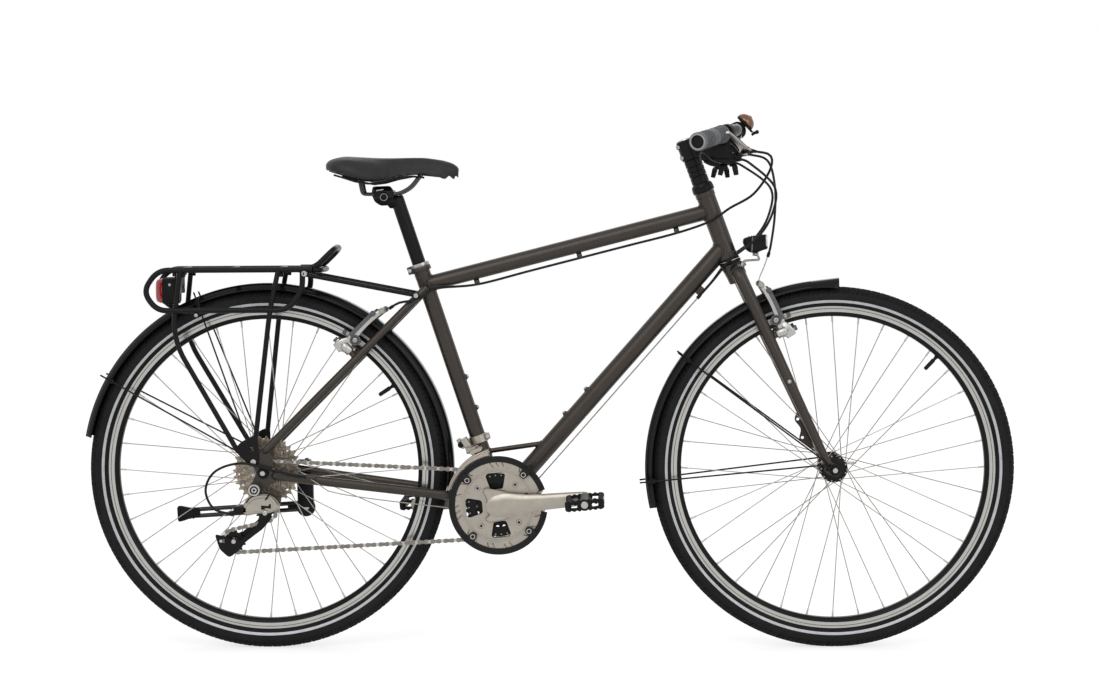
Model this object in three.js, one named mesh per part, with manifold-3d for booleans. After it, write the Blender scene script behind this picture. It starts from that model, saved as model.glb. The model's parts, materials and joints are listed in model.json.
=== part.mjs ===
// Touring bicycle with rack, mudguards, lamps and kickstand. Millimetres, +X forward, +Y left, +Z up.
import * as THREE from 'three';
import { mergeVertices } from 'three/addons/utils/BufferGeometryUtils.js';
import Module from 'manifold-3d';

const wasm = await Module();
wasm.setup();

// Clearances shared by the whole bicycle
const gap = 0.3;
const running_gap = 0.6;
const overrun = 6;
const weld_sink = 2;
const sliver = 0.05;

// Wheels and the geometry of the frame
const wheelbase = 1105;
const tyre_radius = 354;
const wheel_segments = 28;
const chainstay_length = 459;
const bracket_drop = 66;
const seat_angle = THREE.MathUtils.degToRad(71.7);
const head_angle = THREE.MathUtils.degToRad(70);
const fork_offset = 48.8;
const crown_seat = 441;
const head_tube_length = 137;
const seat_tube_length = 489;
const top_tube_below_head = 38.6;
const top_tube_below_collar = 39;
const down_tube_above_head_end = 24.5;

// Frame tubes
const head_tube_radius = 18.3;
const head_bore = 16.8;
const seat_tube_radius = 15.5;
const down_tube_radius = 17.5;
const top_tube_radius = 15.2;
const shell_radius = 21;
const shell_width = 68;
const shell_wall = 3.5;
const brace_radius = 5;
const brace_up_seat_tube = 103;
const brace_up_down_tube = 156;
const boss_radius = 4.5;
const boss_proud = 3;
const boss_spacing = 63.5;
const boss_up_down_tube = 215;
const boss_up_seat_tube = 190;
const stop_radius = 3.6;
const stop_length = 10;
const stop_drop = 5;
const stop_spread = 5;
const top_stop_shares = [0.17, 0.53, 0.87];
const down_stop_from_head = 96;

// Rear stays and dropouts
const chainstay_height = 25;
const chainstay_width = 16.5;
const chainstay_tip_height = 18;
const chainstay_tip_width = 14;
const chainstay_root_y = 24;
const chainstay_rise = 4;
const chainstay_waist_y = 38.5;
const chainstay_waist_share = 0.78;
const chainstay_ring_y = 28;
const chainstay_ring_share = 0.9;
const chainstay_tip_x = 22;
const chainstay_tip_drop = 6;
const stay_tip_y = 70.5;
const seatstay_radius = 8;
const seatstay_top_y = 22;
const seatstay_top_below_collar = 46;
const seatstay_tip_x = 6;
const seatstay_tip_rise = 45;
const seatstay_post_y = 45;
const seatstay_guard_y = 42;
const seatstay_guard_share = 0.7;
const seatstay_shoulder_y = 37;
const seatstay_shoulder_share = 0.87;
const dropout_thickness = 6.5;
const rear_spacing = 135;
const hanger_x = -17.4;
const hanger_drop = 34;
const eyelet_x = -18;
const eyelet_rise = 22;
const dropout_reach = 12;
const bridge_radius = 6;
const guard_clear_of_bridge = 10;

// Wheels: rims, tyres, hubs and spokes
const rim_outer = tyre_radius - 37;
const rim_bead = rim_outer - 6;
const rim_inner = rim_outer - 22;
const rim_width = 24;
const rim_flange = 1.6;
const rim_track = 13.5;
const rim_well = 4.5;
const rim_spoke_face = 10;
const tyre_width = 43;
const tyre_wall = 3.6;
const spoke_count = 36;
const spoke_radius = 1;
const spoke_offset = 1.8;
const spoke_crosses = 3;
const axle_radius = 5;
const front_spacing = 100;
const front_flange_radius = 27;
const front_flange_y = 30;
const front_barrel_radius = 21;
const rear_flange_radius = 27;
const rear_flange_right = 20;
const rear_flange_left = 34;
const rear_barrel_radius = 13;
const flange_thickness = 3;
const freehub_radius = 17;
const nut_radius = 11;
const nut_length = 9;
const cone_length = 4;
const lever_length = 52;
const lever_width = 13;
const lever_thickness = 7;

// Fork
const steerer_radius = 14.3;
const leg_top_y = 42;
const leg_bottom_y = 56;
const leg_top_radius = 13.5;
const leg_bottom_radius = 8;
const leg_rake = THREE.MathUtils.degToRad(4.7);
const leg_top_forward = 5;
const leg_bottom_above_axle = 14;
const crown_radius = 15;
const crown_depth = 34;
const fork_tab_thickness = 6;
const fork_tab_radius = 11;
const brake_tab_height = 60;
const brake_tab_reach = 20;
const brake_tab_rise = 50;
const lowrider_radius = 5;
const lowrider_share = 0.55;

// Headset, spacers, stem and handlebar
const lower_cup_height = 12;
const upper_cup_height = 18;
const cup_radius = 21.5;
const cup_insert = 9;
const spacer_height = 50;
const spacer_radius = 17.2;
const stem_height = 40;
const stem_radius = 19.5;
const stem_length = 82;
const stem_neck_radius = 14;
const stem_cap = 4;
const bar_clamp_radius = 18.5;
const bar_clamp_width = 46;
const bar_radius = 11;
const bar_centre_radius = 12.7;
const bar_centre_width = 62;
const bar_half_width = 302;
const bar_sweep = 54;
const bar_slope = 19;
const grip_length = 126;
const grip_radius = 16.4;
const grip_start_y = 176;
const grip_start_back = 20.5;
const grip_start_drop = 3.8;
const bar_shoulder_y = 84;
const bar_straight_y = 34;
const grip_ribs = 5;
const grip_rib_depth = 1;

// Brake levers, shifters and bell
const control_y = 150;
const control_clamp_width = 14;
const control_clamp_radius = 16;
const lever_pivot_y = 132;
const lever_pivot_forward = 36;
const lever_pivot_drop = 34;
const lever_body_radius = 9;
const lever_pin_gap = 1;
const blade_out = 128;
const blade_back = 38;
const blade_rise = 31;
const blade_thickness = 5;
const blade_root_width = 20;
const blade_tip_width = 8;
const shifter_length = 52;
const shifter_back = 4;
const shifter_width = 34;
const shifter_height = 15;
const shifter_drop = 50;
const trigger_length = 30;
const trigger_width = 8;
const trigger_thickness = 6;
const trigger_spread = 30;
const bell_y = 70;
const bell_tilt = 45 * Math.PI / 180;
const bell_rise = 8;
const bell_radius = 19;
const bell_height = 17;
const bell_shoulder_share = 0.6;
const bell_lever_length = 20;
const bell_lever_radius = 2.6;

// V-brakes, on the fork and on the seat stays
const brake_post_radius_from_axle = rim_outer - 33;
const brake_arm_forward = 27;
const brake_post_y = 41;
const brake_arm_y = 37;
const brake_arm_length = 100;
const brake_arm_width = 15;
const brake_arm_tip_width = 9;
const brake_arm_thickness = 7;
const brake_boss_radius = 8;
const brake_boss_length = 20;
const brake_pad_length = 62;
const brake_pad_height = 11;
const brake_pad_thickness = 9;
const brake_pad_gap = 2.2;
const brake_pad_stud = 4;

// Mudguards
const guard_outer = tyre_radius + 12;
const guard_width = 50;
const guard_depth = 11;
const guard_wall = 1.8;
const guard_steps = 14;
const guard_section_shares = [[-1, 1], [-0.6, 0.14], [0, 0], [0.6, 0.14], [1, 1]];
const rear_guard_start = THREE.MathUtils.degToRad(-7);
const rear_guard_end = THREE.MathUtils.degToRad(169.5);
const front_guard_start = THREE.MathUtils.degToRad(88);
const front_guard_end = THREE.MathUtils.degToRad(192.5);
const wire_radius = 1.7;
const wire_sides = 5;
const clip_size = 9;
const rear_clip_angle = THREE.MathUtils.degToRad(150);
const rear_clip_angle_upper = THREE.MathUtils.degToRad(112);
const front_clip_angle = THREE.MathUtils.degToRad(143);
const front_clip_angle_lower = THREE.MathUtils.degToRad(184);
const front_wire_y = 68;
const rear_wire_y = 65;
const wire_hook = 12;

// Crankset and pedals
const crank_length = 170;
const crank_angle = THREE.MathUtils.degToRad(5.4);
const crank_width = 30;
const crank_tip_width = 25;
const crank_thickness = 12;
const crank_root_y = 72;
const crank_tip_y = 82;
const crank_hub_radius = 17;
const spindle_radius = 9;
const tooth_pitch = 12.7;
const large_teeth = 44;
const middle_teeth = 32;
const small_teeth = 22;
const large_ring_y = 57.5;
const middle_ring_y = 50;
const small_ring_y = 42.5;
const ring_thickness = 2.4;
const tooth_height = 1.6;
const tooth_root = 3.9;
const ring_bolt_circle = 52;
const ring_band = 9;
const spider_width = 17;
const spider_hub_radius = 25;
const ring_bolt_radius = 5;
const guard_ring_outer = 96;
const guard_ring_inner = 84;
const guard_ring_thickness = 2.6;
const guard_ring_step = 1;
const guard_tab_circle = 78;
const guard_tab_radius = 6;
const pedal_length = 74;
const pedal_width = 96;
const pedal_height = 27;
const pedal_bar = 13;
const pedal_barrel_radius = 12;
const pedal_axle_radius = 7;
const pedal_plate = 9;

// Chain, cassette and derailleurs
const cassette_teeth = [11, 12, 14, 16, 18, 21, 24, 28, 32];
const cassette_outer_y = 62;
const cassette_pitch = 4.34;
const cassette_disc = 1.8;
const chain_width = 5.6;
const chain_half_height = 4.2;
const chain_slot_width = 4.2;
const chain_slot_top = 2.6;
const pulley_teeth = 11;
const guide_pulley_x = 1;
const guide_pulley_drop = 74;
const tension_pulley_x = -60;
const tension_pulley_drop = 134;
const pulley_thickness = 2.2;
const pulley_bolt_radius = 3;
const cage_plate = 1.8;
const cage_half_width = 6;
const cage_tip_radius = 15;
const cage_top_radius = 12;
const derailleur_radius = 14;
const derailleur_bracket_y = 84.5;
const barrel_reach = 62;
const barrel_inward = 2.5;
const barrel_drop = 5.5;
const barrel_radius = 4;
const front_cage_inner = 99;
const front_cage_outer = 119;
const front_cage_start = THREE.MathUtils.degToRad(104);
const front_cage_end = THREE.MathUtils.degToRad(159);
const front_cage_out_y = 61;
const front_cage_in_y = 41;
const front_clamp_up = 130;
const front_clamp_height = 16;
const clamp_wall = 3.5;

// Rear rack and tail lamp
const rack_tube_radius = 5.5;
const rack_leg_radius = 5;
const rack_deck_rise = guard_outer + 27;
const rack_front_x = 97;
const rack_rear_x = -205;
const rack_tail_x = -232;
const rack_tail_rise = rack_deck_rise - 41;
const rack_rail_rise = rack_deck_rise - 78;
const rack_rail_front_x = 50;
const rack_deck_y = 56;
const rack_rail_y = 66;
const rack_foot_y = 80;
const rack_leg_top_x = -160;
const rack_leg_bend_x = -176;
const rack_leg_bend_rise = rack_deck_rise - 131;
const rack_leg_foot_x = -50;
const rack_leg_foot_rise = 44;
const rack_strut_top_x = 31;
const rack_strut_mid_x = 15;
const rack_strut_foot_x = -14;
const rack_strut_foot_rise = 66;
const rack_hoop_x = 137;
const rack_hoop_rise = rack_deck_rise + 38;
const rack_plate_thickness = 4;
const rack_slats = 3;
const rack_stay_radius = 4;
const tail_plate_x = -172;
const tail_lamp_depth = 26;
const tail_lamp_width = 66;
const tail_lamp_height = 52;
const tail_lens_depth = 16;

// Seat post, saddle and seat collar
const post_radius = 13.4;
const post_neck_radius = 11.5;
const post_above_collar = 142;
const post_insert = 150;
const post_bore_depth = 290;
const post_head_back = 22;
const post_head_rise = 5;
const post_head_length = 38;
const post_head_height = 15;
const post_head_width = 56;
const rail_radius = 3.5;
const rail_y = 22;
const saddle_length = 270;
const saddle_width = 156;
const saddle_behind_head = 119.1;
const saddle_above_head = 70.1;
const saddle_depth = 50;
const saddle_nose_drop = 22;
const collar_height = 16;
const collar_wall = 4;
const collar_lug = 9;

// Head lamp and its bracket
const lamp_length = 40;
const lamp_height = 34;
const lamp_width = 42;
const lamp_forward = 59.5;
const lamp_up_axis = 462;
const lamp_wire_radius = 2.6;
const lamp_wire_share = 0.35;

// Kickstand
const stand_clamp_x = 60;
const stand_pivot_drop = 86;
const stand_pivot_y = 84;
const stand_body_radius = 12;
const stand_body_length = 24;
const stand_rod_radius = 4.5;
const stand_rod_spread = 6.5;
const stand_length = 236;
const stand_foot_length = 44;
const stand_foot_width = 22;
const stand_leg_width = 24;
const stand_splay = THREE.MathUtils.degToRad(12);
const stand_drop_angle = THREE.MathUtils.degToRad(-3.5);

// Control cables
const cable_radius = 2.4;
const wire_cable_radius = 1.1;

const ring_sides = 14;
const tube_round = 12;
const round = 8;
const mid_round = 8;
const small_round = 6;

const vec = (x, y, z) => new THREE.Vector3(x, y, z);
const axle_height = tyre_radius * Math.cos(Math.PI / wheel_segments);
const rear_axle = vec(0, 0, axle_height);
const front_axle = vec(wheelbase, 0, axle_height);
const bracket = vec(Math.sqrt(chainstay_length ** 2 - bracket_drop ** 2), 0, axle_height - bracket_drop);
const steer_up = vec(-Math.cos(head_angle), 0, Math.sin(head_angle));
const steer_out = vec(Math.sin(head_angle), 0, Math.cos(head_angle));
const seat_up = vec(-Math.cos(seat_angle), 0, Math.sin(seat_angle));
const seat_out = vec(Math.sin(seat_angle), 0, Math.cos(seat_angle));
const along = (from, dir, length) => from.clone().addScaledVector(dir, length);
const shifted = (p, x, y, z) => vec(p.x + x, p.y + y, p.z + z);
const at_y = (p, y) => vec(p.x, y, p.z);

// A point by its height on the steering axis, its offset forward of it and its side
function on_steer(height, forward = 0, y = 0) {
  const foot = along(front_axle, steer_out, -fork_offset);
  return at_y(along(along(foot, steer_up, height), steer_out, forward), y);
}

// A point by its height on the seat tube axis, its offset forward of it and its side
function on_seat(height, forward = 0, y = 0) {
  return at_y(along(along(bracket, seat_up, height), seat_out, forward), y);
}

// A point on a circle round an axle, by its radius and its angle from +X
function around(centre, radius, angle, y = 0) {
  return vec(centre.x + radius * Math.cos(angle), y, centre.z + radius * Math.sin(angle));
}

// A closed geometry as a solid for joins and cuts
function solid(geometry) {
  const bare = geometry.index ? geometry.clone() : geometry;
  bare.deleteAttribute('normal');
  bare.deleteAttribute('uv');
  const merged = mergeVertices(bare);
  const mesh = new wasm.Mesh({
    numProp: 3,
    vertProperties: new Float32Array(merged.attributes.position.array),
    triVerts: new Uint32Array(merged.index.array),
  });
  return new wasm.Manifold(mesh);
}

// A solid back as a geometry for a scene mesh
function geometry_of(body) {
  const mesh = body.simplify(sliver).getMesh();
  const geometry = new THREE.BufferGeometry();
  geometry.setAttribute('position', new THREE.BufferAttribute(mesh.vertProperties, 3));
  geometry.setIndex(new THREE.BufferAttribute(mesh.triVerts, 1));
  return geometry;
}

const join = (...bodies) => bodies.flat().reduce((all, body) => all.add(body));
const cut = (body, ...tools) => tools.flat().reduce((left, tool) => left.subtract(tool), body);

// A straight round bar between two points, with its radius at each end
function rod(from, to, radius, end_radius = radius, sides = round) {
  const way = to.clone().sub(from);
  const geometry = new THREE.CylinderGeometry(end_radius, radius, way.length(), sides);
  const turn = new THREE.Quaternion().setFromUnitVectors(vec(0, 1, 0), way.normalize());
  geometry.applyQuaternion(turn);
  const middle = from.clone().lerp(to, 0.5);
  return solid(geometry.translate(middle.x, middle.y, middle.z));
}

// A straight tube of the frame, rounder than the small rods
const tube = (from, to, radius) => rod(from, to, radius, radius, tube_round);

// A box by its sizes, turned about Y, at its centre
function block(centre, length, width, height, turn = 0) {
  const geometry = new THREE.BoxGeometry(length, width, height).rotateY(turn);
  return solid(geometry.translate(centre.x, centre.y, centre.z));
}

// A ring or disc round an axis along Y, from a closed profile of radius and side
function spun(centre, profile, segments = wheel_segments) {
  const points = profile.map(([radius, y]) => new THREE.Vector2(radius, y));
  points.push(points[0].clone());
  const geometry = new THREE.LatheGeometry(points, segments);
  geometry.rotateY(Math.PI / segments);
  return solid(geometry.translate(centre.x, centre.y, centre.z));
}

// A round sleeve along an axis, with its bore
function sleeve(from, to, radius, bore) {
  const way = to.clone().sub(from).normalize();
  return cut(tube(from, to, radius), tube(along(from, way, -overrun), along(to, way, overrun), bore));
}

// A flat plate in the plane of the wheels, from an outline of points, centred on a side
function plate(outline, y, thickness, holes = []) {
  const shape = new THREE.Shape(outline.map((p) => new THREE.Vector2(p.x, p.z)));
  shape.holes = holes.map((hole) => new THREE.Path(hole.map((p) => new THREE.Vector2(p.x, p.z))));
  const geometry = new THREE.ExtrudeGeometry(shape, { depth: thickness, bevelEnabled: false });
  geometry.rotateX(Math.PI / 2);
  return solid(geometry.translate(0, y + thickness / 2, 0));
}

const circle_points = (centre, radius, sides = round) => Array.from({ length: sides }, (_, i) => (
  around(centre, radius, (i * 2 * Math.PI) / sides)));

// A tube along a smooth curve, as cables and rails are
function cable(points, radius, steps, sides = small_round, tension = 0.5) {
  const shape = new THREE.Shape().absarc(0, 0, radius, 0, 2 * Math.PI);
  const path = new THREE.CatmullRomCurve3(points, false, 'catmullrom', tension);
  const geometry = new THREE.ExtrudeGeometry(shape, {
    steps, curveSegments: sides / 2, extrudePath: path, bevelEnabled: false });
  return solid(geometry);
}

// The way through a row of corners, each rounded off by a length along both its sides
function rounded(corners, bend, steps = 4) {
  const points = [corners[0]];
  for (let i = 1; i < corners.length - 1; i += 1) {
    const before = corners[i - 1].clone().sub(corners[i]);
    const after = corners[i + 1].clone().sub(corners[i]);
    const reach = Math.min(bend, before.length() * 0.45, after.length() * 0.45);
    const start = along(corners[i], before.normalize(), reach);
    const end = along(corners[i], after.normalize(), reach);
    points.push(...new THREE.QuadraticBezierCurve3(start, corners[i], end).getPoints(steps));
  }
  points.push(corners[corners.length - 1]);
  return points;
}

const oval = (width, height, sides = round) => Array.from({ length: sides }, (_, i) => {
  const turn = (i * 2 * Math.PI) / sides;
  return [(width / 2) * Math.cos(turn), (height / 2) * Math.sin(turn)];
});

// A body lofted along a row of points: each has its section, as pairs of side and height
function loft(points, section_at, up = vec(0, 0, 1)) {
  const rings = points.map((point, i) => {
    const before = points[Math.max(i - 1, 0)];
    const after = points[Math.min(i + 1, points.length - 1)];
    const tangent = after.clone().sub(before).normalize();
    const side = up.clone().cross(tangent).normalize();
    const rise = tangent.clone().cross(side);
    return section_at(i / (points.length - 1), i).map(([a, b]) => (
      along(along(point, side, a), rise, b)));
  });
  const count = rings[0].length;
  const flat = section_at(0, 0).map(([a, b]) => new THREE.Vector2(a, b));
  const caps = THREE.ShapeUtils.triangulateShape(flat, []);
  const index = [];
  for (let i = 0; i < rings.length - 1; i += 1) {
    for (let j = 0; j < count; j += 1) {
      const here = i * count + j;
      const next = i * count + ((j + 1) % count);
      index.push(here, next, here + count);
      index.push(next, next + count, here + count);
    }
  }
  const last = (rings.length - 1) * count;
  caps.forEach(([a, b, c]) => index.push(a, c, b));
  caps.forEach(([a, b, c]) => index.push(last + a, last + b, last + c));
  const geometry = new THREE.BufferGeometry().setFromPoints(rings.flat());
  geometry.setIndex(index);
  return solid(geometry);
}

const bent = (corners, radius, bend, sides = small_round, steps = 2) => (
  loft(rounded(corners, bend, steps), () => oval(2 * radius, 2 * radius, sides), vec(0, 0.2, 1)));

// Places on the frame that several pieces share
const head_low = crown_seat + lower_cup_height;
const head_high = head_low + head_tube_length;
const top_tube_head = on_steer(head_high - top_tube_below_head);
const top_tube_seat = on_seat(seat_tube_length - top_tube_below_collar);
const down_tube_head = on_steer(head_low + down_tube_above_head_end);
const down_dir = down_tube_head.clone().sub(bracket).normalize();
const down_under = vec(down_dir.z, 0, -down_dir.x);
const top_dir = top_tube_head.clone().sub(top_tube_seat).normalize();
const top_under = vec(top_dir.z, 0, -top_dir.x);
const stay_tip = shifted(rear_axle, seatstay_tip_x, 0, seatstay_tip_rise);
const stay_top = on_seat(seat_tube_length - seatstay_top_below_collar);
const stay_dir = stay_top.clone().sub(stay_tip).normalize();
const stay_back = vec(-stay_dir.z, 0, stay_dir.x);

// The place on the seat stays' line at a distance from the rear axle
function on_stay_at(radius) {
  const from = stay_tip.clone().sub(rear_axle);
  const b = from.dot(stay_dir);
  const reach = -b + Math.sqrt(b * b - from.lengthSq() + radius * radius);
  return along(stay_tip, stay_dir, reach);
}

// Holes for the steerer and the seat post, in the tubes that carry them
const head_bore_cut = () => tube(on_steer(head_low - overrun), on_steer(head_high + overrun), head_bore);
const post_bore_cut = () => tube(
  on_seat(seat_tube_length - post_bore_depth),
  on_seat(seat_tube_length + overrun),
  post_radius + gap);

function main_frame() {
  const half_shell = shell_width / 2;
  const tubes = join(
    tube(on_steer(head_low), on_steer(head_high), head_tube_radius),
    tube(bracket, on_seat(seat_tube_length), seat_tube_radius),
    tube(bracket, down_tube_head, down_tube_radius),
    tube(top_tube_seat, top_tube_head, top_tube_radius),
    tube(at_y(bracket, -half_shell), at_y(bracket, half_shell), shell_radius),
    rod(on_seat(brace_up_seat_tube), along(bracket, down_dir, brace_up_down_tube), brace_radius,
      brace_radius, small_round),
    bottle_bosses(),
    cable_stops());
  const shell_bore = tube(
    at_y(bracket, -half_shell - overrun),
    at_y(bracket, half_shell + overrun),
    shell_radius - shell_wall);
  const cup_room = tube(on_steer(head_low - 2 * lower_cup_height), on_steer(head_low), cup_radius + gap);
  return cut(tubes, head_bore_cut(), post_bore_cut(), shell_bore, cup_room);
}

function bottle_bosses() {
  const upper = vec(-down_dir.z, 0, down_dir.x);
  return [0, 1].flatMap((i) => {
    const low = along(bracket, down_dir, boss_up_down_tube + i * boss_spacing);
    const back = on_seat(boss_up_seat_tube + i * boss_spacing);
    return [
      rod(low, along(low, upper, down_tube_radius + boss_proud), boss_radius, boss_radius, small_round),
      rod(along(back, seat_out, seat_tube_radius - weld_sink),
        along(back, seat_out, seat_tube_radius + boss_proud), boss_radius, boss_radius, small_round)];
  });
}

// The cable runs under the top tube, and its clips hang from it
const top_run = (share, drop = 0) => along(
  top_tube_seat.clone().lerp(top_tube_head, share), top_under, top_tube_radius + stop_drop + drop);

// Two bare wires run under the down tube from the stops near the head tube
const down_run = (length, drop = 0) => along(
  along(bracket, down_dir, length), down_under, down_tube_radius + stop_drop + drop);
const down_length = down_tube_head.distanceTo(bracket);

function cable_stops() {
  const clips = top_stop_shares.map((share) => {
    const middle = top_run(share);
    const half = stop_length / 2;
    return cut(
      rod(along(middle, top_dir, -half), along(middle, top_dir, half), stop_radius + stop_drop / 2,
        stop_radius + stop_drop / 2, small_round),
      rod(along(middle, top_dir, -stop_length), along(middle, top_dir, stop_length),
        cable_radius + 3 * running_gap, cable_radius + 3 * running_gap, small_round));
  });
  const middle = down_run(down_length - down_stop_from_head, stop_radius - stop_drop);
  const half = stop_length;
  const lug = rod(along(middle, down_dir, -half), along(middle, down_dir, half), stop_spread * 2);
  const bores = [-1, 1].map((side) => {
    const y = side * stop_spread;
    return rod(at_y(along(down_run(down_length - down_stop_from_head), down_dir, -half * 2), y),
      at_y(along(down_run(down_length - down_stop_from_head), down_dir, half * 2), y),
      cable_radius + 3 * running_gap, cable_radius + 3 * running_gap, small_round);
  });
  return [...clips, cut(lug, ...bores)];
}

// One chain stay's way from the bottom bracket to its dropout
function chainstay_way(side) {
  const tip = shifted(rear_axle, chainstay_tip_x, 0, -chainstay_tip_drop);
  const root = shifted(bracket, 0, 0, chainstay_rise);
  const y_at = [
    [1, chainstay_root_y],
    [chainstay_ring_share, chainstay_ring_y],
    [chainstay_waist_share, chainstay_waist_y],
    [0, stay_tip_y]];
  const points = y_at.map(([share, y]) => at_y(tip.clone().lerp(root, share), side * y));
  return rounded(points, chainstay_waist_y, 2);
}

function seatstay_way(side) {
  const y_at = [
    [1, seatstay_top_y],
    [seatstay_shoulder_share, seatstay_shoulder_y],
    [seatstay_guard_share, seatstay_guard_y],
    [0, stay_tip_y]];
  const points = y_at.map(([share, y]) => at_y(stay_tip.clone().lerp(stay_top, share), side * y));
  return rounded(points, seatstay_guard_y, 2);
}

// The flat end plate that holds the axle, the rack's eyelet and the derailleur's hanger
function dropout(side) {
  const hanger = side < 0;
  const low = hanger
    ? [shifted(rear_axle, hanger_x - dropout_reach, 0, -hanger_drop),
      shifted(rear_axle, hanger_x, 0, -hanger_drop - dropout_reach),
      shifted(rear_axle, hanger_x + dropout_reach, 0, -hanger_drop)]
    : [shifted(rear_axle, 0, 0, -dropout_reach)];
  const outline = [
    shifted(rear_axle, chainstay_tip_x + dropout_reach, 0, -chainstay_tip_drop - dropout_reach / 2),
    shifted(rear_axle, chainstay_tip_x + dropout_reach, 0, -chainstay_tip_drop + dropout_reach / 2),
    along(stay_tip, stay_back, -seatstay_radius),
    along(stay_tip, stay_back, seatstay_radius),
    shifted(rear_axle, eyelet_x, 0, eyelet_rise + dropout_reach / 2),
    shifted(rear_axle, eyelet_x - dropout_reach / 2, 0, eyelet_rise),
    shifted(rear_axle, -dropout_reach, 0, 0),
    ...low];
  const y = side * (rear_spacing / 2 + dropout_thickness / 2);
  return plate(outline, y, dropout_thickness);
}

function rear_triangle() {
  const parts = [-1, 1].flatMap((side) => [
    loft(chainstay_way(side), (share) => oval(
      THREE.MathUtils.lerp(chainstay_width, chainstay_tip_width, share),
      THREE.MathUtils.lerp(chainstay_height, chainstay_tip_height, share), mid_round)),
    loft(seatstay_way(side), () => oval(2 * seatstay_radius, 2 * seatstay_radius, mid_round), vec(0, 1, 0)),
    dropout(side),
    brake_post(rear_brake, side)]);
  const high = on_stay_at(guard_outer + guard_clear_of_bridge + bridge_radius);
  const low = around(rear_axle, guard_outer + gap + bridge_radius, rear_guard_start);
  const bridges = [
    rod(at_y(high, -seatstay_guard_y), at_y(high, seatstay_guard_y), bridge_radius, bridge_radius, mid_round),
    rod(at_y(low, -chainstay_waist_y), at_y(low, chainstay_waist_y), bridge_radius, bridge_radius, mid_round)];
  const boss_dir = rear_axle.clone().sub(high).normalize();
  const boss = rod(high, along(high, boss_dir, bridge_radius + guard_clear_of_bridge - gap),
    boss_radius, boss_radius, small_round);
  const body = join(...parts, ...bridges, boss);
  const shell = tube(at_y(bracket, -shell_width), at_y(bracket, shell_width), shell_radius + gap);
  const seat_tube = tube(on_seat(-overrun), on_seat(seat_tube_length + overrun), seat_tube_radius + gap);
  const top_tube = tube(top_tube_seat, top_tube_head, top_tube_radius + gap);
  const axle = rod(at_y(rear_axle, -rear_spacing), at_y(rear_axle, rear_spacing), axle_radius + gap);
  return cut(body, shell, seat_tube, top_tube, axle);
}

// The two brake stations: where their posts stand, and which way their arms rise and face
const leg_dir = steer_up.clone().applyAxisAngle(vec(0, 1, 0), -leg_rake);
const leg_out = vec(leg_dir.z, 0, -leg_dir.x);
const leg_top = on_steer(crown_seat, leg_top_forward);
const leg_bottom = along(leg_top, leg_dir, -(leg_top.z - axle_height - leg_bottom_above_axle) / leg_dir.z);

function brake_foot(line_point, dir, centre) {
  const from = line_point.clone().sub(centre);
  const b = from.dot(dir);
  const inside = b * b - from.lengthSq() + brake_post_radius_from_axle ** 2;
  return along(line_point, dir, -b + Math.sqrt(Math.max(inside, 0)));
}

const front_brake = {
  foot: brake_foot(leg_bottom, leg_dir, front_axle),
  rise: leg_dir,
  face: leg_out,
  centre: front_axle,
};
const rear_brake = {
  foot: brake_foot(stay_tip, stay_dir, rear_axle),
  rise: stay_dir,
  face: stay_back,
  centre: rear_axle,
};
const brake_pivot = (brake, side) => at_y(along(brake.foot, brake.face, brake_arm_forward), side * brake_post_y);

function brake_post(brake, side) {
  const start = at_y(brake.foot, side * brake_post_y);
  const end = along(start, brake.face, brake_arm_forward - brake_boss_length / 2 - gap);
  return rod(start, end, brake_boss_radius - weld_sink, brake_boss_radius - weld_sink, small_round);
}

// One brake arm with its pad, facing the rim's track
function brake_arm(brake, side) {
  const pivot = brake_pivot(brake, side);
  const half = brake_boss_length / 2;
  const boss = rod(along(pivot, brake.face, -half), along(pivot, brake.face, half), brake_boss_radius, brake_boss_radius, round);
  const low = at_y(pivot, side * brake_arm_y);
  const way = [low, along(low, brake.rise, brake_arm_length / 2), along(low, brake.rise, brake_arm_length)];
  const arm = loft(way, (share) => {
    const width = THREE.MathUtils.lerp(brake_arm_width, brake_arm_tip_width, share) / 2;
    const half_thick = brake_arm_thickness / 2;
    return [[-half_thick, -width], [half_thick, -width], [half_thick, width], [-half_thick, width]];
  }, brake.face);
  const track = (rim_outer + rim_inner) / 2 + (rim_outer - rim_inner) / 2 - rim_track / 2;
  const radial = along(low, brake.rise, 0).sub(at_y(brake.centre, low.y));
  const pad_at = along(low, brake.rise, track - radial.length());
  const inner = rim_width / 2 + brake_pad_gap;
  const tangent = Math.atan2(pad_at.x - brake.centre.x, pad_at.z - brake.centre.z);
  const pad_y = side * (inner + brake_pad_thickness / 2);
  const pad = block(at_y(pad_at, pad_y), brake_pad_length, brake_pad_thickness, brake_pad_height, tangent);
  const stud = rod(at_y(pad_at, pad_y), at_y(pad_at, side * (brake_arm_y + brake_arm_thickness)), brake_pad_stud,
    brake_pad_stud, small_round);
  return join(boss, arm, pad, stud);
}

function bottom_bracket() {
  const end = shell_width / 2 + shell_wall;
  const bore = shell_radius - shell_wall - gap;
  return cut(
    tube(at_y(bracket, -end), at_y(bracket, end), bore),
    tube(at_y(bracket, -end - overrun), at_y(bracket, end + overrun), spindle_radius + running_gap));
}

// A headset cup: a ring outside the head tube with a skirt in its bore
function headset_cup(seat, height) {
  const sign = Math.sign(height);
  const ring = (one, other, radius) => sleeve(on_steer(Math.min(one, other)), on_steer(Math.max(one, other)), radius,
    steerer_radius + running_gap);
  return join(ring(seat + sign * gap, seat + height, cup_radius),
    ring(seat - sign * cup_insert, seat + height / 2, head_bore - gap));
}

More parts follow.
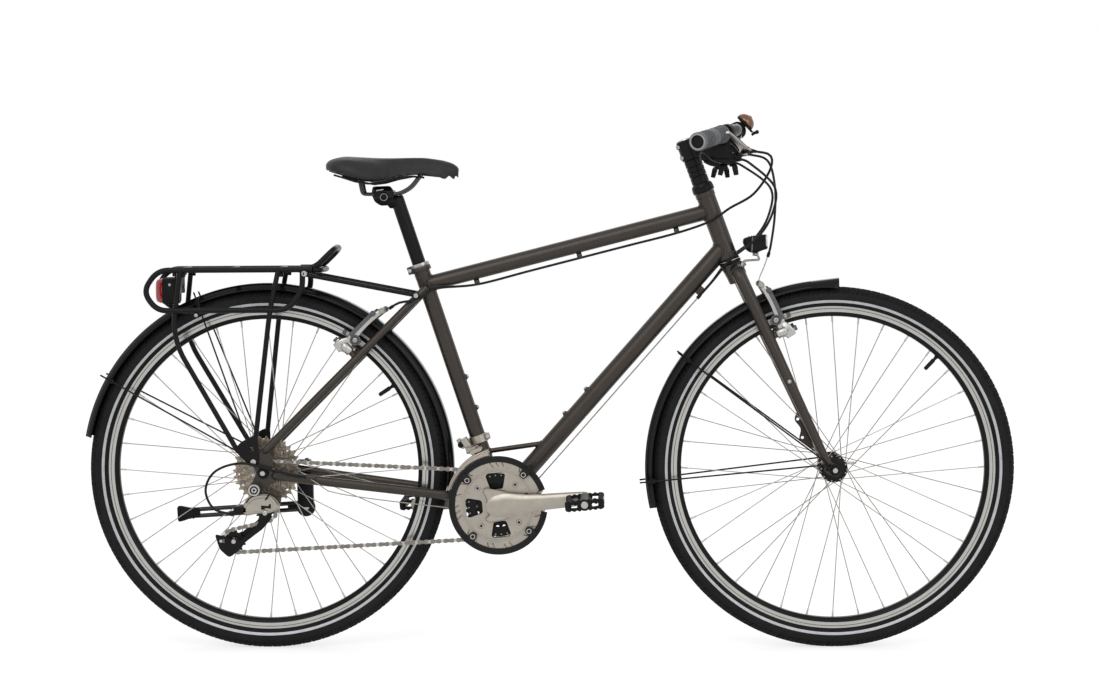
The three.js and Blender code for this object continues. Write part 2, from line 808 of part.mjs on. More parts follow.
function fork() {
  const crown_low = on_steer(crown_seat - crown_depth);
  const steerer_top = head_high + upper_cup_height + spacer_height + stem_height - stem_cap - gap;
  const steerer = tube(on_steer(crown_seat - crown_depth / 2), on_steer(steerer_top), steerer_radius);
  const crown = rod(crown_low, on_steer(crown_seat - gap), crown_radius, cup_radius - weld_sink, tube_round);
  const legs = [-1, 1].flatMap((side) => {
    const top = along(at_y(leg_top, side * leg_top_y), leg_dir, -crown_depth * 1.1);
    const shoulder = at_y(along(leg_top, leg_dir, -crown_depth * 0.55), side * leg_top_y * 0.72);
    const neck = at_y(along(leg_top, leg_dir, -crown_depth * 0.36), 0);
    const bottom = at_y(leg_bottom, side * leg_bottom_y);
    const way = [neck, shoulder, top, ...[0.33, 0.66, 1].map((share) => top.clone().lerp(bottom, share))];
    const shares = [0, 0, 0.05, 0.35, 0.7, 1];
    const leg = loft(way, (_, i) => {
      const size = 2 * THREE.MathUtils.lerp(leg_top_radius, leg_bottom_radius, shares[i]);
      return oval(size, size, round);
    }, vec(1, 0, 0));
    const half = front_spacing / 2;
    const tab_y = side * (half + fork_tab_thickness / 2);
    const tab = plate([
      shifted(front_axle, 0, 0, -fork_tab_radius),
      shifted(front_axle, fork_tab_radius, 0, 0),
      along(leg_bottom, leg_out, leg_bottom_radius),
      along(leg_bottom, leg_out, -leg_bottom_radius),
      shifted(front_axle, -fork_tab_radius - leg_bottom_radius, 0, 0)], tab_y, fork_tab_thickness);
    const rider = at_y(top.clone().lerp(bottom, lowrider_share), side * leg_top_y);
    const boss = rod(rider, at_y(rider, side * (leg_bottom_y + lowrider_radius)), lowrider_radius, lowrider_radius, small_round);
    return [leg, tab, boss, brake_post(front_brake, side)];
  });
  const tab_foot = along(leg_bottom, leg_dir, brake_tab_rise);
  const disc_tab = plate([
    along(leg_bottom, leg_dir, leg_bottom_radius),
    along(tab_foot, leg_dir, brake_tab_height),
    along(along(tab_foot, leg_dir, brake_tab_height * 0.6), leg_out, -brake_tab_reach),
    along(tab_foot, leg_out, -brake_tab_reach - leg_bottom_radius)].reverse(),
  leg_bottom_y, fork_tab_thickness);
  const axle = rod(at_y(front_axle, -front_spacing), at_y(front_axle, front_spacing), axle_radius + gap);
  return cut(join(steerer, crown, ...legs, disc_tab), axle);
}

// Wheel parts, each built round its own axle
function rim(centre) {
  const half = rim_width / 2;
  const face = rim_spoke_face / 2;
  const track_low = rim_outer - rim_track;
  const bed = rim_bead - rim_well;
  const lower = [[rim_inner, -face], [track_low, -half], [rim_outer, -half], [rim_outer, rim_flange - half],
    [bed, rim_flange - half]];
  const upper = lower.map(([radius, y]) => [radius, -y]).reverse();
  return spun(centre, [...lower, ...upper]);
}

function tyre(centre) {
  const bead = rim_width / 2 - rim_flange - gap;
  const low = rim_bead + gap;
  const half = tyre_width / 2;
  const belly = (rim_outer + tyre_radius) / 2;
  const outside = [
    [low, bead], [rim_outer + gap, bead], [belly, half], [tyre_radius - tyre_wall, half * 0.62],
    [tyre_radius, half * 0.16]];
  const inside = [[low, bead - tyre_wall], [tyre_radius - 2 * tyre_wall, half / 2]];
  const other = (list) => list.map(([radius, y]) => [radius, -y]);
  return spun(centre, [
    ...other(outside), ...outside.slice().reverse(), ...inside, ...other(inside).reverse()]);
}

// A hub shell with its flanges and the spokes that hook into them
function hub(centre, flanges, flange_radius, barrel_radius) {
  const [right, left] = flanges;
  const half = flange_thickness / 2;
  const shell = spun(centre, [
    [axle_radius + running_gap, right - half], [flange_radius, right - half], [flange_radius, right + half],
    [barrel_radius, right + 3 * half], [barrel_radius, left - 3 * half], [flange_radius, left - half],
    [flange_radius, left + half], [axle_radius + running_gap, left + half]], round + 2);
  const end = rim_inner * Math.cos(Math.PI / wheel_segments) - gap;
  const per_flange = spoke_count / 2;
  const spokes = flanges.flatMap((flange_y, side) => Array.from({ length: per_flange }, (_, i) => {
    const hand = i % 2 ? 1 : -1;
    const step = (2 * Math.PI) / per_flange;
    const hole = (i + side / 2) * step;
    const nipple = hole + hand * spoke_crosses * step;
    const y = flange_y + hand * spoke_offset;
    const start = around(centre, flange_radius - flange_thickness, hole, flange_y);
    return rod(at_y(start, y), around(centre, end, nipple, flange_y * 0.06),
      spoke_radius, spoke_radius, 3);
  }));
  return join(shell, ...spokes);
}

// The clamp axle of a wheel: a skewer with a nut at one end and a lever at the other
function clamp_axle(centre, spacing, dropout_width, lever_way) {
  const seat = spacing / 2 + dropout_width + gap;
  const end = seat + nut_length;
  const hub_end = spacing / 2 - gap;
  const skewer = rod(at_y(centre, -end), at_y(centre, end), axle_radius);
  const nut = rod(at_y(centre, -end), at_y(centre, -seat), nut_radius, nut_radius, round);
  const cap = rod(at_y(centre, seat), at_y(centre, end), nut_radius, nut_radius, round);
  const cones = [-1, 1].map((side) => rod(
    at_y(centre, side * (hub_end - cone_length)), at_y(centre, side * hub_end), nut_radius - weld_sink,
    nut_radius - weld_sink, round));
  const y = end - lever_thickness / 2;
  const lever = rod(at_y(centre, y), shifted(at_y(centre, y), lever_way * lever_length, 0, lever_width),
    lever_thickness / 2, lever_thickness / 2, small_round);
  return join(skewer, nut, cap, lever, ...cones);
}

function mudguard(centre, start, end) {
  const half = guard_width / 2;
  const outside = guard_section_shares.map(([a, b]) => [a * half, -b * guard_depth]);
  const inside = outside.map(([a, b]) => [a * (1 - guard_wall / half), b - guard_wall * (1 + b / guard_depth)]);
  const section = [...outside.slice().reverse(), ...inside];
  const points = Array.from({ length: guard_steps + 1 }, (_, i) => (
    around(centre, guard_outer, THREE.MathUtils.lerp(start, end, i / guard_steps))));
  return arch(centre, points, section);
}

// A strip along an arc round an axle: its section is pairs of side and height over the arc
function arch(centre, points, section) {
  const rings = points.map((point) => {
    const out = point.clone().sub(centre).normalize();
    return section.map(([a, b]) => shifted(along(point, out, b), 0, a, 0));
  });
  return skin(rings.reverse(), section);
}

// A closed body from rings of points, in order, with flat caps
function skin(rings, section) {
  const count = section.length;
  const caps = THREE.ShapeUtils.triangulateShape(section.map(([a, b]) => new THREE.Vector2(a, b)), []);
  const index = [];
  for (let i = 0; i < rings.length - 1; i += 1) {
    for (let j = 0; j < count; j += 1) {
      const here = i * count + j;
      const next = i * count + ((j + 1) % count);
      index.push(here, next, here + count, next, next + count, here + count);
    }
  }
  const last = (rings.length - 1) * count;
  caps.forEach(([a, b, c]) => index.push(a, c, b, last + a, last + b, last + c));
  const geometry = new THREE.BufferGeometry().setFromPoints(rings.flat());
  geometry.setIndex(index);
  return solid(geometry);
}

// Wire stays run from clips on a mudguard to a point near the axle on both sides
function guard_stays(centre, angles, anchor_x, anchor_rise, anchor_y) {
  const half = guard_width / 2;
  return angles.flatMap((angle) => {
    const clip = around(centre, guard_outer - guard_depth, angle);
    const clips = [-1, 1].map((side) => block(
      at_y(clip, side * (half + clip_size / 4)), clip_size, clip_size / 2 + weld_sink, clip_size, -angle));
    const wires = [-1, 1].map((side) => {
      const top = at_y(clip, side * (half + clip_size / 3));
      const foot = shifted(centre, anchor_x, side * anchor_y, anchor_rise);
      return rod(top, foot, wire_radius, wire_radius, wire_sides);
    });
    return [...clips, ...wires];
  });
}

const pitch_radius = (teeth) => tooth_pitch / (2 * Math.sin(Math.PI / teeth));

// A toothed ring: its teeth are pairs of root and tip points round the outline
function toothed(centre, teeth, inner, y) {
  const pitch = pitch_radius(teeth);
  const outline = Array.from({ length: teeth * 2 }, (_, i) => (
    around(centre, i % 2 ? pitch + tooth_height : pitch - tooth_root, (i * Math.PI) / teeth)));
  return plate(outline, y, ring_thickness, [circle_points(centre, inner, ring_sides)]);
}

function chainrings() {
  const rings = [
    toothed(bracket, large_teeth, ring_bolt_circle - ring_bolt_radius, -large_ring_y),
    toothed(bracket, middle_teeth, ring_bolt_circle - ring_band, -middle_ring_y),
    toothed(bracket, small_teeth, pitch_radius(small_teeth) - tooth_root - ring_band, -small_ring_y)];
  const spider_y = -(large_ring_y + middle_ring_y) / 2;
  const thickness = large_ring_y - middle_ring_y - ring_thickness + 2 * gap;
  const arms = Array.from({ length: 4 }, (_, i) => {
    const turn = crank_angle + Math.PI / 4 + (i * Math.PI) / 2;
    const out = ring_bolt_circle + ring_bolt_radius;
    const centre = around(bracket, out / 2, turn, spider_y);
    return block(centre, out, thickness, spider_width, -turn);
  });
  const bolts = Array.from({ length: 4 }, (_, i) => {
    const turn = crank_angle + Math.PI / 4 + (i * Math.PI) / 2;
    const out = pitch_radius(small_teeth) - tooth_root - ring_band / 2;
    return rod(around(bracket, out, turn, -small_ring_y), around(bracket, out, turn, spider_y), ring_bolt_radius,
      ring_bolt_radius, small_round);
  });
  const tabs = Array.from({ length: 4 }, (_, i) => {
    const turn = crank_angle + Math.PI / 4 + (i * Math.PI) / 2;
    return rod(around(bracket, guard_tab_circle, turn, -large_ring_y),
      around(bracket, guard_tab_circle, turn, -large_ring_y - ring_thickness / 2 - guard_ring_step + gap),
      guard_tab_radius / 2, guard_tab_radius / 2, small_round);
  });
  const hub_plate = spun(at_y(bracket, 0), [
    [crank_hub_radius + gap, spider_y - thickness / 2], [spider_hub_radius, spider_y - thickness / 2],
    [spider_hub_radius, spider_y + thickness / 2], [crank_hub_radius + gap, spider_y + thickness / 2]], round);
  const bore = rod(at_y(bracket, -crank_root_y), at_y(bracket, -shell_width / 2), crank_hub_radius + gap);
  return cut(join(...rings, ...arms, ...bolts, ...tabs, hub_plate), bore);
}

function chain_guard() {
  const y = -large_ring_y - ring_thickness / 2 - guard_ring_step - guard_ring_thickness / 2;
  const ring = plate(circle_points(bracket, guard_ring_outer, ring_sides), y, guard_ring_thickness,
    [circle_points(bracket, guard_ring_inner, ring_sides)]);
  const tabs = Array.from({ length: 4 }, (_, i) => {
    const turn = crank_angle + Math.PI / 4 + (i * Math.PI) / 2;
    return rod(around(bracket, guard_tab_circle, turn, y - guard_ring_thickness / 2),
      around(bracket, guard_tab_circle, turn, y + guard_ring_thickness / 2), guard_tab_radius + weld_sink,
      guard_tab_radius + weld_sink, round);
  });
  return join(ring, ...tabs);
}

const crank_end = (side) => around(bracket, crank_length, crank_angle + (side > 0 ? Math.PI : 0));

// A crank arm with its pedal axle
function crank_arm(side) {
  const root = at_y(bracket, side * crank_root_y);
  const tip = at_y(crank_end(side), side * crank_tip_y);
  const way = [root, root.clone().lerp(tip, 0.25), root.clone().lerp(tip, 0.8), tip];
  const arm = loft(way, (share) => {
    const width = THREE.MathUtils.lerp(crank_width, crank_tip_width, share) / 2;
    const half = crank_thickness / 2;
    const soft = half / 2;
    return [[-half, soft - width], [-soft, -width], [soft, -width], [half, soft - width],
      [half, width - soft], [soft, width], [-soft, width], [-half, width - soft]];
  });
  const half = crank_thickness / 2;
  const eye = rod(at_y(tip, tip.y - half), at_y(tip, tip.y + half), crank_tip_width / 2);
  const seat = side < 0 ? middle_ring_y : shell_width / 2 + shell_wall + running_gap;
  const boss = rod(at_y(bracket, side * seat), at_y(bracket, side * (crank_root_y + half)), crank_hub_radius);
  const axle_end = side * (crank_tip_y + half + running_gap + pedal_width - pedal_plate / 2);
  const axle = rod(tip, at_y(tip, axle_end), pedal_axle_radius, pedal_axle_radius, round);
  return join(arm, eye, boss, axle);
}

function crank_right() {
  const bore = rod(at_y(bracket, -shell_width / 2), at_y(bracket, -crank_root_y - crank_thickness), spindle_radius + gap);
  return cut(crank_arm(-1), bore);
}

function crank_left() {
  const spindle = rod(at_y(bracket, crank_root_y), at_y(bracket, -crank_root_y - crank_thickness / 2), spindle_radius);
  return join(crank_arm(1), spindle);
}

// A cage pedal that turns on its axle
function pedal(side) {
  const start = side * (crank_tip_y + crank_thickness / 2 + running_gap);
  const end = start + side * pedal_width;
  const centre = at_y(crank_end(side), (start + end) / 2);
  const outer = block(centre, pedal_length, pedal_width, pedal_height, -crank_angle);
  const barrel = rod(at_y(centre, start), at_y(centre, end), pedal_barrel_radius, pedal_barrel_radius, round);
  const window = block(centre, pedal_length - 2 * pedal_bar, pedal_width - 2 * pedal_plate, pedal_height + overrun,
    -crank_angle);
  const bore = rod(at_y(centre, start - side * overrun), at_y(centre, end + side * overrun), pedal_axle_radius + running_gap,
    pedal_axle_radius + running_gap, round);
  return cut(join(cut(outer, window), barrel), bore);
}

function cassette() {
  const half = cassette_disc / 2;
  const side_of = (i) => i * cassette_pitch - cassette_outer_y - half;
  const steps = cassette_teeth.slice(1).flatMap((teeth, i) => {
    const radius = pitch_radius(teeth) + tooth_height;
    return [[radius, side_of(i + 1)], [radius, side_of(i + 2)]];
  });
  const least = pitch_radius(cassette_teeth[0]) - tooth_root / 2;
  const high = -rear_flange_right - flange_thickness / 2 - running_gap;
  return spun(rear_axle, [
    [axle_radius + running_gap, side_of(0)], [least, side_of(0)], [least, side_of(0) + cassette_disc],
    [freehub_radius, side_of(0) + cassette_disc], [freehub_radius, side_of(1)], ...steps,
    [freehub_radius, side_of(cassette_teeth.length)], [freehub_radius, high], [axle_radius + running_gap, high]],
  ring_sides);
}

// The chain's path round the rings: wheels in order, each turning one way
const guide_pulley_at = shifted(rear_axle, guide_pulley_x, 0, -guide_pulley_drop);
const tension_pulley_at = shifted(rear_axle, tension_pulley_x, 0, -tension_pulley_drop);
const chain_wheels = [
  { centre: bracket, teeth: middle_teeth, turn: -1, y: -middle_ring_y, steps: 14 },
  { centre: tension_pulley_at, teeth: pulley_teeth, turn: -1, y: -cassette_outer_y, steps: 6 },
  { centre: guide_pulley_at, teeth: pulley_teeth, turn: 1, y: -cassette_outer_y, steps: 5 },
  { centre: rear_axle, teeth: cassette_teeth[0], turn: -1, y: -cassette_outer_y, steps: 8 }];

function chain_tangent(from, to) {
  const way = to.centre.clone().sub(from.centre);
  const length = Math.hypot(way.x, way.z);
  const rise = to.turn * pitch_radius(to.teeth) - from.turn * pitch_radius(from.teeth);
  const heading = Math.atan2(way.z, way.x) - Math.asin(rise / length);
  return heading;
}

function chain_path() {
  const count = chain_wheels.length;
  return chain_wheels.flatMap((wheel, i) => {
    const before = chain_wheels[(i + count - 1) % count];
    const after = chain_wheels[(i + 1) % count];
    const start = chain_tangent(before, wheel);
    let swing = chain_tangent(wheel, after) - start;
    while (swing * wheel.turn < 0) swing += wheel.turn * 2 * Math.PI;
    while (swing * wheel.turn > 2 * Math.PI) swing -= wheel.turn * 2 * Math.PI;
    return Array.from({ length: wheel.steps + 1 }, (_, k) => {
      const heading = start + (swing * k) / wheel.steps;
      const inward = vec(-Math.sin(heading), 0, Math.cos(heading));
      const at = along(wheel.centre, inward, -wheel.turn * pitch_radius(wheel.teeth));
      return { at: at_y(at, wheel.y), inward };
    });
  });
}

// The chain as one closed band, with the groove that the teeth run in
function chain() {
  const half = chain_width / 2;
  const slot = chain_slot_width / 2;
  const high = chain_half_height;
  const section = [[-half, high], [-slot, high], [-slot, -chain_slot_top], [slot, -chain_slot_top],
    [slot, high], [half, high], [half, -high], [-half, -high]].map(([a, b]) => [a, -b]);
  const samples = chain_path();
  const rings = samples.map(({ at, inward }) => section.map(([a, b]) => (
    shifted(along(at, inward, b), 0, a, 0))));
  const count = section.length;
  const index = [];
  for (let i = 0; i < rings.length; i += 1) {
    const after = (i + 1) % rings.length;
    for (let j = 0; j < count; j += 1) {
      const next = (j + 1) % count;
      index.push(i * count + j, i * count + next, after * count + j);
      index.push(i * count + next, after * count + next, after * count + j);
    }
  }
  const geometry = new THREE.BufferGeometry().setFromPoints(rings.flat());
  geometry.setIndex(index);
  return solid(geometry);
}

function pulley(centre, radius) {
  const half = pulley_thickness / 2;
  const y = -cassette_outer_y;
  const bore = pulley_bolt_radius + running_gap;
  return spun(centre, [[bore, y - half], [radius, y - half], [radius, y + half], [bore, y + half]], round);
}
const guide_radius = pitch_radius(pulley_teeth) - chain_half_height - 2 * running_gap;
const tension_radius = pitch_radius(pulley_teeth) + chain_slot_top - 2 * running_gap;

function rear_derailleur() {
  const y_out = -derailleur_bracket_y;
  const hanger = shifted(rear_axle, hanger_x, 0, -hanger_drop);
  const hanger_y = -(rear_spacing / 2 + dropout_thickness + gap);
  const knuckle = rod(at_y(hanger, hanger_y), at_y(hanger, y_out - derailleur_radius / 2), derailleur_radius * 0.7);
  const cages = [-1, 1].map((way) => {
    const y = -cassette_outer_y + way * cage_half_width;
    return cage_outline(y);
  });
  const bolts = [guide_pulley_at, tension_pulley_at].map((at) => rod(
    at_y(at, -cassette_outer_y - cage_half_width), at_y(at, -cassette_outer_y + cage_half_width), pulley_bolt_radius,
    pulley_bolt_radius, small_round));
  const body = loft([at_y(hanger, y_out), shifted(at_y(hanger, y_out), derailleur_radius, 0, -derailleur_radius * 1.4),
    at_y(guide_pulley_at, y_out)], (share) => oval(derailleur_radius * 1.3, derailleur_radius * (1.5 + share / 2), mid_round));
  const arm = rod(at_y(guide_pulley_at, y_out - derailleur_radius / 2), at_y(guide_pulley_at, -cassette_outer_y - cage_half_width),
    cage_top_radius, cage_top_radius, round);
  const barrel = rod(at_y(guide_pulley_at, y_out), shifted(at_y(guide_pulley_at, y_out), -barrel_reach, barrel_inward,
    -barrel_drop), derailleur_radius / 2, barrel_radius);
  return join(knuckle, ...cages, ...bolts, body, arm, barrel);
}

// A cage plate: the outline round both pulleys' bosses
function cage_outline(y) {
  const way = tension_pulley_at.clone().sub(guide_pulley_at);
  const heading = Math.atan2(way.z, way.x);
  const half_turn = Array.from({ length: small_round }, (_, i) => (
    heading + Math.PI / 2 + (i * Math.PI) / (small_round - 1)));
  const top = half_turn.map((angle) => around(guide_pulley_at, cage_top_radius, angle));
  const tip = half_turn.map((angle) => around(tension_pulley_at, cage_tip_radius, angle + Math.PI));
  return plate([...top, ...tip], y, cage_plate);
}

function front_derailleur() {
  const arc = (radius, from, to) => Array.from({ length: small_round }, (_, i) => (
    around(bracket, radius, THREE.MathUtils.lerp(from, to, i / (small_round - 1)))));
  const outline = [...arc(front_cage_inner, front_cage_start, front_cage_end),
    ...arc(front_cage_outer, front_cage_end, front_cage_start)];
  const plates = [front_cage_out_y, front_cage_in_y].map((y) => plate(outline, -y, cage_plate));
  const thin = cage_plate * 2;
  const middle_y = -(front_cage_out_y + front_cage_in_y) / 2;
  const width = front_cage_out_y - front_cage_in_y;
  const tail = block(around(bracket, (front_cage_inner + front_cage_outer) / 2, front_cage_end, middle_y),
    front_cage_outer - front_cage_inner, width, thin, -front_cage_end);
  const roof = block(around(bracket, front_cage_outer, front_cage_start + cage_plate * 2 / front_cage_outer, middle_y),
    thin, width, thin * 2, -front_cage_start);
  const clamp_at = on_seat(front_clamp_up);
  const clamp = tube(along(clamp_at, seat_up, -front_clamp_height / 2),
    along(clamp_at, seat_up, front_clamp_height / 2), seat_tube_radius + clamp_wall);
  const knee = at_y(along(clamp_at, seat_out, -seat_tube_radius / 2), -seat_tube_radius - clamp_wall);
  const link = loft([at_y(clamp_at, -seat_tube_radius + weld_sink), knee,
    around(bracket, front_cage_outer, front_cage_start + thin / front_cage_outer * 2, -front_cage_in_y)],
  () => oval(front_clamp_height, front_clamp_height * 0.7, mid_round), vec(1, 0, 0));
  const seat_tube = tube(on_seat(0), on_seat(seat_tube_length), seat_tube_radius + gap);
  return cut(join(...plates, tail, roof, clamp, link), seat_tube);
}

function rear_rack() {
  const at = (x, rise, y) => vec(x, y, axle_height + rise);
  const sides = [-1, 1].flatMap((side) => {
    const deck = side * rack_deck_y;
    const rail = side * rack_rail_y;
    const middle = (deck + rail) / 2;
    const foot = side * rack_foot_y;
    const half_y = side * (rack_foot_y - rack_leg_radius);
    const loop = bent([
      at(rack_front_x, rack_deck_rise, deck), at(rack_rear_x, rack_deck_rise, deck),
      at(rack_tail_x, rack_tail_rise, middle), at(rack_rear_x, rack_rail_rise, rail),
      at(rack_rail_front_x, rack_rail_rise, rail), at(rack_rail_front_x + rack_deck_y / 2, rack_tail_rise, middle),
      at(rack_rail_front_x + rack_deck_y / 2, rack_deck_rise, deck)], rack_tube_radius, rack_deck_y / 2, small_round, 1);
    const leg = bent([
      at(rack_leg_top_x, rack_deck_rise, deck), at(rack_leg_bend_x, rack_leg_bend_rise, rail),
      at(rack_leg_foot_x, rack_leg_foot_rise, half_y)], rack_leg_radius, rack_deck_y, small_round, 1);
    const strut = bent([
      at(rack_strut_top_x, rack_deck_rise, deck), at(rack_strut_mid_x, rack_rail_rise, rail),
      at(rack_strut_foot_x, rack_strut_foot_rise, half_y)], rack_leg_radius, rack_deck_y, small_round, 1);
    const plate_y = side * (rack_foot_y - rack_plate_thickness / 2);
    const foot_plate = plate([
      at(rack_leg_foot_x - rack_leg_radius, rack_leg_foot_rise, 0), at(rack_strut_foot_x - rack_leg_radius, rack_strut_foot_rise + rack_leg_radius, 0),
      at(rack_strut_foot_x + rack_leg_radius, rack_strut_foot_rise + rack_leg_radius, 0), at(eyelet_x + dropout_reach / 2, eyelet_rise - rack_leg_radius, 0),
      at(eyelet_x - dropout_reach, eyelet_rise - rack_leg_radius, 0)], plate_y, rack_plate_thickness);
    const eyelet = at(eyelet_x, eyelet_rise, 0);
    const bolt = rod(at_y(eyelet, side * (rear_spacing / 2 + dropout_thickness + gap)), at_y(eyelet, foot), rack_leg_radius,
      rack_leg_radius, small_round);
    const end = on_stay_at(guard_outer + 2 * seatstay_guard_y);
    const stay_y = side * (seatstay_guard_y + seatstay_radius);
    const stay = bent([
      at(rack_rail_front_x + rack_deck_y / 2, rack_deck_rise - rack_tube_radius, deck),
      shifted(at_y(end, stay_y + side * (rack_stay_radius + gap)), 0, 0, rack_stay_radius)], rack_stay_radius, rack_stay_radius, small_round, 1);
    return [loop, leg, strut, foot_plate, bolt, stay];
  });
  const hoop = bent([
    at(rack_front_x, rack_deck_rise, -rack_deck_y), at(rack_hoop_x, rack_hoop_rise, -rack_deck_y),
    at(rack_hoop_x, rack_hoop_rise, rack_deck_y), at(rack_front_x, rack_deck_rise, rack_deck_y)],
  rack_tube_radius, rack_deck_y / 3, small_round, 2);
  const slats = Array.from({ length: rack_slats }, (_, i) => {
    const x = THREE.MathUtils.lerp(rack_leg_top_x, rack_strut_top_x, i / (rack_slats - 1));
    return rod(at(x, rack_deck_rise, -rack_deck_y), at(x, rack_deck_rise, rack_deck_y), rack_leg_radius, rack_leg_radius,
      small_round);
  });
  const spine = block(at((rack_leg_top_x + rack_strut_top_x) / 2, rack_deck_rise, 0),
    rack_strut_top_x - rack_leg_top_x, rack_deck_y / 2, rack_leg_radius);
  const lamp_plate = block(at(tail_plate_x, (rack_deck_rise + rack_tail_rise) / 2, 0), rack_plate_thickness,
    2 * rack_deck_y, rack_deck_rise - rack_tail_rise);
  return join(...sides, hoop, ...slats, spine, lamp_plate);
}

// The tail lamp hangs on the rack's rear plate, behind it
function tail_lamp() {
  const front = tail_plate_x - rack_plate_thickness / 2 - gap;
  const z = axle_height + rack_tail_rise;
  const body = block(vec(front - tail_lamp_depth / 2, 0, z), tail_lamp_depth, tail_lamp_width, tail_lamp_height);
  const lens_at = vec(front - tail_lamp_depth, 0, z);
  const lens = loft([lens_at, shifted(lens_at, -tail_lens_depth / 2, 0, 0), shifted(lens_at, -tail_lens_depth, 0, 0)],
    (share) => {
      const width = (tail_lamp_width / 2) * (1 - share * 0.3);
      const height = (tail_lamp_height / 2) * (1 - share * 0.2);
      return [[-width, -height], [width, -height], [width, height], [-width, height]];
    });
  return join(body, lens);
}

function seat_collar() {
  const low = seat_tube_length - collar_height * 0.75;
  const ring = sleeve(on_seat(low), on_seat(low + collar_height), seat_tube_radius + collar_wall, seat_tube_radius + gap);
  const lug_at = on_seat(low + collar_height / 2, -seat_tube_radius - collar_lug / 2 - running_gap);
  const lug = block(lug_at, collar_lug, collar_lug * 1.6, collar_height, seat_angle - Math.PI / 2);
  const stay = [-1, 1].map((side) => loft(seatstay_way(side), () => (
    oval(2 * (seatstay_radius + gap), 2 * (seatstay_radius + gap), mid_round)), vec(0, 1, 0)));
  return cut(join(ring, lug), ...stay);
}

// Seat post with its set-back head, and the saddle's rails that the head clamps
const post_top = on_seat(seat_tube_length + post_above_collar);
const head_at = shifted(post_top, -post_head_back, 0, post_head_rise);

function seat_post() {
  const shaft = tube(on_seat(seat_tube_length - post_insert), post_top, post_radius);
  const neck = loft([
    along(post_top, seat_up, -post_radius), along(post_top, seat_up, weld_sink), shifted(head_at, 0, 0, -post_head_height / 2)],
    () => oval(2 * post_neck_radius, 2 * post_neck_radius, round), vec(1, 0, 0));
  const head = block(head_at, post_head_length, post_head_width, post_head_height);
  return cut(join(shaft, neck, head), ...rails_with(rail_radius + gap));
}

const saddle_at = (x_share, y, drop) => vec(
  head_at.x - saddle_behind_head + x_share * saddle_length, y, head_at.z + saddle_above_head - drop);
const rail_nose_share = 0.76;
const rail_tail_share = 0.25;
const rail_nose_drop_share = 0.26;
const rail_tail_drop_share = 0.36;

function rails_with(radius) {
  return [-1, 1].map((side) => {
    const y = side * rail_y;
    const low = head_at.z;
    const start = saddle_at(rail_tail_share, y * 1.3, saddle_depth * rail_tail_drop_share);
    const end = saddle_at(rail_nose_share, y * 0.45, saddle_depth * rail_nose_drop_share);
    return bent([
      start,
      vec(start.x + rail_y * 0.45, y * 1.1, low),
      vec(head_at.x - post_head_length / 2 - 2 * rail_radius, y, low),
      vec(head_at.x + post_head_length / 2 + rail_y * 0.4, y, low),
      vec(head_at.x + post_head_length + rail_y * 0.6, y * 0.8, low + rail_y * 0.55),
      end], radius, rail_y / 2, small_round, 1);
  });
}

function saddle_rails() {
  const [right, left] = rails_with(rail_radius);
  const nose = saddle_at(rail_nose_share, 0, saddle_depth * rail_nose_drop_share);
  const bridge = rod(at_y(nose, -rail_y * 0.45), at_y(nose, rail_y * 0.45), rail_radius, rail_radius, small_round);
  return join(right, left, bridge);
}

// Stations along the saddle: how far along, half width, drop of the top and of the edge
const saddle_stations_shares = [
  [0, 0.22, 0.3, 0.4], [0.03, 0.36, 0.12, 0.46], [0.08, 0.45, 0.02, 0.58], [0.16, 0.5, 0.02, 0.72],
  [0.25, 0.5, 0.06, 0.86], [0.34, 0.43, 0.1, 0.94], [0.43, 0.33, 0.12, 0.9], [0.53, 0.24, 0.12, 0.76],
  [0.64, 0.18, 0.11, 0.66], [0.76, 0.15, 0.1, 0.62], [0.88, 0.13, 0.11, 0.64], [0.95, 0.1, 0.2, 0.62],
  [1, 0.05, 0.4, 0.56]];
const saddle_section_shares = [
  [0, 0.42], [0.55, 0.5], [0.86, 0.9], [0.94, 1], [1, 0.9], [0.97, 0.55], [0.84, 0.2], [0.55, 0.03], [0.2, 0]];

function saddle() {
  const mirrored = saddle_section_shares.map(([a, b]) => [-a, b]).reverse();
  const section = [...saddle_section_shares, ...mirrored.slice(0, -1)];
  const sections = saddle_stations_shares.map(([, width, top, edge]) => section.map(([a, b]) => (
    [a * width * saddle_width, -(top + b * (edge - top)) * saddle_depth])));
  const points = saddle_stations_shares.map(([x]) => saddle_at(x, 0, 0));
  const rings = points.map((point, i) => sections[i].map(([a, b]) => shifted(point, 0, a, b)));
  const body = skin(rings, sections[0]);
  return cut(body, ...rails_with(rail_radius + gap), rod(
    saddle_at(rail_nose_share, -rail_y * 0.5, saddle_depth * rail_nose_drop_share),
    saddle_at(rail_nose_share, rail_y * 0.5, saddle_depth * rail_nose_drop_share), rail_radius + gap, rail_radius + gap, small_round));
}

const stem_low = head_high + upper_cup_height + spacer_height;
const stem_middle = stem_low + stem_height / 2;
const bar_centre = on_steer(stem_middle, stem_length);

const spacers = () => sleeve(on_steer(head_high + upper_cup_height + gap), on_steer(stem_low - gap), spacer_radius,
  steerer_radius + gap);

function stem() {
  const half = bar_clamp_width / 2;
  const body = join(
    tube(on_steer(stem_low), on_steer(stem_low + stem_height), stem_radius),
    tube(on_steer(stem_middle), bar_centre, stem_neck_radius),
    tube(at_y(bar_centre, -half), at_y(bar_centre, half), bar_clamp_radius));
  return cut(body,
    tube(on_steer(stem_low - overrun), on_steer(stem_low + stem_height - stem_cap), steerer_radius + gap),
    tube(at_y(bar_centre, -bar_clamp_width), at_y(bar_centre, bar_clamp_width), bar_centre_radius + gap));
}

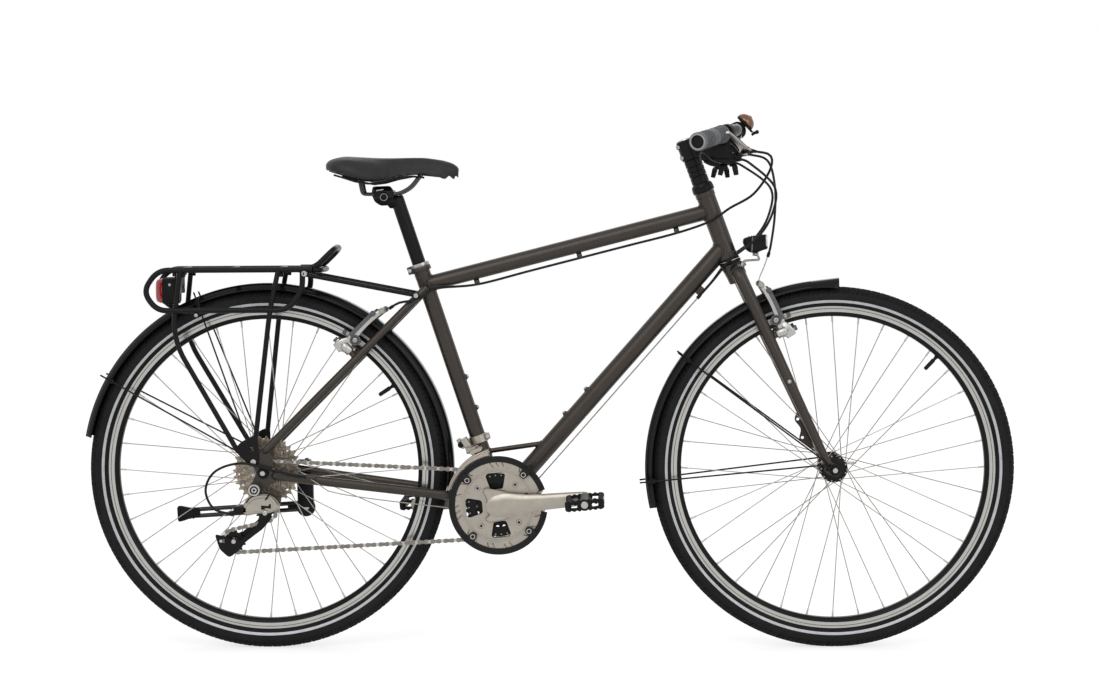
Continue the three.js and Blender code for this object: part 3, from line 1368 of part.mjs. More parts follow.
// The bar's straight grip line on each side, by distance out from the grip's inner end
function grip_line(side, out) {
  const start = shifted(bar_centre, -grip_start_back, side * grip_start_y, -grip_start_drop);
  const end = shifted(bar_centre, -grip_start_back - bar_sweep, side * (grip_start_y + grip_length), -grip_start_drop - bar_slope);
  const way = end.sub(start).normalize();
  return along(start, way, out);
}

function bar_half(side, radius) {
  const shoulder = grip_line(side, bar_shoulder_y - grip_start_y);
  const inner = at_y(bar_centre, side * bar_straight_y);
  const corners = [bar_centre, inner, shoulder, grip_line(side, 0), grip_line(side, grip_length)];
  return loft(rounded(corners, bar_straight_y, 1), () => oval(2 * radius, 2 * radius, round + 2));
}

function handlebar() {
  const halves = [-1, 1].map((side) => bar_half(side, bar_radius));
  const half = bar_centre_width / 2;
  const centre = tube(at_y(bar_centre, -half), at_y(bar_centre, half), bar_centre_radius);
  return join(...halves, centre);
}

function grip(side) {
  const step = grip_length / grip_ribs;
  const low = grip_radius - grip_rib_depth;
  const bore = (bar_radius + gap) / Math.cos(Math.PI / round);
  const ribs = Array.from({ length: grip_ribs }, (_, i) => [[low, i * step], [grip_radius, (i + 0.7) * step]]).flat();
  const profile = [[bore, 0], ...ribs, [grip_radius, grip_length], [bore, grip_length]];
  const points = [...profile, profile[0]].map(([radius, at]) => new THREE.Vector2(radius, at));
  const geometry = new THREE.LatheGeometry(points, round);
  const start = grip_line(side, 0);
  const way = grip_line(side, grip_length).sub(start).normalize();
  geometry.applyQuaternion(new THREE.Quaternion().setFromUnitVectors(vec(0, 1, 0), way));
  return solid(geometry.translate(start.x, start.y, start.z));
}

// Places on a control unit, which hangs from the bar inboard of the grip
const control_on_bar = (side) => grip_line(side, control_y - grip_start_y);
const lever_pivot = (side) => shifted(at_y(control_on_bar(side), side * lever_pivot_y), lever_pivot_forward, 0, -lever_pivot_drop);
const blade_tip = (side) => shifted(lever_pivot(side), -blade_back, side * blade_out, blade_rise);
const shifter_at = (side) => shifted(control_on_bar(side), -shifter_back, 0, -shifter_drop);

// The brake bracket and the shifter body on one bar clamp
function controls(side) {
  const on_bar = control_on_bar(side);
  const way = grip_line(side, grip_length).sub(on_bar).normalize();
  const clamp = rod(along(on_bar, way, -control_clamp_width / 2), along(on_bar, way, control_clamp_width / 2),
    control_clamp_radius);
  const pivot = lever_pivot(side);
  const axis = lever_axis(side);
  const fork_gap = blade_thickness / 2 + lever_pin_gap;
  const reach = fork_gap + lever_pin_gap * 3;
  const neck = loft([on_bar, pivot.clone().lerp(on_bar, 0.5), at_y(pivot, pivot.y - side * lever_body_radius * 1.6)],
    (share) => oval(2 * lever_body_radius, 2 * lever_body_radius * (1 + share * 0.2), mid_round));
  const ears = [-1, 1].map((sign) => rod(along(pivot, axis, sign * fork_gap), along(pivot, axis, sign * reach),
    lever_body_radius, lever_body_radius, round));
  const root = at_y(pivot, pivot.y - side * lever_body_radius * 1.6);
  const body = block(shifter_at(side), shifter_length, shifter_width, shifter_height);
  const post = rod(on_bar, shifter_at(side), lever_body_radius, lever_body_radius, mid_round);
  const exit = at_y(root, root.y - side * shifter_height / 2);
  const barrel = rod(root, shifted(exit, shifter_height, 0, 0), cable_radius * 2, cable_radius * 1.6, small_round);
  const whole = join(clamp, neck, ...ears, body, post, barrel);
  return cut(whole, bar_half(side, bar_radius + gap), pocket(side));
}

const blade_way = (side) => blade_tip(side).sub(lever_pivot(side)).normalize();

// The brake lever turns about an axis square to its blade, in the plane it is pulled in
function lever_axis(side) {
  const to_bar = grip_line(side, grip_length / 2).sub(lever_pivot(side));
  return blade_way(side).cross(to_bar).normalize();
}
const lever_up = (side) => lever_axis(side).cross(blade_way(side)).normalize();

// The room that a lever's root needs between the bracket's ears
function pocket(side) {
  const pivot = lever_pivot(side);
  const axis = lever_axis(side);
  const half = blade_thickness / 2 + lever_pin_gap;
  return rod(along(pivot, axis, -half), along(pivot, axis, half), blade_root_width / 2 + lever_pin_gap * 6);
}

function brake_lever(side) {
  const pivot = lever_pivot(side);
  const axis = lever_axis(side);
  const half = blade_thickness / 2;
  const tip = blade_tip(side);
  const way = [pivot, ...[0.3, 0.6, 0.85].map((share) => along(pivot.clone().lerp(tip, share), lever_up(side),
    -Math.sin(share * Math.PI) * lever_body_radius * 0.5)), tip];
  const blade = loft(way, (share) => {
    const width = THREE.MathUtils.lerp(blade_root_width, blade_tip_width, Math.sqrt(share)) / 2;
    return [[-width, -half], [width, -half], [width, half], [-width, half]];
  }, axis);
  const eye = rod(along(pivot, axis, -half), along(pivot, axis, half), lever_body_radius, lever_body_radius, round);
  return join(blade, eye);
}

// Two thumb triggers under each shifter body, on one pin
const trigger_pivot = (side) => shifted(shifter_at(side), 0, 0, -shifter_height / 2 - trigger_thickness / 2 - running_gap);

function shift_trigger(side, order) {
  const pivot = trigger_pivot(side);
  const forward = order ? trigger_spread : 0;
  const low = -order * (trigger_thickness + running_gap);
  const root = shifted(pivot, forward / 2, side * trigger_width * (order ? 0.4 : -0.4), 0);
  const tip = shifted(root, forward / 2 - trigger_length * 0.3, side * trigger_length * 0.5, -trigger_length * 0.55);
  const arm = bent([root, shifted(root, (tip.x - root.x) / 2, side * trigger_length * 0.3, 0), tip], trigger_thickness / 2,
    trigger_width, small_round, 1);
  const pad = rod(tip, shifted(tip, 0, 0, -trigger_width), trigger_width / 2, trigger_width / 2 - gap, mid_round);
  const hub_disc = rod(shifted(root, 0, 0, -trigger_thickness / 2), shifted(root, 0, 0, trigger_thickness / 2),
    trigger_width * 0.75, trigger_width * 0.75, round);
  return join(arm, pad, hub_disc);
}

// The bell stands on the bar's far side, inboard of the shifter, tilted forward
const bell_on_bar = () => grip_line(1, bell_y - grip_start_y);
const bell_forward = vec(Math.cos(bell_tilt), 0, -Math.sin(bell_tilt));
const bell_up = vec(Math.sin(bell_tilt), 0, Math.cos(bell_tilt));

function bell_spot(forward, side, rise) {
  const ahead = along(bell_on_bar(), bell_forward, forward);
  return along(shifted(ahead, 0, side, 0), bell_up, rise);
}

function bell() {
  const on_bar = bell_on_bar();
  const way = grip_line(1, grip_length).sub(on_bar).normalize();
  const half = control_clamp_width / 2;
  const clamp = rod(along(on_bar, way, -half), along(on_bar, way, half), bar_radius + 2 * clamp_wall);
  const foot = bar_radius + bell_rise / 2;
  const low = foot + bell_rise;
  const shoulder = low + bell_height * bell_shoulder_share;
  const stalk = rod(bell_spot(0, 0, bar_radius), bell_spot(0, 0, low), bell_radius / 3, bell_radius / 3, mid_round);
  const base = rod(bell_spot(0, 0, foot + bell_rise / 2), bell_spot(0, 0, low), bell_radius, bell_radius * 0.97, round);
  const dome = rod(bell_spot(0, 0, low), bell_spot(0, 0, shoulder), bell_radius, bell_radius * 0.75, round);
  const crown = rod(bell_spot(0, 0, shoulder), bell_spot(0, 0, low + bell_height), bell_radius * 0.75,
    bell_radius * 0.3, round);
  const ear = rod(bell_spot(bell_radius / 2, 0, foot + bell_rise * 0.6),
    bell_spot(bell_radius + bell_lever_radius * 2, 0, foot + bell_rise * 0.5), bell_lever_radius, bell_lever_radius,
    mid_round);
  return cut(join(clamp, stalk, base, dome, crown, ear), bar_half(1, bar_radius + gap));
}

const bell_pivot_forward = bell_radius + bell_lever_radius * 3 + gap;
const bell_pivot = () => bell_spot(bell_pivot_forward, 0, bar_radius + bell_rise);

function bell_striker() {
  const rise = bar_radius + bell_rise;
  const tip_forward = bell_pivot_forward + bell_lever_radius;
  const tip_rise = rise + bell_lever_length * 0.3;
  const pivot = bell_pivot();
  const tip = bell_spot(tip_forward, -bell_lever_length, tip_rise);
  const arm = rod(pivot, tip, bell_lever_radius, bell_lever_radius, mid_round);
  const knob = rod(tip, bell_spot(tip_forward + bell_lever_radius * 2, -bell_lever_length, tip_rise + bell_lever_radius),
    bell_lever_radius * 1.6, bell_lever_radius * 1.4, mid_round);
  const hub_disc = rod(bell_spot(bell_pivot_forward - bell_lever_radius, 0, rise),
    bell_spot(bell_pivot_forward + bell_lever_radius, 0, rise), bell_lever_radius * 1.8, bell_lever_radius * 1.8, mid_round);
  return join(arm, knob, hub_disc);
}

// The head lamp on its wire bracket over the fork crown
const lamp_at = on_steer(lamp_up_axis, lamp_forward);

function head_lamp() {
  const body = loft([
    shifted(lamp_at, -lamp_length * 0.62, 0, lamp_height * 0.02), shifted(lamp_at, -lamp_length * 0.4, 0, 0),
    shifted(lamp_at, lamp_length * 0.3, 0, 0), shifted(lamp_at, lamp_length * 0.5, 0, 0)],
  (share) => {
    const grow = share < 0.2 ? 0.55 : 0.85 + share * 0.15;
    const width = (lamp_width / 2) * grow;
    const height = (lamp_height / 2) * grow;
    return [[-width, -height * 0.8], [-width * 0.7, -height], [width * 0.7, -height], [width, -height * 0.8],
      [width, height * 0.8], [width * 0.7, height], [-width * 0.7, height], [-width, height * 0.8]];
  });
  const foot = shifted(lamp_at, 0, 0, -lamp_height / 2 - lamp_wire_radius * 2);
  const lug = rod(shifted(foot, -lamp_wire_radius * 2, 0, 0), shifted(foot, lamp_wire_radius * 3, 0, 0), lamp_wire_radius * 2, lamp_wire_radius * 2, mid_round);
  const neck = rod(foot, shifted(lamp_at, 0, 0, -lamp_height / 3), lamp_wire_radius * 1.5, lamp_wire_radius * 1.5, mid_round);
  const seat = leg_top_forward + leg_top_radius + 2 * gap;
  const front = on_steer(crown_seat - crown_depth / 2, seat + lamp_wire_radius * 1.5);
  const wire = bent([foot, shifted(foot, lamp_wire_radius * 3, 0, -lamp_height * lamp_wire_share), along(front, steer_up, lamp_wire_radius * 2), front], lamp_wire_radius,
    lamp_height / 3, small_round, 2);
  const washer = rod(on_steer(crown_seat - crown_depth / 2, seat), front, lamp_wire_radius * 3, lamp_wire_radius * 3, round);
  return join(body, lug, neck, wire, washer);
}

function mudguard_bracket() {
  const top = on_steer(crown_seat - crown_depth, 0);
  const down = front_axle.clone().sub(top).normalize();
  const reach = top.distanceTo(front_axle) - guard_outer + guard_wall / 2;
  return rod(along(top, down, running_gap * 2), along(top, down, reach), boss_radius, boss_radius, small_round);
}

// Each mudguard with its wire stays, and the strap that hangs the front one from the crown
function front_mudguard() {
  const stays = guard_stays(front_axle, [front_clip_angle, front_clip_angle_lower], -wire_hook, wire_hook, front_wire_y);
  return join(mudguard(front_axle, front_guard_start, front_guard_end), mudguard_bracket(), ...stays);
}

function rear_mudguard() {
  const stays = guard_stays(rear_axle, [rear_clip_angle, rear_clip_angle_upper], eyelet_x, eyelet_rise, rear_wire_y);
  return join(mudguard(rear_axle, rear_guard_start, rear_guard_end), ...stays);
}

const stand_pivot = shifted(rear_axle, stand_clamp_x, stand_pivot_y, -stand_pivot_drop);
const stand_axis = vec(-Math.sin(stand_splay), Math.cos(stand_splay), 0);
const stand_way = vec(-Math.cos(stand_drop_angle), 0, Math.sin(stand_drop_angle));
const on_stand_axis = (length) => along(stand_pivot, stand_axis, length);

function stand_bracket() {
  const half = stand_body_length / 2;
  const stay = chainstay_way(1);
  const near = stay.reduce((best, point) => (
    Math.abs(point.x - stand_clamp_x) < Math.abs(best.x - stand_clamp_x) ? point : best));
  const head = vec(stand_clamp_x, stay_tip_y - chainstay_width / 4, near.z);
  const clamp = block(head, stand_body_length, chainstay_width + 4 * clamp_wall, chainstay_tip_height + 3 * clamp_wall);
  const body = rod(on_stand_axis(-half), on_stand_axis(0), stand_body_radius);
  const neck = loft([head, vec(stand_clamp_x, stand_pivot_y - half / 2, (head.z + stand_pivot.z) / 2), on_stand_axis(-half / 2)],
    () => oval(half, stand_body_radius * 1.5, mid_round), vec(1, 0, 0));
  const bolt = rod(on_stand_axis(0), on_stand_axis(stand_leg_width), stand_rod_radius);
  const room = loft(stay, (share) => oval(
    THREE.MathUtils.lerp(chainstay_width, chainstay_tip_width, share) + 2 * gap,
    THREE.MathUtils.lerp(chainstay_height, chainstay_tip_height, share) + 2 * gap, mid_round));
  return cut(join(clamp, body, neck, bolt), room);
}

// The two rods of the stand and its rubber foot, on a knuckle round the bracket's bolt
function stand_leg() {
  const half = stand_foot_width / 2;
  const knuckle = rod(on_stand_axis(running_gap), on_stand_axis(stand_leg_width), stand_body_radius);
  const across = vec(stand_way.z, 0, -stand_way.x);
  const start = on_stand_axis(stand_leg_width / 2);
  const rods = [-1, 1].map((sign) => rod(
    along(along(start, across, sign * stand_rod_spread), stand_way, stand_body_radius / 2),
    along(along(start, across, sign * stand_rod_spread), stand_way, stand_length), stand_rod_radius));
  const foot_start = along(start, stand_way, stand_length - stand_foot_length / 2);
  const foot = loft([foot_start, along(foot_start, stand_way, stand_foot_length)], (share) => {
    const wide = half * (0.8 + share * 0.4);
    return [[-half * 0.7, -wide], [half * 0.7, -wide], [half * 0.7, wide], [-half * 0.7, wide]];
  });
  const bore = rod(on_stand_axis(-overrun), on_stand_axis(stand_body_length + overrun), stand_rod_radius + running_gap);
  return cut(join(knuckle, ...rods, foot), bore);
}

// Cable routes: points between the pieces that hold them, each list measured from the place it is fixed to
const controls_exit = (side) => {
  const pivot = lever_pivot(side);
  const root_y = pivot.y - side * (lever_body_radius * 1.6 + shifter_height / 2);
  return shifted(at_y(pivot, root_y), shifter_height + 3 * running_gap, 0, 0);
};

const brake_loop = [[74.7, -102, -42.2], [75.7, -76, -70.2], [45.7, -52, -115.2], [0.7, -32, -142.2],
  [-36.3, -22, -167.2]];
const brake_tail = [[22.9, -20, -0.4], [-6.1, -46, -16.4], [-38.1, -50, -30.4], [-71.1, -50, -22.4],
  [-91.1, -48, -29.4]];
const brake_clip_shares = [0.87, 0.7, 0.53, 0.35, 0.17];
const front_brake_loop = [[82.7, 98, -48.2], [95.7, 78, -100.2], [93.7, 60, -160.2], [83.7, 51, -220.2],
  [71.7, 48, -258.2], [63.7, 48, -276.2]];
const shift_loop = [[33.7, 131, -57.2], [85.7, 64, -102.2], [81.7, 46, -154.2], [53.7, 34, -200.2],
  [3.7, 30, -240.2]];
const shift_tail = [[92, -78, -7.8], [60, -80, -3.8], [20, -86, 6.2], [-40, -86, 20.2], [-92, -80, 4.2],
  [-112, -78, -31.8], [-97, -80, -67.8], [-62, -82, -79.4]];
const chain_run = [[7.8, -5, -23.8], [-8.2, -6, -23.8], [-54.2, -24, -13.8]];
const stay_run = [[330, -34, -70.8], [200, -50, -52.8], [122, -71, -34.8], [98, -77, -10.8],
  [86, -78.4, -6.8]];
const front_tail = [[7.8, 5, -23.8], [-8.2, 5, -23.8], [-23.2, 2, -13.8], [-28.2, -2, 4.2],
  [-42.2, -6, 59.2], [-56.2, -14, 107.2]];
const places = (origin, list, side = 1) => list.map(([x, y, z]) => shifted(origin, x, side * y, z));

function rear_brake_cable() {
  const clips = brake_clip_shares.map((share) => top_run(share));
  return cable([controls_exit(-1), ...places(bar_centre, brake_loop), ...clips, ...places(stay_top, brake_tail)], cable_radius, 24);
}

const front_brake_cable = () => cable([controls_exit(1), ...places(bar_centre, front_brake_loop)], cable_radius, 14);

// A housing from a shifter to the stop under the down tube, and the bare wire on from there
function shift_housing(side) {
  const start = shifted(shifter_at(side), shifter_length / 2 + 3 * running_gap, -side * shifter_width / 4, 0);
  const stop = at_y(down_run(down_length - down_stop_from_head), side * stop_spread);
  return cable([start, ...places(bar_centre, shift_loop, side), along(stop, down_dir, 3 * stop_length), along(stop, down_dir, -stop_length)],
    cable_radius, 12);
}

function wire_from_stop(side, rest) {
  const stop = at_y(down_run(down_length - down_stop_from_head), side * stop_spread);
  const low = at_y(down_run(2 * shell_radius), side * stop_spread);
  return bent([along(stop, down_dir, -stop_length / 2), low, ...rest], wire_cable_radius, stop_length, wire_sides - 1, 1);
}

function rear_shift_cable() {
  return join(shift_housing(-1), wire_from_stop(-1, [...places(bracket, chain_run), ...places(rear_axle, stay_run)]), cable(places(rear_axle, shift_tail), cable_radius, 10));
}

const front_shift_cable = () => join(shift_housing(1), wire_from_stop(1, places(bracket, front_tail)));

// Finishes: colour, roughness and metalness
const finishes = {
  frame_paint: [0x3a322c, 0.42, 0.55],
  black_metal: [0x121212, 0.4, 0.5],
  black_plastic: [0x141414, 0.55, 0],
  silver: [0xb9b6ae, 0.3, 1],
  champagne: [0x8d8679, 0.38, 1],
  steel: [0x9a948a, 0.3, 1],
  rubber: [0x1a1a1a, 0.85, 0],
  grip_rubber: [0x74777a, 0.8, 0],
  saddle_skin: [0x151515, 0.7, 0],
  bell_brass: [0x6d4a36, 0.25, 1],
};

const bicycle = new THREE.Group();

function piece(name, finish, body) {
  const [color, roughness, metalness] = finishes[finish];
  const material = new THREE.MeshStandardMaterial({ color, roughness, metalness });
  const mesh = new THREE.Mesh(geometry_of(body), material);
  mesh.name = name;
  bicycle.add(mesh);
}

const both = [[-1, 'right'], [1, 'left']];

piece('main_frame', 'frame_paint', main_frame());
piece('rear_triangle', 'frame_paint', rear_triangle());
piece('bottom_bracket', 'steel', bottom_bracket());
piece('headset_lower', 'black_metal', headset_cup(head_low, gap - lower_cup_height));
piece('headset_upper', 'black_metal', headset_cup(head_high, upper_cup_height));
piece('seat_collar', 'silver', seat_collar());
piece('rear_rack', 'black_metal', rear_rack());
piece('tail_lamp', 'black_plastic', tail_lamp());
piece('rear_mudguard', 'black_plastic', rear_mudguard());
piece('chain', 'steel', chain());
piece('rear_derailleur', 'champagne', rear_derailleur());
piece('front_derailleur', 'silver', front_derailleur());
piece('kickstand_bracket', 'black_metal', stand_bracket());
piece('rear_axle', 'steel', clamp_axle(rear_axle, rear_spacing, dropout_thickness, -1));
piece('rear_brake_cable', 'black_plastic', rear_brake_cable());
piece('rear_shift_cable', 'black_plastic', rear_shift_cable());
piece('front_shift_cable', 'black_plastic', front_shift_cable());

piece('fork', 'frame_paint', fork());
piece('steerer_spacers', 'black_metal', spacers());
piece('stem', 'black_metal', stem());
piece('handlebar', 'black_metal', handlebar());
piece('bell', 'bell_brass', bell());
piece('head_lamp', 'black_plastic', head_lamp());
piece('front_mudguard', 'black_plastic', front_mudguard());
piece('front_axle', 'steel', clamp_axle(front_axle, front_spacing, fork_tab_thickness, 1));
piece('front_brake_cable', 'black_plastic', front_brake_cable());
both.forEach(([side, hand]) => {
  piece(`grip_${hand}`, 'grip_rubber', grip(side));
  piece(`controls_${hand}`, 'black_plastic', controls(side));
  piece(`brake_lever_${hand}`, 'champagne', brake_lever(side));
  piece(`shift_lever_${hand}`, 'black_plastic', shift_trigger(side, 0));
  piece(`release_lever_${hand}`, 'black_plastic', shift_trigger(side, 1));
  piece(`front_brake_arm_${hand}`, 'silver', brake_arm(front_brake, side));
  piece(`rear_brake_arm_${hand}`, 'silver', brake_arm(rear_brake, side));
  piece(`pedal_${hand}`, 'black_plastic', pedal(side));
});
piece('bell_striker', 'black_plastic', bell_striker());

piece('front_rim', 'silver', rim(front_axle));
piece('front_tyre', 'rubber', tyre(front_axle));
piece('front_hub', 'black_metal', hub(front_axle, [-front_flange_y, front_flange_y], front_flange_radius,
  front_barrel_radius));
piece('rear_rim', 'silver', rim(rear_axle));
piece('rear_tyre', 'rubber', tyre(rear_axle));
piece('rear_hub', 'silver', hub(rear_axle, [-rear_flange_right, rear_flange_left], rear_flange_radius,
  rear_barrel_radius));
piece('cassette', 'champagne', cassette());

piece('chainrings', 'silver', chainrings());
piece('chain_guard', 'black_plastic', chain_guard());
piece('crank_right', 'champagne', crank_right());
piece('crank_left', 'champagne', crank_left());
piece('guide_pulley', 'black_plastic', pulley(guide_pulley_at, guide_radius));
piece('tension_pulley', 'black_plastic', pulley(tension_pulley_at, tension_radius));

piece('kickstand_leg', 'black_metal', stand_leg());
piece('seat_post', 'black_metal', seat_post());
piece('saddle_rails', 'steel', saddle_rails());
piece('saddle', 'saddle_skin', saddle());

// The origin goes to the middle of the foot of the whole box
const box = new THREE.Box3().setFromObject(bicycle);
const middle = box.getCenter(vec(0, 0, 0));
bicycle.position.set(-middle.x, -middle.y, -box.min.z);
bicycle.updateMatrixWorld(true);

export default bicycle;
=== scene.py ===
"""Dresses the touring bicycle: smooth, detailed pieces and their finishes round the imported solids.

Inside, lengths are millimetres from the ground under the rear axle, +X forward, +Y left, +Z up.
"""
import json
import math

import bmesh
import bpy
from bpy.props import FloatProperty, FloatVectorProperty, IntProperty, PointerProperty
from mathutils import Matrix, Vector
from mathutils.geometry import tessellate_polygon

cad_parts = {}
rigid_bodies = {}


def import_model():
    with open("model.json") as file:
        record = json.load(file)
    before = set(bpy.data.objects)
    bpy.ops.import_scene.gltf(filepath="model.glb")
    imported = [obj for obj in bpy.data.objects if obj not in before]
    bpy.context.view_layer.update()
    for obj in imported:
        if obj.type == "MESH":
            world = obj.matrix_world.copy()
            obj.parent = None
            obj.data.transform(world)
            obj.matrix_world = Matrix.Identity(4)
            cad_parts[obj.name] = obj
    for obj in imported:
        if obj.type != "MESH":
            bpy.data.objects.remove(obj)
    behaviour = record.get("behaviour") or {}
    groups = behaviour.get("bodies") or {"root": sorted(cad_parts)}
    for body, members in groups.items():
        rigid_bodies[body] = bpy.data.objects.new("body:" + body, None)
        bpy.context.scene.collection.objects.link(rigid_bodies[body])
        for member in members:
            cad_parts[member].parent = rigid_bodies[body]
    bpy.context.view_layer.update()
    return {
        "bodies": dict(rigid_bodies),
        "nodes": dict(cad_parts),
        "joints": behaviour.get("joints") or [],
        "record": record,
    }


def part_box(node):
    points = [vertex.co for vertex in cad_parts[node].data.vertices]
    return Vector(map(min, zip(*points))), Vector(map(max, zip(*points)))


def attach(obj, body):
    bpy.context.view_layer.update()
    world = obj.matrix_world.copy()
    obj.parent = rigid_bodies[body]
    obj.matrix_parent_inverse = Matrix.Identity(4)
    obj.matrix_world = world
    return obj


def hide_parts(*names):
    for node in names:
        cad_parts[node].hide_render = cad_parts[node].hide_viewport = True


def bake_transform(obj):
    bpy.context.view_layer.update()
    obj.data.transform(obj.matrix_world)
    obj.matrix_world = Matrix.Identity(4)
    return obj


bl_info = {
    "name": "Touring bicycle looks",
    "version": (1, 0, 0),
    "blender": (4, 5, 0),
    "location": "View3D > Sidebar > Bicycle",
    "description": "Builds the smooth pieces, finishes and stage of a touring bicycle",
    "category": "Object",
}

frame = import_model()


def middle_of(node):
    low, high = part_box(node)
    return (low + high) / 2


MM = 0.001
REAR_X = middle_of("rear_rim").x / MM
AXLE_HEIGHT = middle_of("rear_rim").z / MM
WHEELBASE = middle_of("front_rim").x / MM - REAR_X


def vec(x, y, z):
    return Vector((x, y, z))


FORWARD, LEFT, RIGHT, UP, DOWN = vec(1, 0, 0), vec(0, 1, 0), vec(0, -1, 0), vec(0, 0, 1), vec(0, 0, -1)


def along(point, way, length, *more):
    """A point moved a length along a way, then along any further pairs of way and length."""
    point = point + way * length
    return along(point, *more) if more else point


def at_y(point, y):
    return vec(point.x, y, point.z)


def shifted(point, x, y, z):
    return vec(point.x + x, point.y + y, point.z + z)


def placed(point):
    """A point in millimetres from under the rear axle, as metres in the row frame."""
    return vec((point.x + REAR_X) * MM, point.y * MM, point.z * MM)


# Places on the bicycle, as in the solids
HEAD_ANGLE, SEAT_ANGLE = math.radians(70), math.radians(71.7)
REAR_AXLE = vec(0, 0, AXLE_HEIGHT)
FRONT_AXLE = vec(WHEELBASE, 0, AXLE_HEIGHT)
CHAINSTAY, BRACKET_DROP = 459, 66
BRACKET = vec(math.sqrt(CHAINSTAY ** 2 - BRACKET_DROP ** 2), 0, AXLE_HEIGHT - BRACKET_DROP)
STEER_UP = vec(-math.cos(HEAD_ANGLE), 0, math.sin(HEAD_ANGLE))
STEER_OUT = vec(math.sin(HEAD_ANGLE), 0, math.cos(HEAD_ANGLE))
SEAT_UP = vec(-math.cos(SEAT_ANGLE), 0, math.sin(SEAT_ANGLE))
SEAT_OUT = vec(math.sin(SEAT_ANGLE), 0, math.cos(SEAT_ANGLE))
CROWN_SEAT, HEAD_LOW, HEAD_HIGH, SEAT_TUBE_LENGTH = 441, 453, 590, 489
STEM_LOW, STEM_HEIGHT = 658, 40
TYRE_RADIUS = 352.8


def on_steer(height, forward=0.0):
    return at_y(along(FRONT_AXLE, STEER_OUT, -48.8, STEER_UP, height, STEER_OUT, forward), 0)


def on_seat(height, forward=0.0):
    return at_y(along(BRACKET, SEAT_UP, height, SEAT_OUT, forward), 0)


def around(centre, radius, angle, y=0.0):
    return vec(centre.x + radius * math.cos(angle), y, centre.z + radius * math.sin(angle))


def way_at(angle):
    """The way out from an axle at an angle."""
    return around(vec(0, 0, 0), 1, angle)


TOP_TUBE_HEAD = on_steer(HEAD_HIGH - 38.6)
TOP_TUBE_SEAT = on_seat(SEAT_TUBE_LENGTH - 39)
DOWN_TUBE_HEAD = on_steer(HEAD_LOW + 24.5)
DOWN_WAY = (DOWN_TUBE_HEAD - BRACKET).normalized()
DOWN_UNDER = vec(DOWN_WAY.z, 0, -DOWN_WAY.x)
TOP_WAY = (TOP_TUBE_HEAD - TOP_TUBE_SEAT).normalized()
TOP_UNDER = vec(TOP_WAY.z, 0, -TOP_WAY.x)
STAY_TIP = shifted(REAR_AXLE, 6, 0, 45)
STAY_TOP = on_seat(SEAT_TUBE_LENGTH - 46)
STAY_WAY = (STAY_TOP - STAY_TIP).normalized()
STAY_BACK = vec(-STAY_WAY.z, 0, STAY_WAY.x)
LEG_RAKE = math.radians(4.7)
LEG_WAY = Matrix.Rotation(-LEG_RAKE, 3, "Y") @ STEER_UP
LEG_OUT = vec(LEG_WAY.z, 0, -LEG_WAY.x)
LEG_TOP = on_steer(CROWN_SEAT, 5)
LEG_BOTTOM = along(LEG_TOP, LEG_WAY, -(LEG_TOP.z - AXLE_HEIGHT - 14) / LEG_WAY.z)
CRANK_ANGLE = math.radians(5.4)
GUIDE_PULLEY = shifted(REAR_AXLE, 1, 0, -74)
TENSION_PULLEY = shifted(REAR_AXLE, -60, 0, -134)
BAR_CENTRE = on_steer(STEM_LOW + STEM_HEIGHT / 2, 82)


def on_stay_at(radius):
    start = STAY_TIP - REAR_AXLE
    b = start.dot(STAY_WAY)
    return along(STAY_TIP, STAY_WAY, -b + math.sqrt(b * b - start.length_squared + radius ** 2))


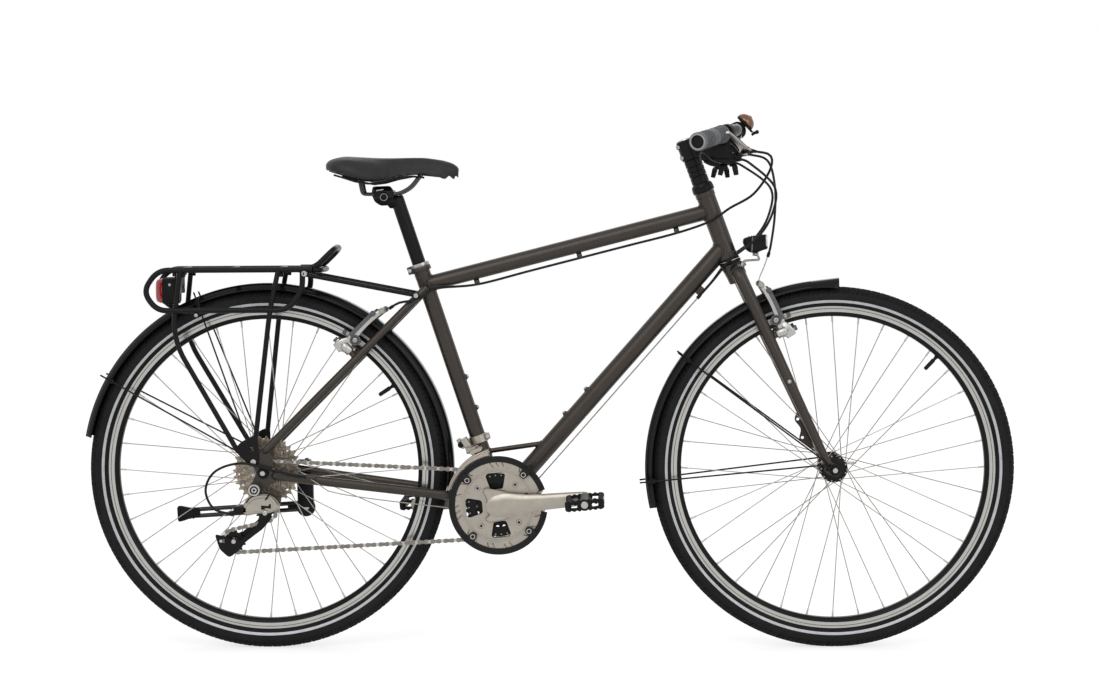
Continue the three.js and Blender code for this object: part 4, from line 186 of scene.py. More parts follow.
class Form:
    """The points and faces of one piece, each face with the number of its finish."""

    def __init__(self):
        self.points, self.faces, self.finish = [], [], []

    def add(self, points, faces, finish=0):
        start = len(self.points)
        self.points.extend(points)
        self.faces.extend(tuple(start + i for i in face) for face in faces)
        self.finish.extend(finish if isinstance(finish, list) else [finish] * len(faces))
        return self

    def rings(self, rings, finish=0, loop=False):
        """Joins rings of equal count into a skin, closed at its ends or into a loop."""
        count, rows = len(rings[0]), len(rings)
        points = [p for ring in rings for p in ring]
        faces, marks = [], []
        for i in range(rows if loop else rows - 1):
            mark = finish[i] if isinstance(finish, list) else finish
            for j in range(count):
                a, b = i * count + j, i * count + (j + 1) % count
                c, d = ((i + 1) % rows) * count + (j + 1) % count, ((i + 1) % rows) * count + j
                faces.append((a, b, c, d))
                marks.append(mark)
        if not loop:
            faces += [tuple(range(count - 1, -1, -1)), tuple((rows - 1) * count + j for j in range(count))]
            marks += [finish[0], finish[-1]] if isinstance(finish, list) else [finish, finish]
        return self.add(points, faces, marks)

    def sweep(self, path, section, up=None, finish=0, loop=False):
        """Carries a section along a path. It is a list of (side, rise) or a function of (share, index)."""
        last = len(path) - 1
        rings, side = [], None
        for i, point in enumerate(path):
            before = path[i - 1] if loop or i else path[0]
            after = path[(i + 1) % len(path)] if loop or i < last else path[last]
            tangent = (after - before).normalized()
            if up is not None:
                side = up.cross(tangent).normalized()
            elif side is None:
                side = (UP if abs(tangent.z) < 0.9 else FORWARD).cross(tangent).normalized()
            else:
                side = (side - tangent * side.dot(tangent)).normalized()
            rise = tangent.cross(side)
            pairs = section(i / max(last, 1), i) if callable(section) else section
            rings.append([point + side * a + rise * b for a, b in pairs])
        return self.rings(rings, finish, loop)

    def tube(self, path, radius, sides=20, finish=0):
        """A round tube along a path. The radius may be a function of the share of its length."""
        if callable(radius):
            return self.sweep(path, lambda share, i: oval(2 * radius(share), 2 * radius(share), sides),
                              finish=finish)
        return self.sweep(path, oval(2 * radius, 2 * radius, sides), finish=finish)

    def turned(self, start, axis, profile, sides=32, finish=0, loop=False):
        """A body turned round an axis, from (distance, radius) pairs; a third item makes a ring six-sided."""
        axis = axis.normalized()
        side = (UP if abs(axis.z) < 0.9 else FORWARD).cross(axis).normalized()
        rise = axis.cross(side)
        rings = []
        for item in profile:
            length, radius = item[0], max(item[1], 0.01)
            ring = []
            for j in range(sides):
                angle = 2 * math.pi * j / sides
                reach = radius
                if len(item) > 2:
                    reach = radius / math.cos((angle % (math.pi / 3)) - math.pi / 6) * math.cos(math.pi / 6)
                ring.append(start + axis * length + side * (reach * math.cos(angle))
                            + rise * (reach * math.sin(angle)))
            rings.append(ring)
        return self.rings(rings, finish, loop)

    def rod(self, start, end, radius, end_radius=None, sides=24, edge=0.5, finish=0):
        """A straight round bar with its ends' edges broken."""
        end_radius = radius if end_radius is None else end_radius
        way = end - start
        edge = min(edge, way.length / 3, radius / 2, end_radius / 2)
        return self.turned(start, way, [(0, radius - edge), (edge, radius), (way.length - edge, end_radius),
                                        (way.length, end_radius - edge)], sides, finish)

    def spun(self, centre, profile, sides=96, finish=0):
        """A ring round an axle, from pairs of radius and side."""
        return self.turned(at_y(centre, 0), LEFT, [(y, radius) for radius, y in profile], sides, finish, True)

    def bar(self, start, end, width, height, up=UP, corner=1.5, edge=0.8, finish=0):
        """A straight bar of rounded oblong section, with its ends' edges broken."""
        way = (end - start).normalized()
        length = (end - start).length
        edge = min(edge, length / 3)
        inner = oblong(width - 2 * edge, height - 2 * edge, max(corner - edge, 0.2))
        outer = oblong(width, height, corner)
        path = [start, along(start, way, edge), along(start, way, length - edge), end]
        return self.sweep(path, lambda share, i: inner if i in (0, 3) else outer, up=up, finish=finish)

    def block(self, centre, length, width, height, turn=0.0, corner=1.5, finish=0):
        """A box with rounded edges, its length along X turned about Y by an angle."""
        way = vec(math.cos(turn), 0, math.sin(turn))
        rise = vec(-math.sin(turn), 0, math.cos(turn))
        return self.bar(centre - way * (length / 2), centre + way * (length / 2), width, height, rise, corner,
                        corner * 0.6, finish)

    def slab(self, outline, thickness, place, holes=(), edge=0.3, finish=0):
        """A flat plate with broken edges, from an outline and holes of (a, b), set by place(a, b, depth)."""
        loops = [wound(outline, True)] + [wound(hole, False) for hole in holes]
        edge = min(edge, thickness / 3)
        small = [inset(loop, edge) for loop in loops]
        layers = [(small, -thickness / 2), (loops, edge - thickness / 2), (loops, thickness / 2 - edge),
                  (small, thickness / 2)]
        total = sum(len(loop) for loop in loops)
        points = [place(a, b, depth) for layer, depth in layers for loop in layer for a, b in loop]
        faces = []
        for k in range(3):
            start = k * total
            for loop in loops:
                n = len(loop)
                for j in range(n):
                    a, b = start + j, start + (j + 1) % n
                    faces.append((a, b, b + total, a + total))
                start += n
        cap = tessellate_polygon([[Vector((a, b, 0)) for a, b in loop] for loop in small])
        faces += [tuple(tri) for tri in cap] + [tuple(3 * total + i for i in reversed(tri)) for tri in cap]
        return self.add(points, faces, finish)

    def plate(self, outline, y, thickness, holes=(), edge=0.3, finish=0, centre=None, turn=0.0):
        """A plate in the plane of the wheels. Its points are (x, z) round a centre, turned by an angle."""
        origin = vec(0, 0, 0) if centre is None else centre
        c, s = math.cos(turn), math.sin(turn)
        return self.slab(outline, thickness, lambda a, b, t: vec(
            origin.x + a * c - b * s, y + t, origin.z + a * s + b * c), holes, edge, finish)

    def bolt(self, head, way, radius=4.0, height=3.5, finish=0):
        """A socket bolt's head, standing on a face along its way."""
        socket = radius * 0.55
        return self.turned(head, way, [(-1, radius * 0.9), (0, radius), (height - 0.6, radius),
                                       (height, radius - 0.6), (height, socket, 6),
                                       (height * 0.35, socket, 6), (height * 0.3, 0)], 24, finish)

    def ball(self, centre, radius, axis=LEFT, squash=1.0, sides=24):
        steps = max(sides // 2, 6)
        return self.turned(centre, axis, [
            (-radius * squash * math.cos(math.pi * i / steps), radius * math.sin(math.pi * i / steps))
            for i in range(steps + 1)], sides)


def oval(width, height, sides=20):
    return [(width / 2 * math.cos(2 * math.pi * i / sides), height / 2 * math.sin(2 * math.pi * i / sides))
            for i in range(sides)]


def oblong(width, height, corner, steps=3):
    """An oblong with rounded corners, as (a, b) pairs."""
    corner = max(min(corner, width / 2 - 0.01, height / 2 - 0.01), 0.01)
    points = []
    for k, (sa, sb) in enumerate([(1, 1), (-1, 1), (-1, -1), (1, -1)]):
        for i in range(steps + 1):
            angle = math.pi / 2 * (k + i / steps)
            points.append((sa * (width / 2 - corner) + corner * math.cos(angle),
                           sb * (height / 2 - corner) + corner * math.sin(angle)))
    return points


def wound(loop, left):
    area = sum(a[0] * b[1] - b[0] * a[1] for a, b in zip(loop, loop[1:] + loop[:1]))
    return list(loop) if (area > 0) == left else list(reversed(loop))


def inset(loop, amount):
    """The loop moved to its left by an amount."""
    out = []
    for i, (x, y) in enumerate(loop):
        bx, by = loop[i - 1]
        ax, ay = loop[(i + 1) % len(loop)]
        one, two = Vector((x - bx, y - by)), Vector((ax - x, ay - y))
        if one.length < 1e-9 or two.length < 1e-9:
            out.append((x, y))
            continue
        one.normalize()
        two.normalize()
        nx, ny = -one.y - two.y, one.x + two.x
        scale = amount / max(0.5, 1 + one.dot(two))
        out.append((x + nx * scale, y + ny * scale))
    return out


def circle(radius, sides=32, cx=0.0, cy=0.0):
    return [(cx + radius * math.cos(2 * math.pi * i / sides), cy + radius * math.sin(2 * math.pi * i / sides))
            for i in range(sides)]


def rounded(corners, bend, steps=8):
    """The way through a row of corners, each rounded off."""
    points = [corners[0]]
    for i in range(1, len(corners) - 1):
        before, after = corners[i - 1] - corners[i], corners[i + 1] - corners[i]
        reach = min(bend, before.length * 0.45, after.length * 0.45)
        start = along(corners[i], before.normalized(), reach)
        end = along(corners[i], after.normalized(), reach)
        for k in range(steps + 1):
            t = k / steps
            points.append(start * (1 - t) ** 2 + corners[i] * (2 * t * (1 - t)) + end * t * t)
    return points + [corners[-1]]


def smooth_way(points, per=8):
    """A smooth curve through all its points."""
    out = []
    for i in range(len(points) - 1):
        p0 = points[i - 1] if i else points[0] * 2 - points[1]
        p1, p2 = points[i], points[i + 1]
        p3 = points[i + 2] if i + 2 < len(points) else points[-1] * 2 - points[-2]
        for k in range(per):
            t = k / per
            out.append(0.5 * (2 * p1 + (p2 - p0) * t + (2 * p0 - 5 * p1 + 4 * p2 - p3) * t * t
                              + (3 * p1 - p0 - 3 * p2 + p3) * t ** 3))
    return out + [points[-1]]


def rounded_outline(corners, bend, steps=5):
    """A closed outline of (a, b) pairs with its corners rounded off."""
    out = []
    n = len(corners)
    for i in range(n):
        p = Vector(corners[i])
        before, after = Vector(corners[i - 1]) - p, Vector(corners[(i + 1) % n]) - p
        reach = min(bend, before.length * 0.45, after.length * 0.45)
        start, end = p + before.normalized() * reach, p + after.normalized() * reach
        for k in range(steps + 1):
            t = k / steps
            q = start * (1 - t) ** 2 + p * (2 * t * (1 - t)) + end * t * t
            out.append((q.x, q.y))
    return out


CHAIN_PITCH = 12.7


def turned_outline(outline, angle):
    """An outline of (a, b) pairs turned about its origin."""
    c, s = math.cos(angle), math.sin(angle)
    return [(a * c - b * s, a * s + b * c) for a, b in outline]


def pitch_radius(teeth):
    return CHAIN_PITCH / (2 * math.sin(math.pi / teeth))


TOOTH_TIP, TOOTH_ROOT = 2.6, 3.7


def toothed(teeth):
    """The outline of a chain wheel, as (a, b) pairs round its middle."""
    pitch = pitch_radius(teeth)
    shape = [(0, -TOOTH_ROOT), (0.16, 0.6 - TOOTH_ROOT), (0.27, -1.2), (0.37, 0.9), (0.44, TOOTH_TIP),
             (0.56, TOOTH_TIP), (0.63, 0.9), (0.73, -1.2), (0.84, 0.6 - TOOTH_ROOT)]
    return [((pitch + rise) * math.cos(2 * math.pi * (i + share) / teeth),
             (pitch + rise) * math.sin(2 * math.pi * (i + share) / teeth))
            for i in range(teeth) for share, rise in shape]


def piece(name, form, finishes, body, covers=(), crease=38):
    """A scene object from a form, with its finishes, riding on a body and standing for solids."""
    mesh = bpy.data.meshes.new(name)
    mesh.from_pydata([placed(p) for p in form.points], [], form.faces)
    for finish in finishes:
        mesh.materials.append(finish)
    mesh.polygons.foreach_set("material_index", form.finish)
    bm = bmesh.new()
    bm.from_mesh(mesh)
    bmesh.ops.remove_doubles(bm, verts=bm.verts, dist=2e-6)
    bmesh.ops.recalc_face_normals(bm, faces=bm.faces)
    limit = math.radians(crease)
    for face in bm.faces:
        face.smooth = True
    for edge in bm.edges:
        edge.smooth = len(edge.link_faces) == 2 and edge.calc_face_angle(0.0) < limit
    bm.to_mesh(mesh)
    bm.free()
    thing = bpy.data.objects.new(name, mesh)
    bpy.context.scene.collection.objects.link(thing)
    if body:
        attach(thing, body)
    if covers:
        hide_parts(*covers)
    return thing


# The finishes made so far, by name
finishes = {}


class Wiring:
    """The nodes of one material or world: what adds a node gives back its output socket."""

    def __init__(self, tree):
        self.nodes, self.links = tree.nodes, tree.links

    def feed(self, socket, value):
        """Sets a socket to a value, or links it where the value is another socket."""
        if isinstance(value, bpy.types.NodeSocket):
            self.links.new(value, socket)
        else:
            socket.default_value = value

    def add(self, kind, output, inputs, **settings):
        node = self.nodes.new("ShaderNode" + kind)
        for key, value in settings.items():
            setattr(node, key, value)
        for key, value in inputs.items():
            self.feed(node.inputs[key], value)
        return node.outputs[output]

    def ramp(self, source, *stops):
        """A colour ramp over a value, with two stops of (place, colour)."""
        colour = self.add("ValToRGB", "Color", {"Fac": source})
        for element, (place, shown) in zip(colour.node.color_ramp.elements, stops):
            element.position, element.color = place, (*shown, 1.0)
        return colour

    def noise(self, vector, scale, detail, rough):
        """A noise over object space, in metres."""
        return self.add("TexNoise", "Fac", {"Scale": scale, "Detail": detail, "Roughness": rough,
                                            "Vector": vector})

    def cells(self, output, vector, scale):
        return self.add("TexVoronoi", output, {"Scale": scale, "Vector": vector})

    def mix(self, factor, base, other, blend="MIX"):
        inputs = {"Factor": factor, "A": base, "B": other}
        return self.add("Mix", "Result", inputs, data_type="RGBA", blend_type=blend)

    def math(self, operation, *values, clamp=False):
        return self.add("Math", "Value", dict(enumerate(values)), operation=operation, use_clamp=clamp)


def shade(colour, amount):
    return tuple(max(0.0, min(1.0, c * amount)) for c in colour)


def grey(level):
    return (level, level, level)


def finish(name, colour, roughness, metallic=0.0, vary=0.12, scale=60.0, rough_vary=0.08, bump=0.0,
           bump_scale=900.0, coat=0.0, coat_rough=0.2, flakes=0.0, dust=0.0, specular=0.5, grain=0.0,
           sheen=0.0):
    """One procedural finish: its colour varies, its sheen is uneven and its surface has relief."""
    if name in finishes:
        return finishes[name]
    material = bpy.data.materials.new(name)
    material.use_nodes = True
    wiring = Wiring(material.node_tree)
    shader = wiring.nodes["Principled BSDF"].inputs
    vector = wiring.nodes.new("ShaderNodeTexCoord").outputs["Object"]
    clouds = wiring.noise(vector, scale, 5.0, 0.6)
    base = wiring.ramp(clouds, (0.3, shade(colour, 1 - vary)), (0.72, shade(colour, 1 + vary)))
    if flakes:
        bright = wiring.add("SeparateColor", "Red", {"Color": wiring.cells("Color", vector, 2600.0)})
        base = wiring.mix(1.0, base, wiring.ramp(bright, (0.72, grey(0)), (1.0, grey(flakes))), "ADD")
    if dust:
        mask = wiring.ramp(wiring.noise(vector, 7.0, 6.0, 0.65), (0.5, grey(0)), (0.78, grey(dust)))
        base = wiring.mix(mask, base, (0.42, 0.38, 0.32, 1.0))
    uneven = wiring.add("MapRange", "Result", {
        "From Min": 0.25, "From Max": 0.75, "To Min": max(0.02, roughness - rough_vary),
        "To Max": min(1.0, roughness + rough_vary), "Value": wiring.noise(vector, scale * 2.3, 6.0, 0.6)})
    for key, value in {"Metallic": metallic, "Coat Weight": coat, "Coat Roughness": coat_rough,
                       "Specular IOR Level": specular, "Sheen Weight": sheen, "Base Color": base,
                       "Roughness": uneven}.items():
        wiring.feed(shader[key], value)
    if bump:
        relief = wiring.cells("Distance", vector, grain) if grain else wiring.noise(
            vector, bump_scale, 3.0, 0.6)
        lift = {"Strength": bump, "Distance": 0.0004, "Height": relief}
        wiring.feed(shader["Normal"], wiring.add("Bump", "Normal", lift))
    finishes[name] = material
    return material


# Sizes and colours that a user would change
class BicycleColours(bpy.types.PropertyGroup):
    """The bicycle's own colours."""

    frame_paint: FloatVectorProperty(name="Frame paint", description="Metallic paint of the frame and fork",
                                     subtype="COLOR", default=(0.034, 0.0265, 0.0205))
    gloss_black: FloatVectorProperty(name="Gloss black", description="Mudguards",
                                     subtype="COLOR", default=(0.0045, 0.0045, 0.005))
    satin_black: FloatVectorProperty(name="Satin black",
                                     description="Rack, bar, stem, seat post and small fittings",
                                     subtype="COLOR", default=(0.0055, 0.0055, 0.006))
    silver: FloatVectorProperty(name="Silver", description="Polished alloy parts and bolts",
                                subtype="COLOR", default=(0.43, 0.42, 0.4))
    champagne: FloatVectorProperty(name="Champagne", description="Cranks, brake levers and derailleurs",
                                   subtype="COLOR", default=(0.36, 0.33, 0.285))
    steel: FloatVectorProperty(name="Steel", description="Spokes, wires and chain rollers",
                               subtype="COLOR", default=(0.33, 0.31, 0.285))
    tyre: FloatVectorProperty(name="Tyre rubber", description="Tyres and small rubber pieces",
                              subtype="COLOR", default=(0.009, 0.009, 0.0095))
    grip: FloatVectorProperty(name="Grip rubber", description="The two handlebar grips",
                              subtype="COLOR", default=(0.12, 0.125, 0.13))
    saddle: FloatVectorProperty(name="Saddle cover", description="The saddle's skin",
                                subtype="COLOR", default=(0.006, 0.0055, 0.005))
    bell: FloatVectorProperty(name="Bell", description="The bell's plated dome",
                              subtype="COLOR", default=(0.19, 0.105, 0.07))


class BicycleDetails(bpy.types.PropertyGroup):
    """Counts and sizes of the fine shapes."""

    tread_pitches: IntProperty(name="Tread blocks", description="Blocks round each tyre", default=112,
                               min=40, max=200)
    tread_depth: FloatProperty(name="Tread depth", description="Depth of the tyre's grooves, in millimetres",
                               default=1.3, min=0.3, max=3.0)
    spoke_radius: FloatProperty(name="Spoke radius", description="Radius of a spoke, in millimetres",
                                default=0.95, min=0.7, max=1.3)
    bead_radius: FloatProperty(name="Weld bead",
                               description="Radius of the beads where tubes meet, in millimetres",
                               default=2.3, min=1.0, max=4.0)
    tube_sides: IntProperty(name="Tube sides", description="Sides of the frame tubes", default=48,
                            min=16, max=96)


class StageSettings(bpy.types.PropertyGroup):
    """Floor, lamps and camera."""

    floor_colour: FloatVectorProperty(name="Floor", description="The plain pale floor", subtype="COLOR",
                                      default=(0.86, 0.86, 0.86))
    world_level: FloatProperty(name="Room light", description="Soft light from all round",
                               default=0.75, min=0.0)
    key_power: FloatProperty(name="Main lamp", description="The large lamp over the drive side", default=70.0,
                             min=0.0, subtype="POWER", unit="POWER")
    fill_power: FloatProperty(name="Second lamp", description="The large lamp at the other side",
                              default=24.0, min=0.0, subtype="POWER", unit="POWER")
    lens: FloatProperty(name="Lens", description="Focal length on a 36 mm sensor", default=74.47, min=20.0,
                        subtype="DISTANCE_CAMERA")


def colours():
    return bpy.context.scene.bicycle_colours


def details():
    return bpy.context.scene.bicycle_details


# The bicycle's finishes
def frame_paint():
    return finish("frame paint", colours().frame_paint, 0.38, metallic=0.72, vary=0.08, scale=25, flakes=0.03,
                  coat=0.2, coat_rough=0.25, bump=0.05, bump_scale=500, rough_vary=0.05)


def gloss_black():
    return finish("gloss black", colours().gloss_black, 0.16, vary=0.15, scale=18, specular=0.16,
                  bump=0.03, bump_scale=120, rough_vary=0.05, dust=0.006)


def satin_black():
    return finish("satin black", colours().satin_black, 0.32, vary=0.15, scale=40, bump=0.06, specular=0.14,
                  rough_vary=0.07)


def plastic_black():
    return finish("black plastic", shade(colours().satin_black, 1.1), 0.48, vary=0.15, scale=70, bump=0.12,
                  specular=0.14, bump_scale=1900)


def silver_metal():
    return finish("silver metal", colours().silver, 0.26, metallic=1.0, vary=0.07, scale=80, bump=0.05,
                  bump_scale=1500)


def champagne_metal():
    return finish("champagne metal", colours().champagne, 0.33, metallic=0.95, vary=0.07, bump=0.06,
                  bump_scale=1800, rough_vary=0.07)


def steel_metal():
    return finish("bright steel", colours().steel, 0.28, metallic=1.0, vary=0.16, scale=140, bump=0.05,
                  bump_scale=1400, rough_vary=0.1)


def oiled_steel():
    return finish("oiled steel", shade(colours().steel, 0.62), 0.32, metallic=0.95, vary=0.3, scale=160,
                  bump=0.1, bump_scale=1600, rough_vary=0.12)


def rubber():
    return finish("rubber", colours().tyre, 0.78, vary=0.22, scale=45, bump=0.25, bump_scale=1300, dust=0.015,
                  specular=0.12)


def tyre_wall():
    return finish("tyre wall", shade(colours().tyre, 1.15), 0.66, vary=0.2, scale=30, bump=0.22,
                  bump_scale=2200, dust=0.012, specular=0.12)


def stripe():
    return finish("reflecting stripe", (0.42, 0.43, 0.44), 0.42, bump=0.2, bump_scale=1600,
                  metallic=0.25)


def lens_plastic(name, colour):
    return finish(name, colour, 0.1, vary=0.08, scale=40, bump=0.5, grain=420.0, coat=0.6, coat_rough=0.05)


class Stage:
    """The camera's place and the stage's sizes, in metres and radians."""

    eye = Vector((0.1434, -4.4442, 0.8576))
    yaw, pitch, roll = math.radians(-1.759), math.radians(2.275), math.radians(-0.376)
    shift = -47.5 / 1100
    floor_half = 14.0


class BICYCLE_OT_stage(bpy.types.Operator):
    """Lays the pale floor, hangs the soft lamps and sets the camera at the photograph's place"""

    bl_idname = "bicycle.stage"
    bl_label = "Stage and camera"

    def execute(self, context):
        settings = context.scene.bicycle_stage
        self.camera(context, settings)
        self.floor(context, settings)
        self.world(context, settings)
        self.lamp(context, "main lamp", (-1.2, -4.0, 3.6), (0, 0, 0.45), 3.4, settings.key_power)
        self.lamp(context, "second lamp", (2.6, -3.0, 2.4), (0.2, 0, 0.5), 2.6, settings.fill_power)
        self.lamp(context, "back lamp", (0.4, 4.2, 3.2), (0, 0, 0.5), 3.2, settings.fill_power)
        context.scene.view_settings.view_transform = "Standard"
        return {"FINISHED"}

    def camera(self, context, settings):
        yaw, pitch, roll = Stage.yaw, Stage.pitch, Stage.roll
        forward = vec(math.sin(yaw) * math.cos(pitch), math.cos(yaw) * math.cos(pitch), -math.sin(pitch))
        right = vec(math.cos(yaw), -math.sin(yaw), 0)
        up = right.cross(forward)
        turned_right = right * math.cos(roll) + up * math.sin(roll)
        turned_up = up * math.cos(roll) - right * math.sin(roll)
        data = bpy.data.cameras.new("camera")
        data.lens, data.sensor_width, data.sensor_fit = settings.lens, 36.0, "HORIZONTAL"
        data.shift_y = Stage.shift
        data.clip_end = 60.0
        thing = bpy.data.objects.new("camera", data)
        turn = Matrix((turned_right, turned_up, -forward)).transposed()
        thing.matrix_world = Matrix.Translation(Stage.eye) @ turn.to_4x4()
        context.scene.collection.objects.link(thing)
        context.scene.camera = thing

    def floor(self, context, settings):
        half = Stage.floor_half
        mesh = bpy.data.meshes.new("floor")
        mesh.from_pydata([(-half, -half, 0), (half, -half, 0), (half, half, 0), (-half, half, 0)], [],
                         [(0, 1, 2, 3)])
        floor = bpy.data.objects.new("floor", mesh)
        floor.data.materials.append(self.floor_finish(settings))
        context.scene.collection.objects.link(floor)

    def floor_finish(self, settings):
        material = bpy.data.materials.new("pale floor")
        material.use_nodes = True
        wiring = Wiring(material.node_tree)
        shader = wiring.nodes["Principled BSDF"]
        vector = wiring.nodes.new("ShaderNodeTexCoord").outputs["Object"]
        pale = wiring.ramp(wiring.noise(vector, 2.0, 3.0, 0.5), (0.3, shade(settings.floor_colour, 0.985)),
                           (0.7, settings.floor_colour))
        wiring.feed(shader.inputs["Base Color"], pale)
        wiring.feed(shader.inputs["Roughness"], 0.9)
        glow = wiring.add("Emission", "Emission", {"Strength": 1.34})
        share = wiring.math("MULTIPLY", seen_rays(wiring), 0.5)
        both = wiring.add("MixShader", "Shader", {0: share, 1: shader.outputs["BSDF"], 2: glow})
        wiring.feed(wiring.nodes["Material Output"].inputs["Surface"], both)
        return material

    def world(self, context, settings):
        world = bpy.data.worlds.new("room")
        context.scene.world = world
        world.use_nodes = True
        wiring = Wiring(world.node_tree)
        sky = wiring.nodes["Background"].inputs
        wiring.feed(sky["Color"], (1, 1, 1, 1))
        level = {"To Min": settings.world_level, "To Max": 1.0, "Value": seen_rays(wiring)}
        wiring.feed(sky["Strength"], wiring.add("MapRange", "Result", level))

    def lamp(self, context, name, place, target, size, power):
        data = bpy.data.lights.new(name, "AREA")
        data.shape, data.size, data.energy = "SQUARE", size, power
        thing = bpy.data.objects.new(name, data)
        thing.location = place
        thing.rotation_euler = (Vector(target) - Vector(place)).to_track_quat("-Z", "Y").to_euler()
        context.scene.collection.objects.link(thing)


def seen_rays(wiring):
    """1 for the camera's rays and for those that metal and glass send on, 0 for the rest."""
    path = wiring.nodes.new("ShaderNodeLightPath").outputs
    direct = wiring.math("ADD", path["Is Camera Ray"], path["Is Glossy Ray"], clamp=True)
    return wiring.math("ADD", direct, path["Is Transmission Ray"], clamp=True)


# Wheels: a tyre, a rim with nipples and valve, spokes laced three-cross, a hub and its clamp axle
RIM_INNER, RIM_HALF, BEAD_RADIUS = 295, 12, 311.3
TYRE_HALF, TYRE_CENTRE = 21.5, 332
SPOKES, CROSSES, SPOKE_OFFSET = 36, 3, 1.8
FLANGE_RADIUS, FLANGE_THICKNESS = 27, 3
FRONT_FLANGES, REAR_FLANGES = (-30, 30), (-20, 34)
FRONT_SPACING, REAR_SPACING = 100, 135


def tyre_section():
    """The tyre's outside from bead to bead: angle from the crown, the grooves' depth, their slant."""
    half = [(150, 0, 0), (138, 0, 0), (127, 0, 0), (119, 0, 0), (104, 0, 0), (94, 0, 0), (84, 0, 0),
            (75, 0, 0), (68, 0, 9), (64, 1, 8.4), (54, 1, 7), (44, 1, 5.6), (34, 1, 4.4), (29, 1, 3.8),
            (26.5, 2, 3.5), (22, 2, 3), (19.5, 1, 2.6), (12, 0.8, 1.5), (5, 0.8, 0.6)]
    return [(-a, d, s) for a, d, s in half] + [(0, 0.8, 0)] + [(a, d, s) for a, d, s in reversed(half)]


def tyre(centre):
    """A tyre with slanting grooves, two that run round it, and a stripe on each wall."""
    pitches, depth = details().tread_pitches, details().tread_depth
    steps = [(0.0, 0), (0.035, 1), (0.15, 1), (0.185, 0), (0.46, 0), (0.5, 0.55), (0.56, 0.55), (0.6, 0)]
    rows = []
    for angle, groove, slant in tyre_section():
        turn = math.radians(angle)
        row = []
        for pitch in range(pitches):
            for share, cut in steps:
                sink = depth * (1 if groove == 2 else groove * cut)
                ride = 2 * math.pi * (pitch + share) / pitches + slant / TYRE_CENTRE
                radius = TYRE_CENTRE + (TYRE_RADIUS - TYRE_CENTRE - sink) * math.cos(turn)
                row.append(around(centre, radius, ride, (TYRE_HALF - sink) * math.sin(turn)))
        rows.append(row)
    count = len(rows[0])
    section = tyre_section()
    strip = [2 if {abs(section[i][0]), abs(section[i + 1][0])} == {104, 119} else 1 if min(
        abs(section[i][0]), abs(section[i + 1][0])) >= 68 else 0 for i in range(len(section) - 1)]
    bead = RIM_HALF - 1.9
    inside = [[around(centre, radius, 2 * math.pi * i / count, y) for i in range(count)]
              for radius, y in [(BEAD_RADIUS, bead), (BEAD_RADIUS, 0), (BEAD_RADIUS, -bead)]]
    return Form().rings(rows + inside, strip + [1, 1, 1, 1], loop=True)


def rim(centre):
    """A deep rim: a dark band at the spokes, a bright braking track with its wear line, rolled edges."""
    half = [(RIM_INNER, 5), (295.6, 6.6), (297.2, 8.4), (303.2, 11.6), (303.6, 11.9), (304.2, 12),
            (309.7, 12), (310, 11.6), (310.5, 11.6), (310.8, 12), (316.2, 12), (317, 11.3), (317, 10.5),
            (316, 10.1), (309, 9.4), (306.5, 6)]
    profile = [(r, -y) for r, y in half] + [(r, y) for r, y in reversed(half)]
    marks = [1, 1, 1, 1, 0, 0, 2, 2, 2, 0, 0, 0, 0, 1, 1, 1]
    marks = marks[:15] + [1] + list(reversed(marks[:15])) + [1]
    return Form().spun(centre, profile, 240, marks)


def valve(centre, angle):
    out = way_at(angle)
    base = around(centre, RIM_INNER + 3, angle)
    return Form().turned(base, -out, [(0, 5.4), (3.4, 5.4), (3.6, 4), (6, 4), (6.2, 3.1), (11, 3.1),
                                      (11.2, 3.9), (12, 4.2), (34, 3.9), (36, 3.2), (36.5, 0)], 20)


def spoke_ends(centre, flanges, i, side):
    """Where a spoke's head sits in the flange and where its nipple leaves the rim."""
    per_flange = SPOKES // 2
    hand, step = (1 if i % 2 else -1), 2 * math.pi / per_flange
    hole = (i + side / 2) * step
    flange_y = flanges[side]
    start = around(centre, FLANGE_RADIUS - FLANGE_THICKNESS, hole, flange_y)
    end = around(centre, RIM_INNER + 1, hole + hand * CROSSES * step, flange_y * 0.06)
    return start, end, hand


def spokes(centre, flanges):
    """Two sets of spokes with their heads, elbows and nipples."""
    form, radius = Form(), details().spoke_radius
    for side in (0, 1):
        for i in range(SPOKES // 2):
            start, end, hand = spoke_ends(centre, flanges, i, side)
            head = shifted(start, 0, -hand * 2.6, 0)
            elbow = shifted(start, 0, hand * SPOKE_OFFSET, 0)
            way = (end - elbow).normalized()
            form.tube([head, shifted(start, 0, hand * 0.6, 0), along(elbow, way, 1.6), along(elbow, way, 6),
                       end], radius, 8)
            form.turned(head, vec(0, -hand, 0), [(-0.9, 1.9), (0, 1.9), (0.7, 1.2), (0.8, 0)], 10)
            form.turned(along(end, way, -13), way,
                        [(-0.4, 1.5), (0, 1.75), (11, 1.75), (11.2, 2.4), (14, 2.4)], 10, 1)
    return form


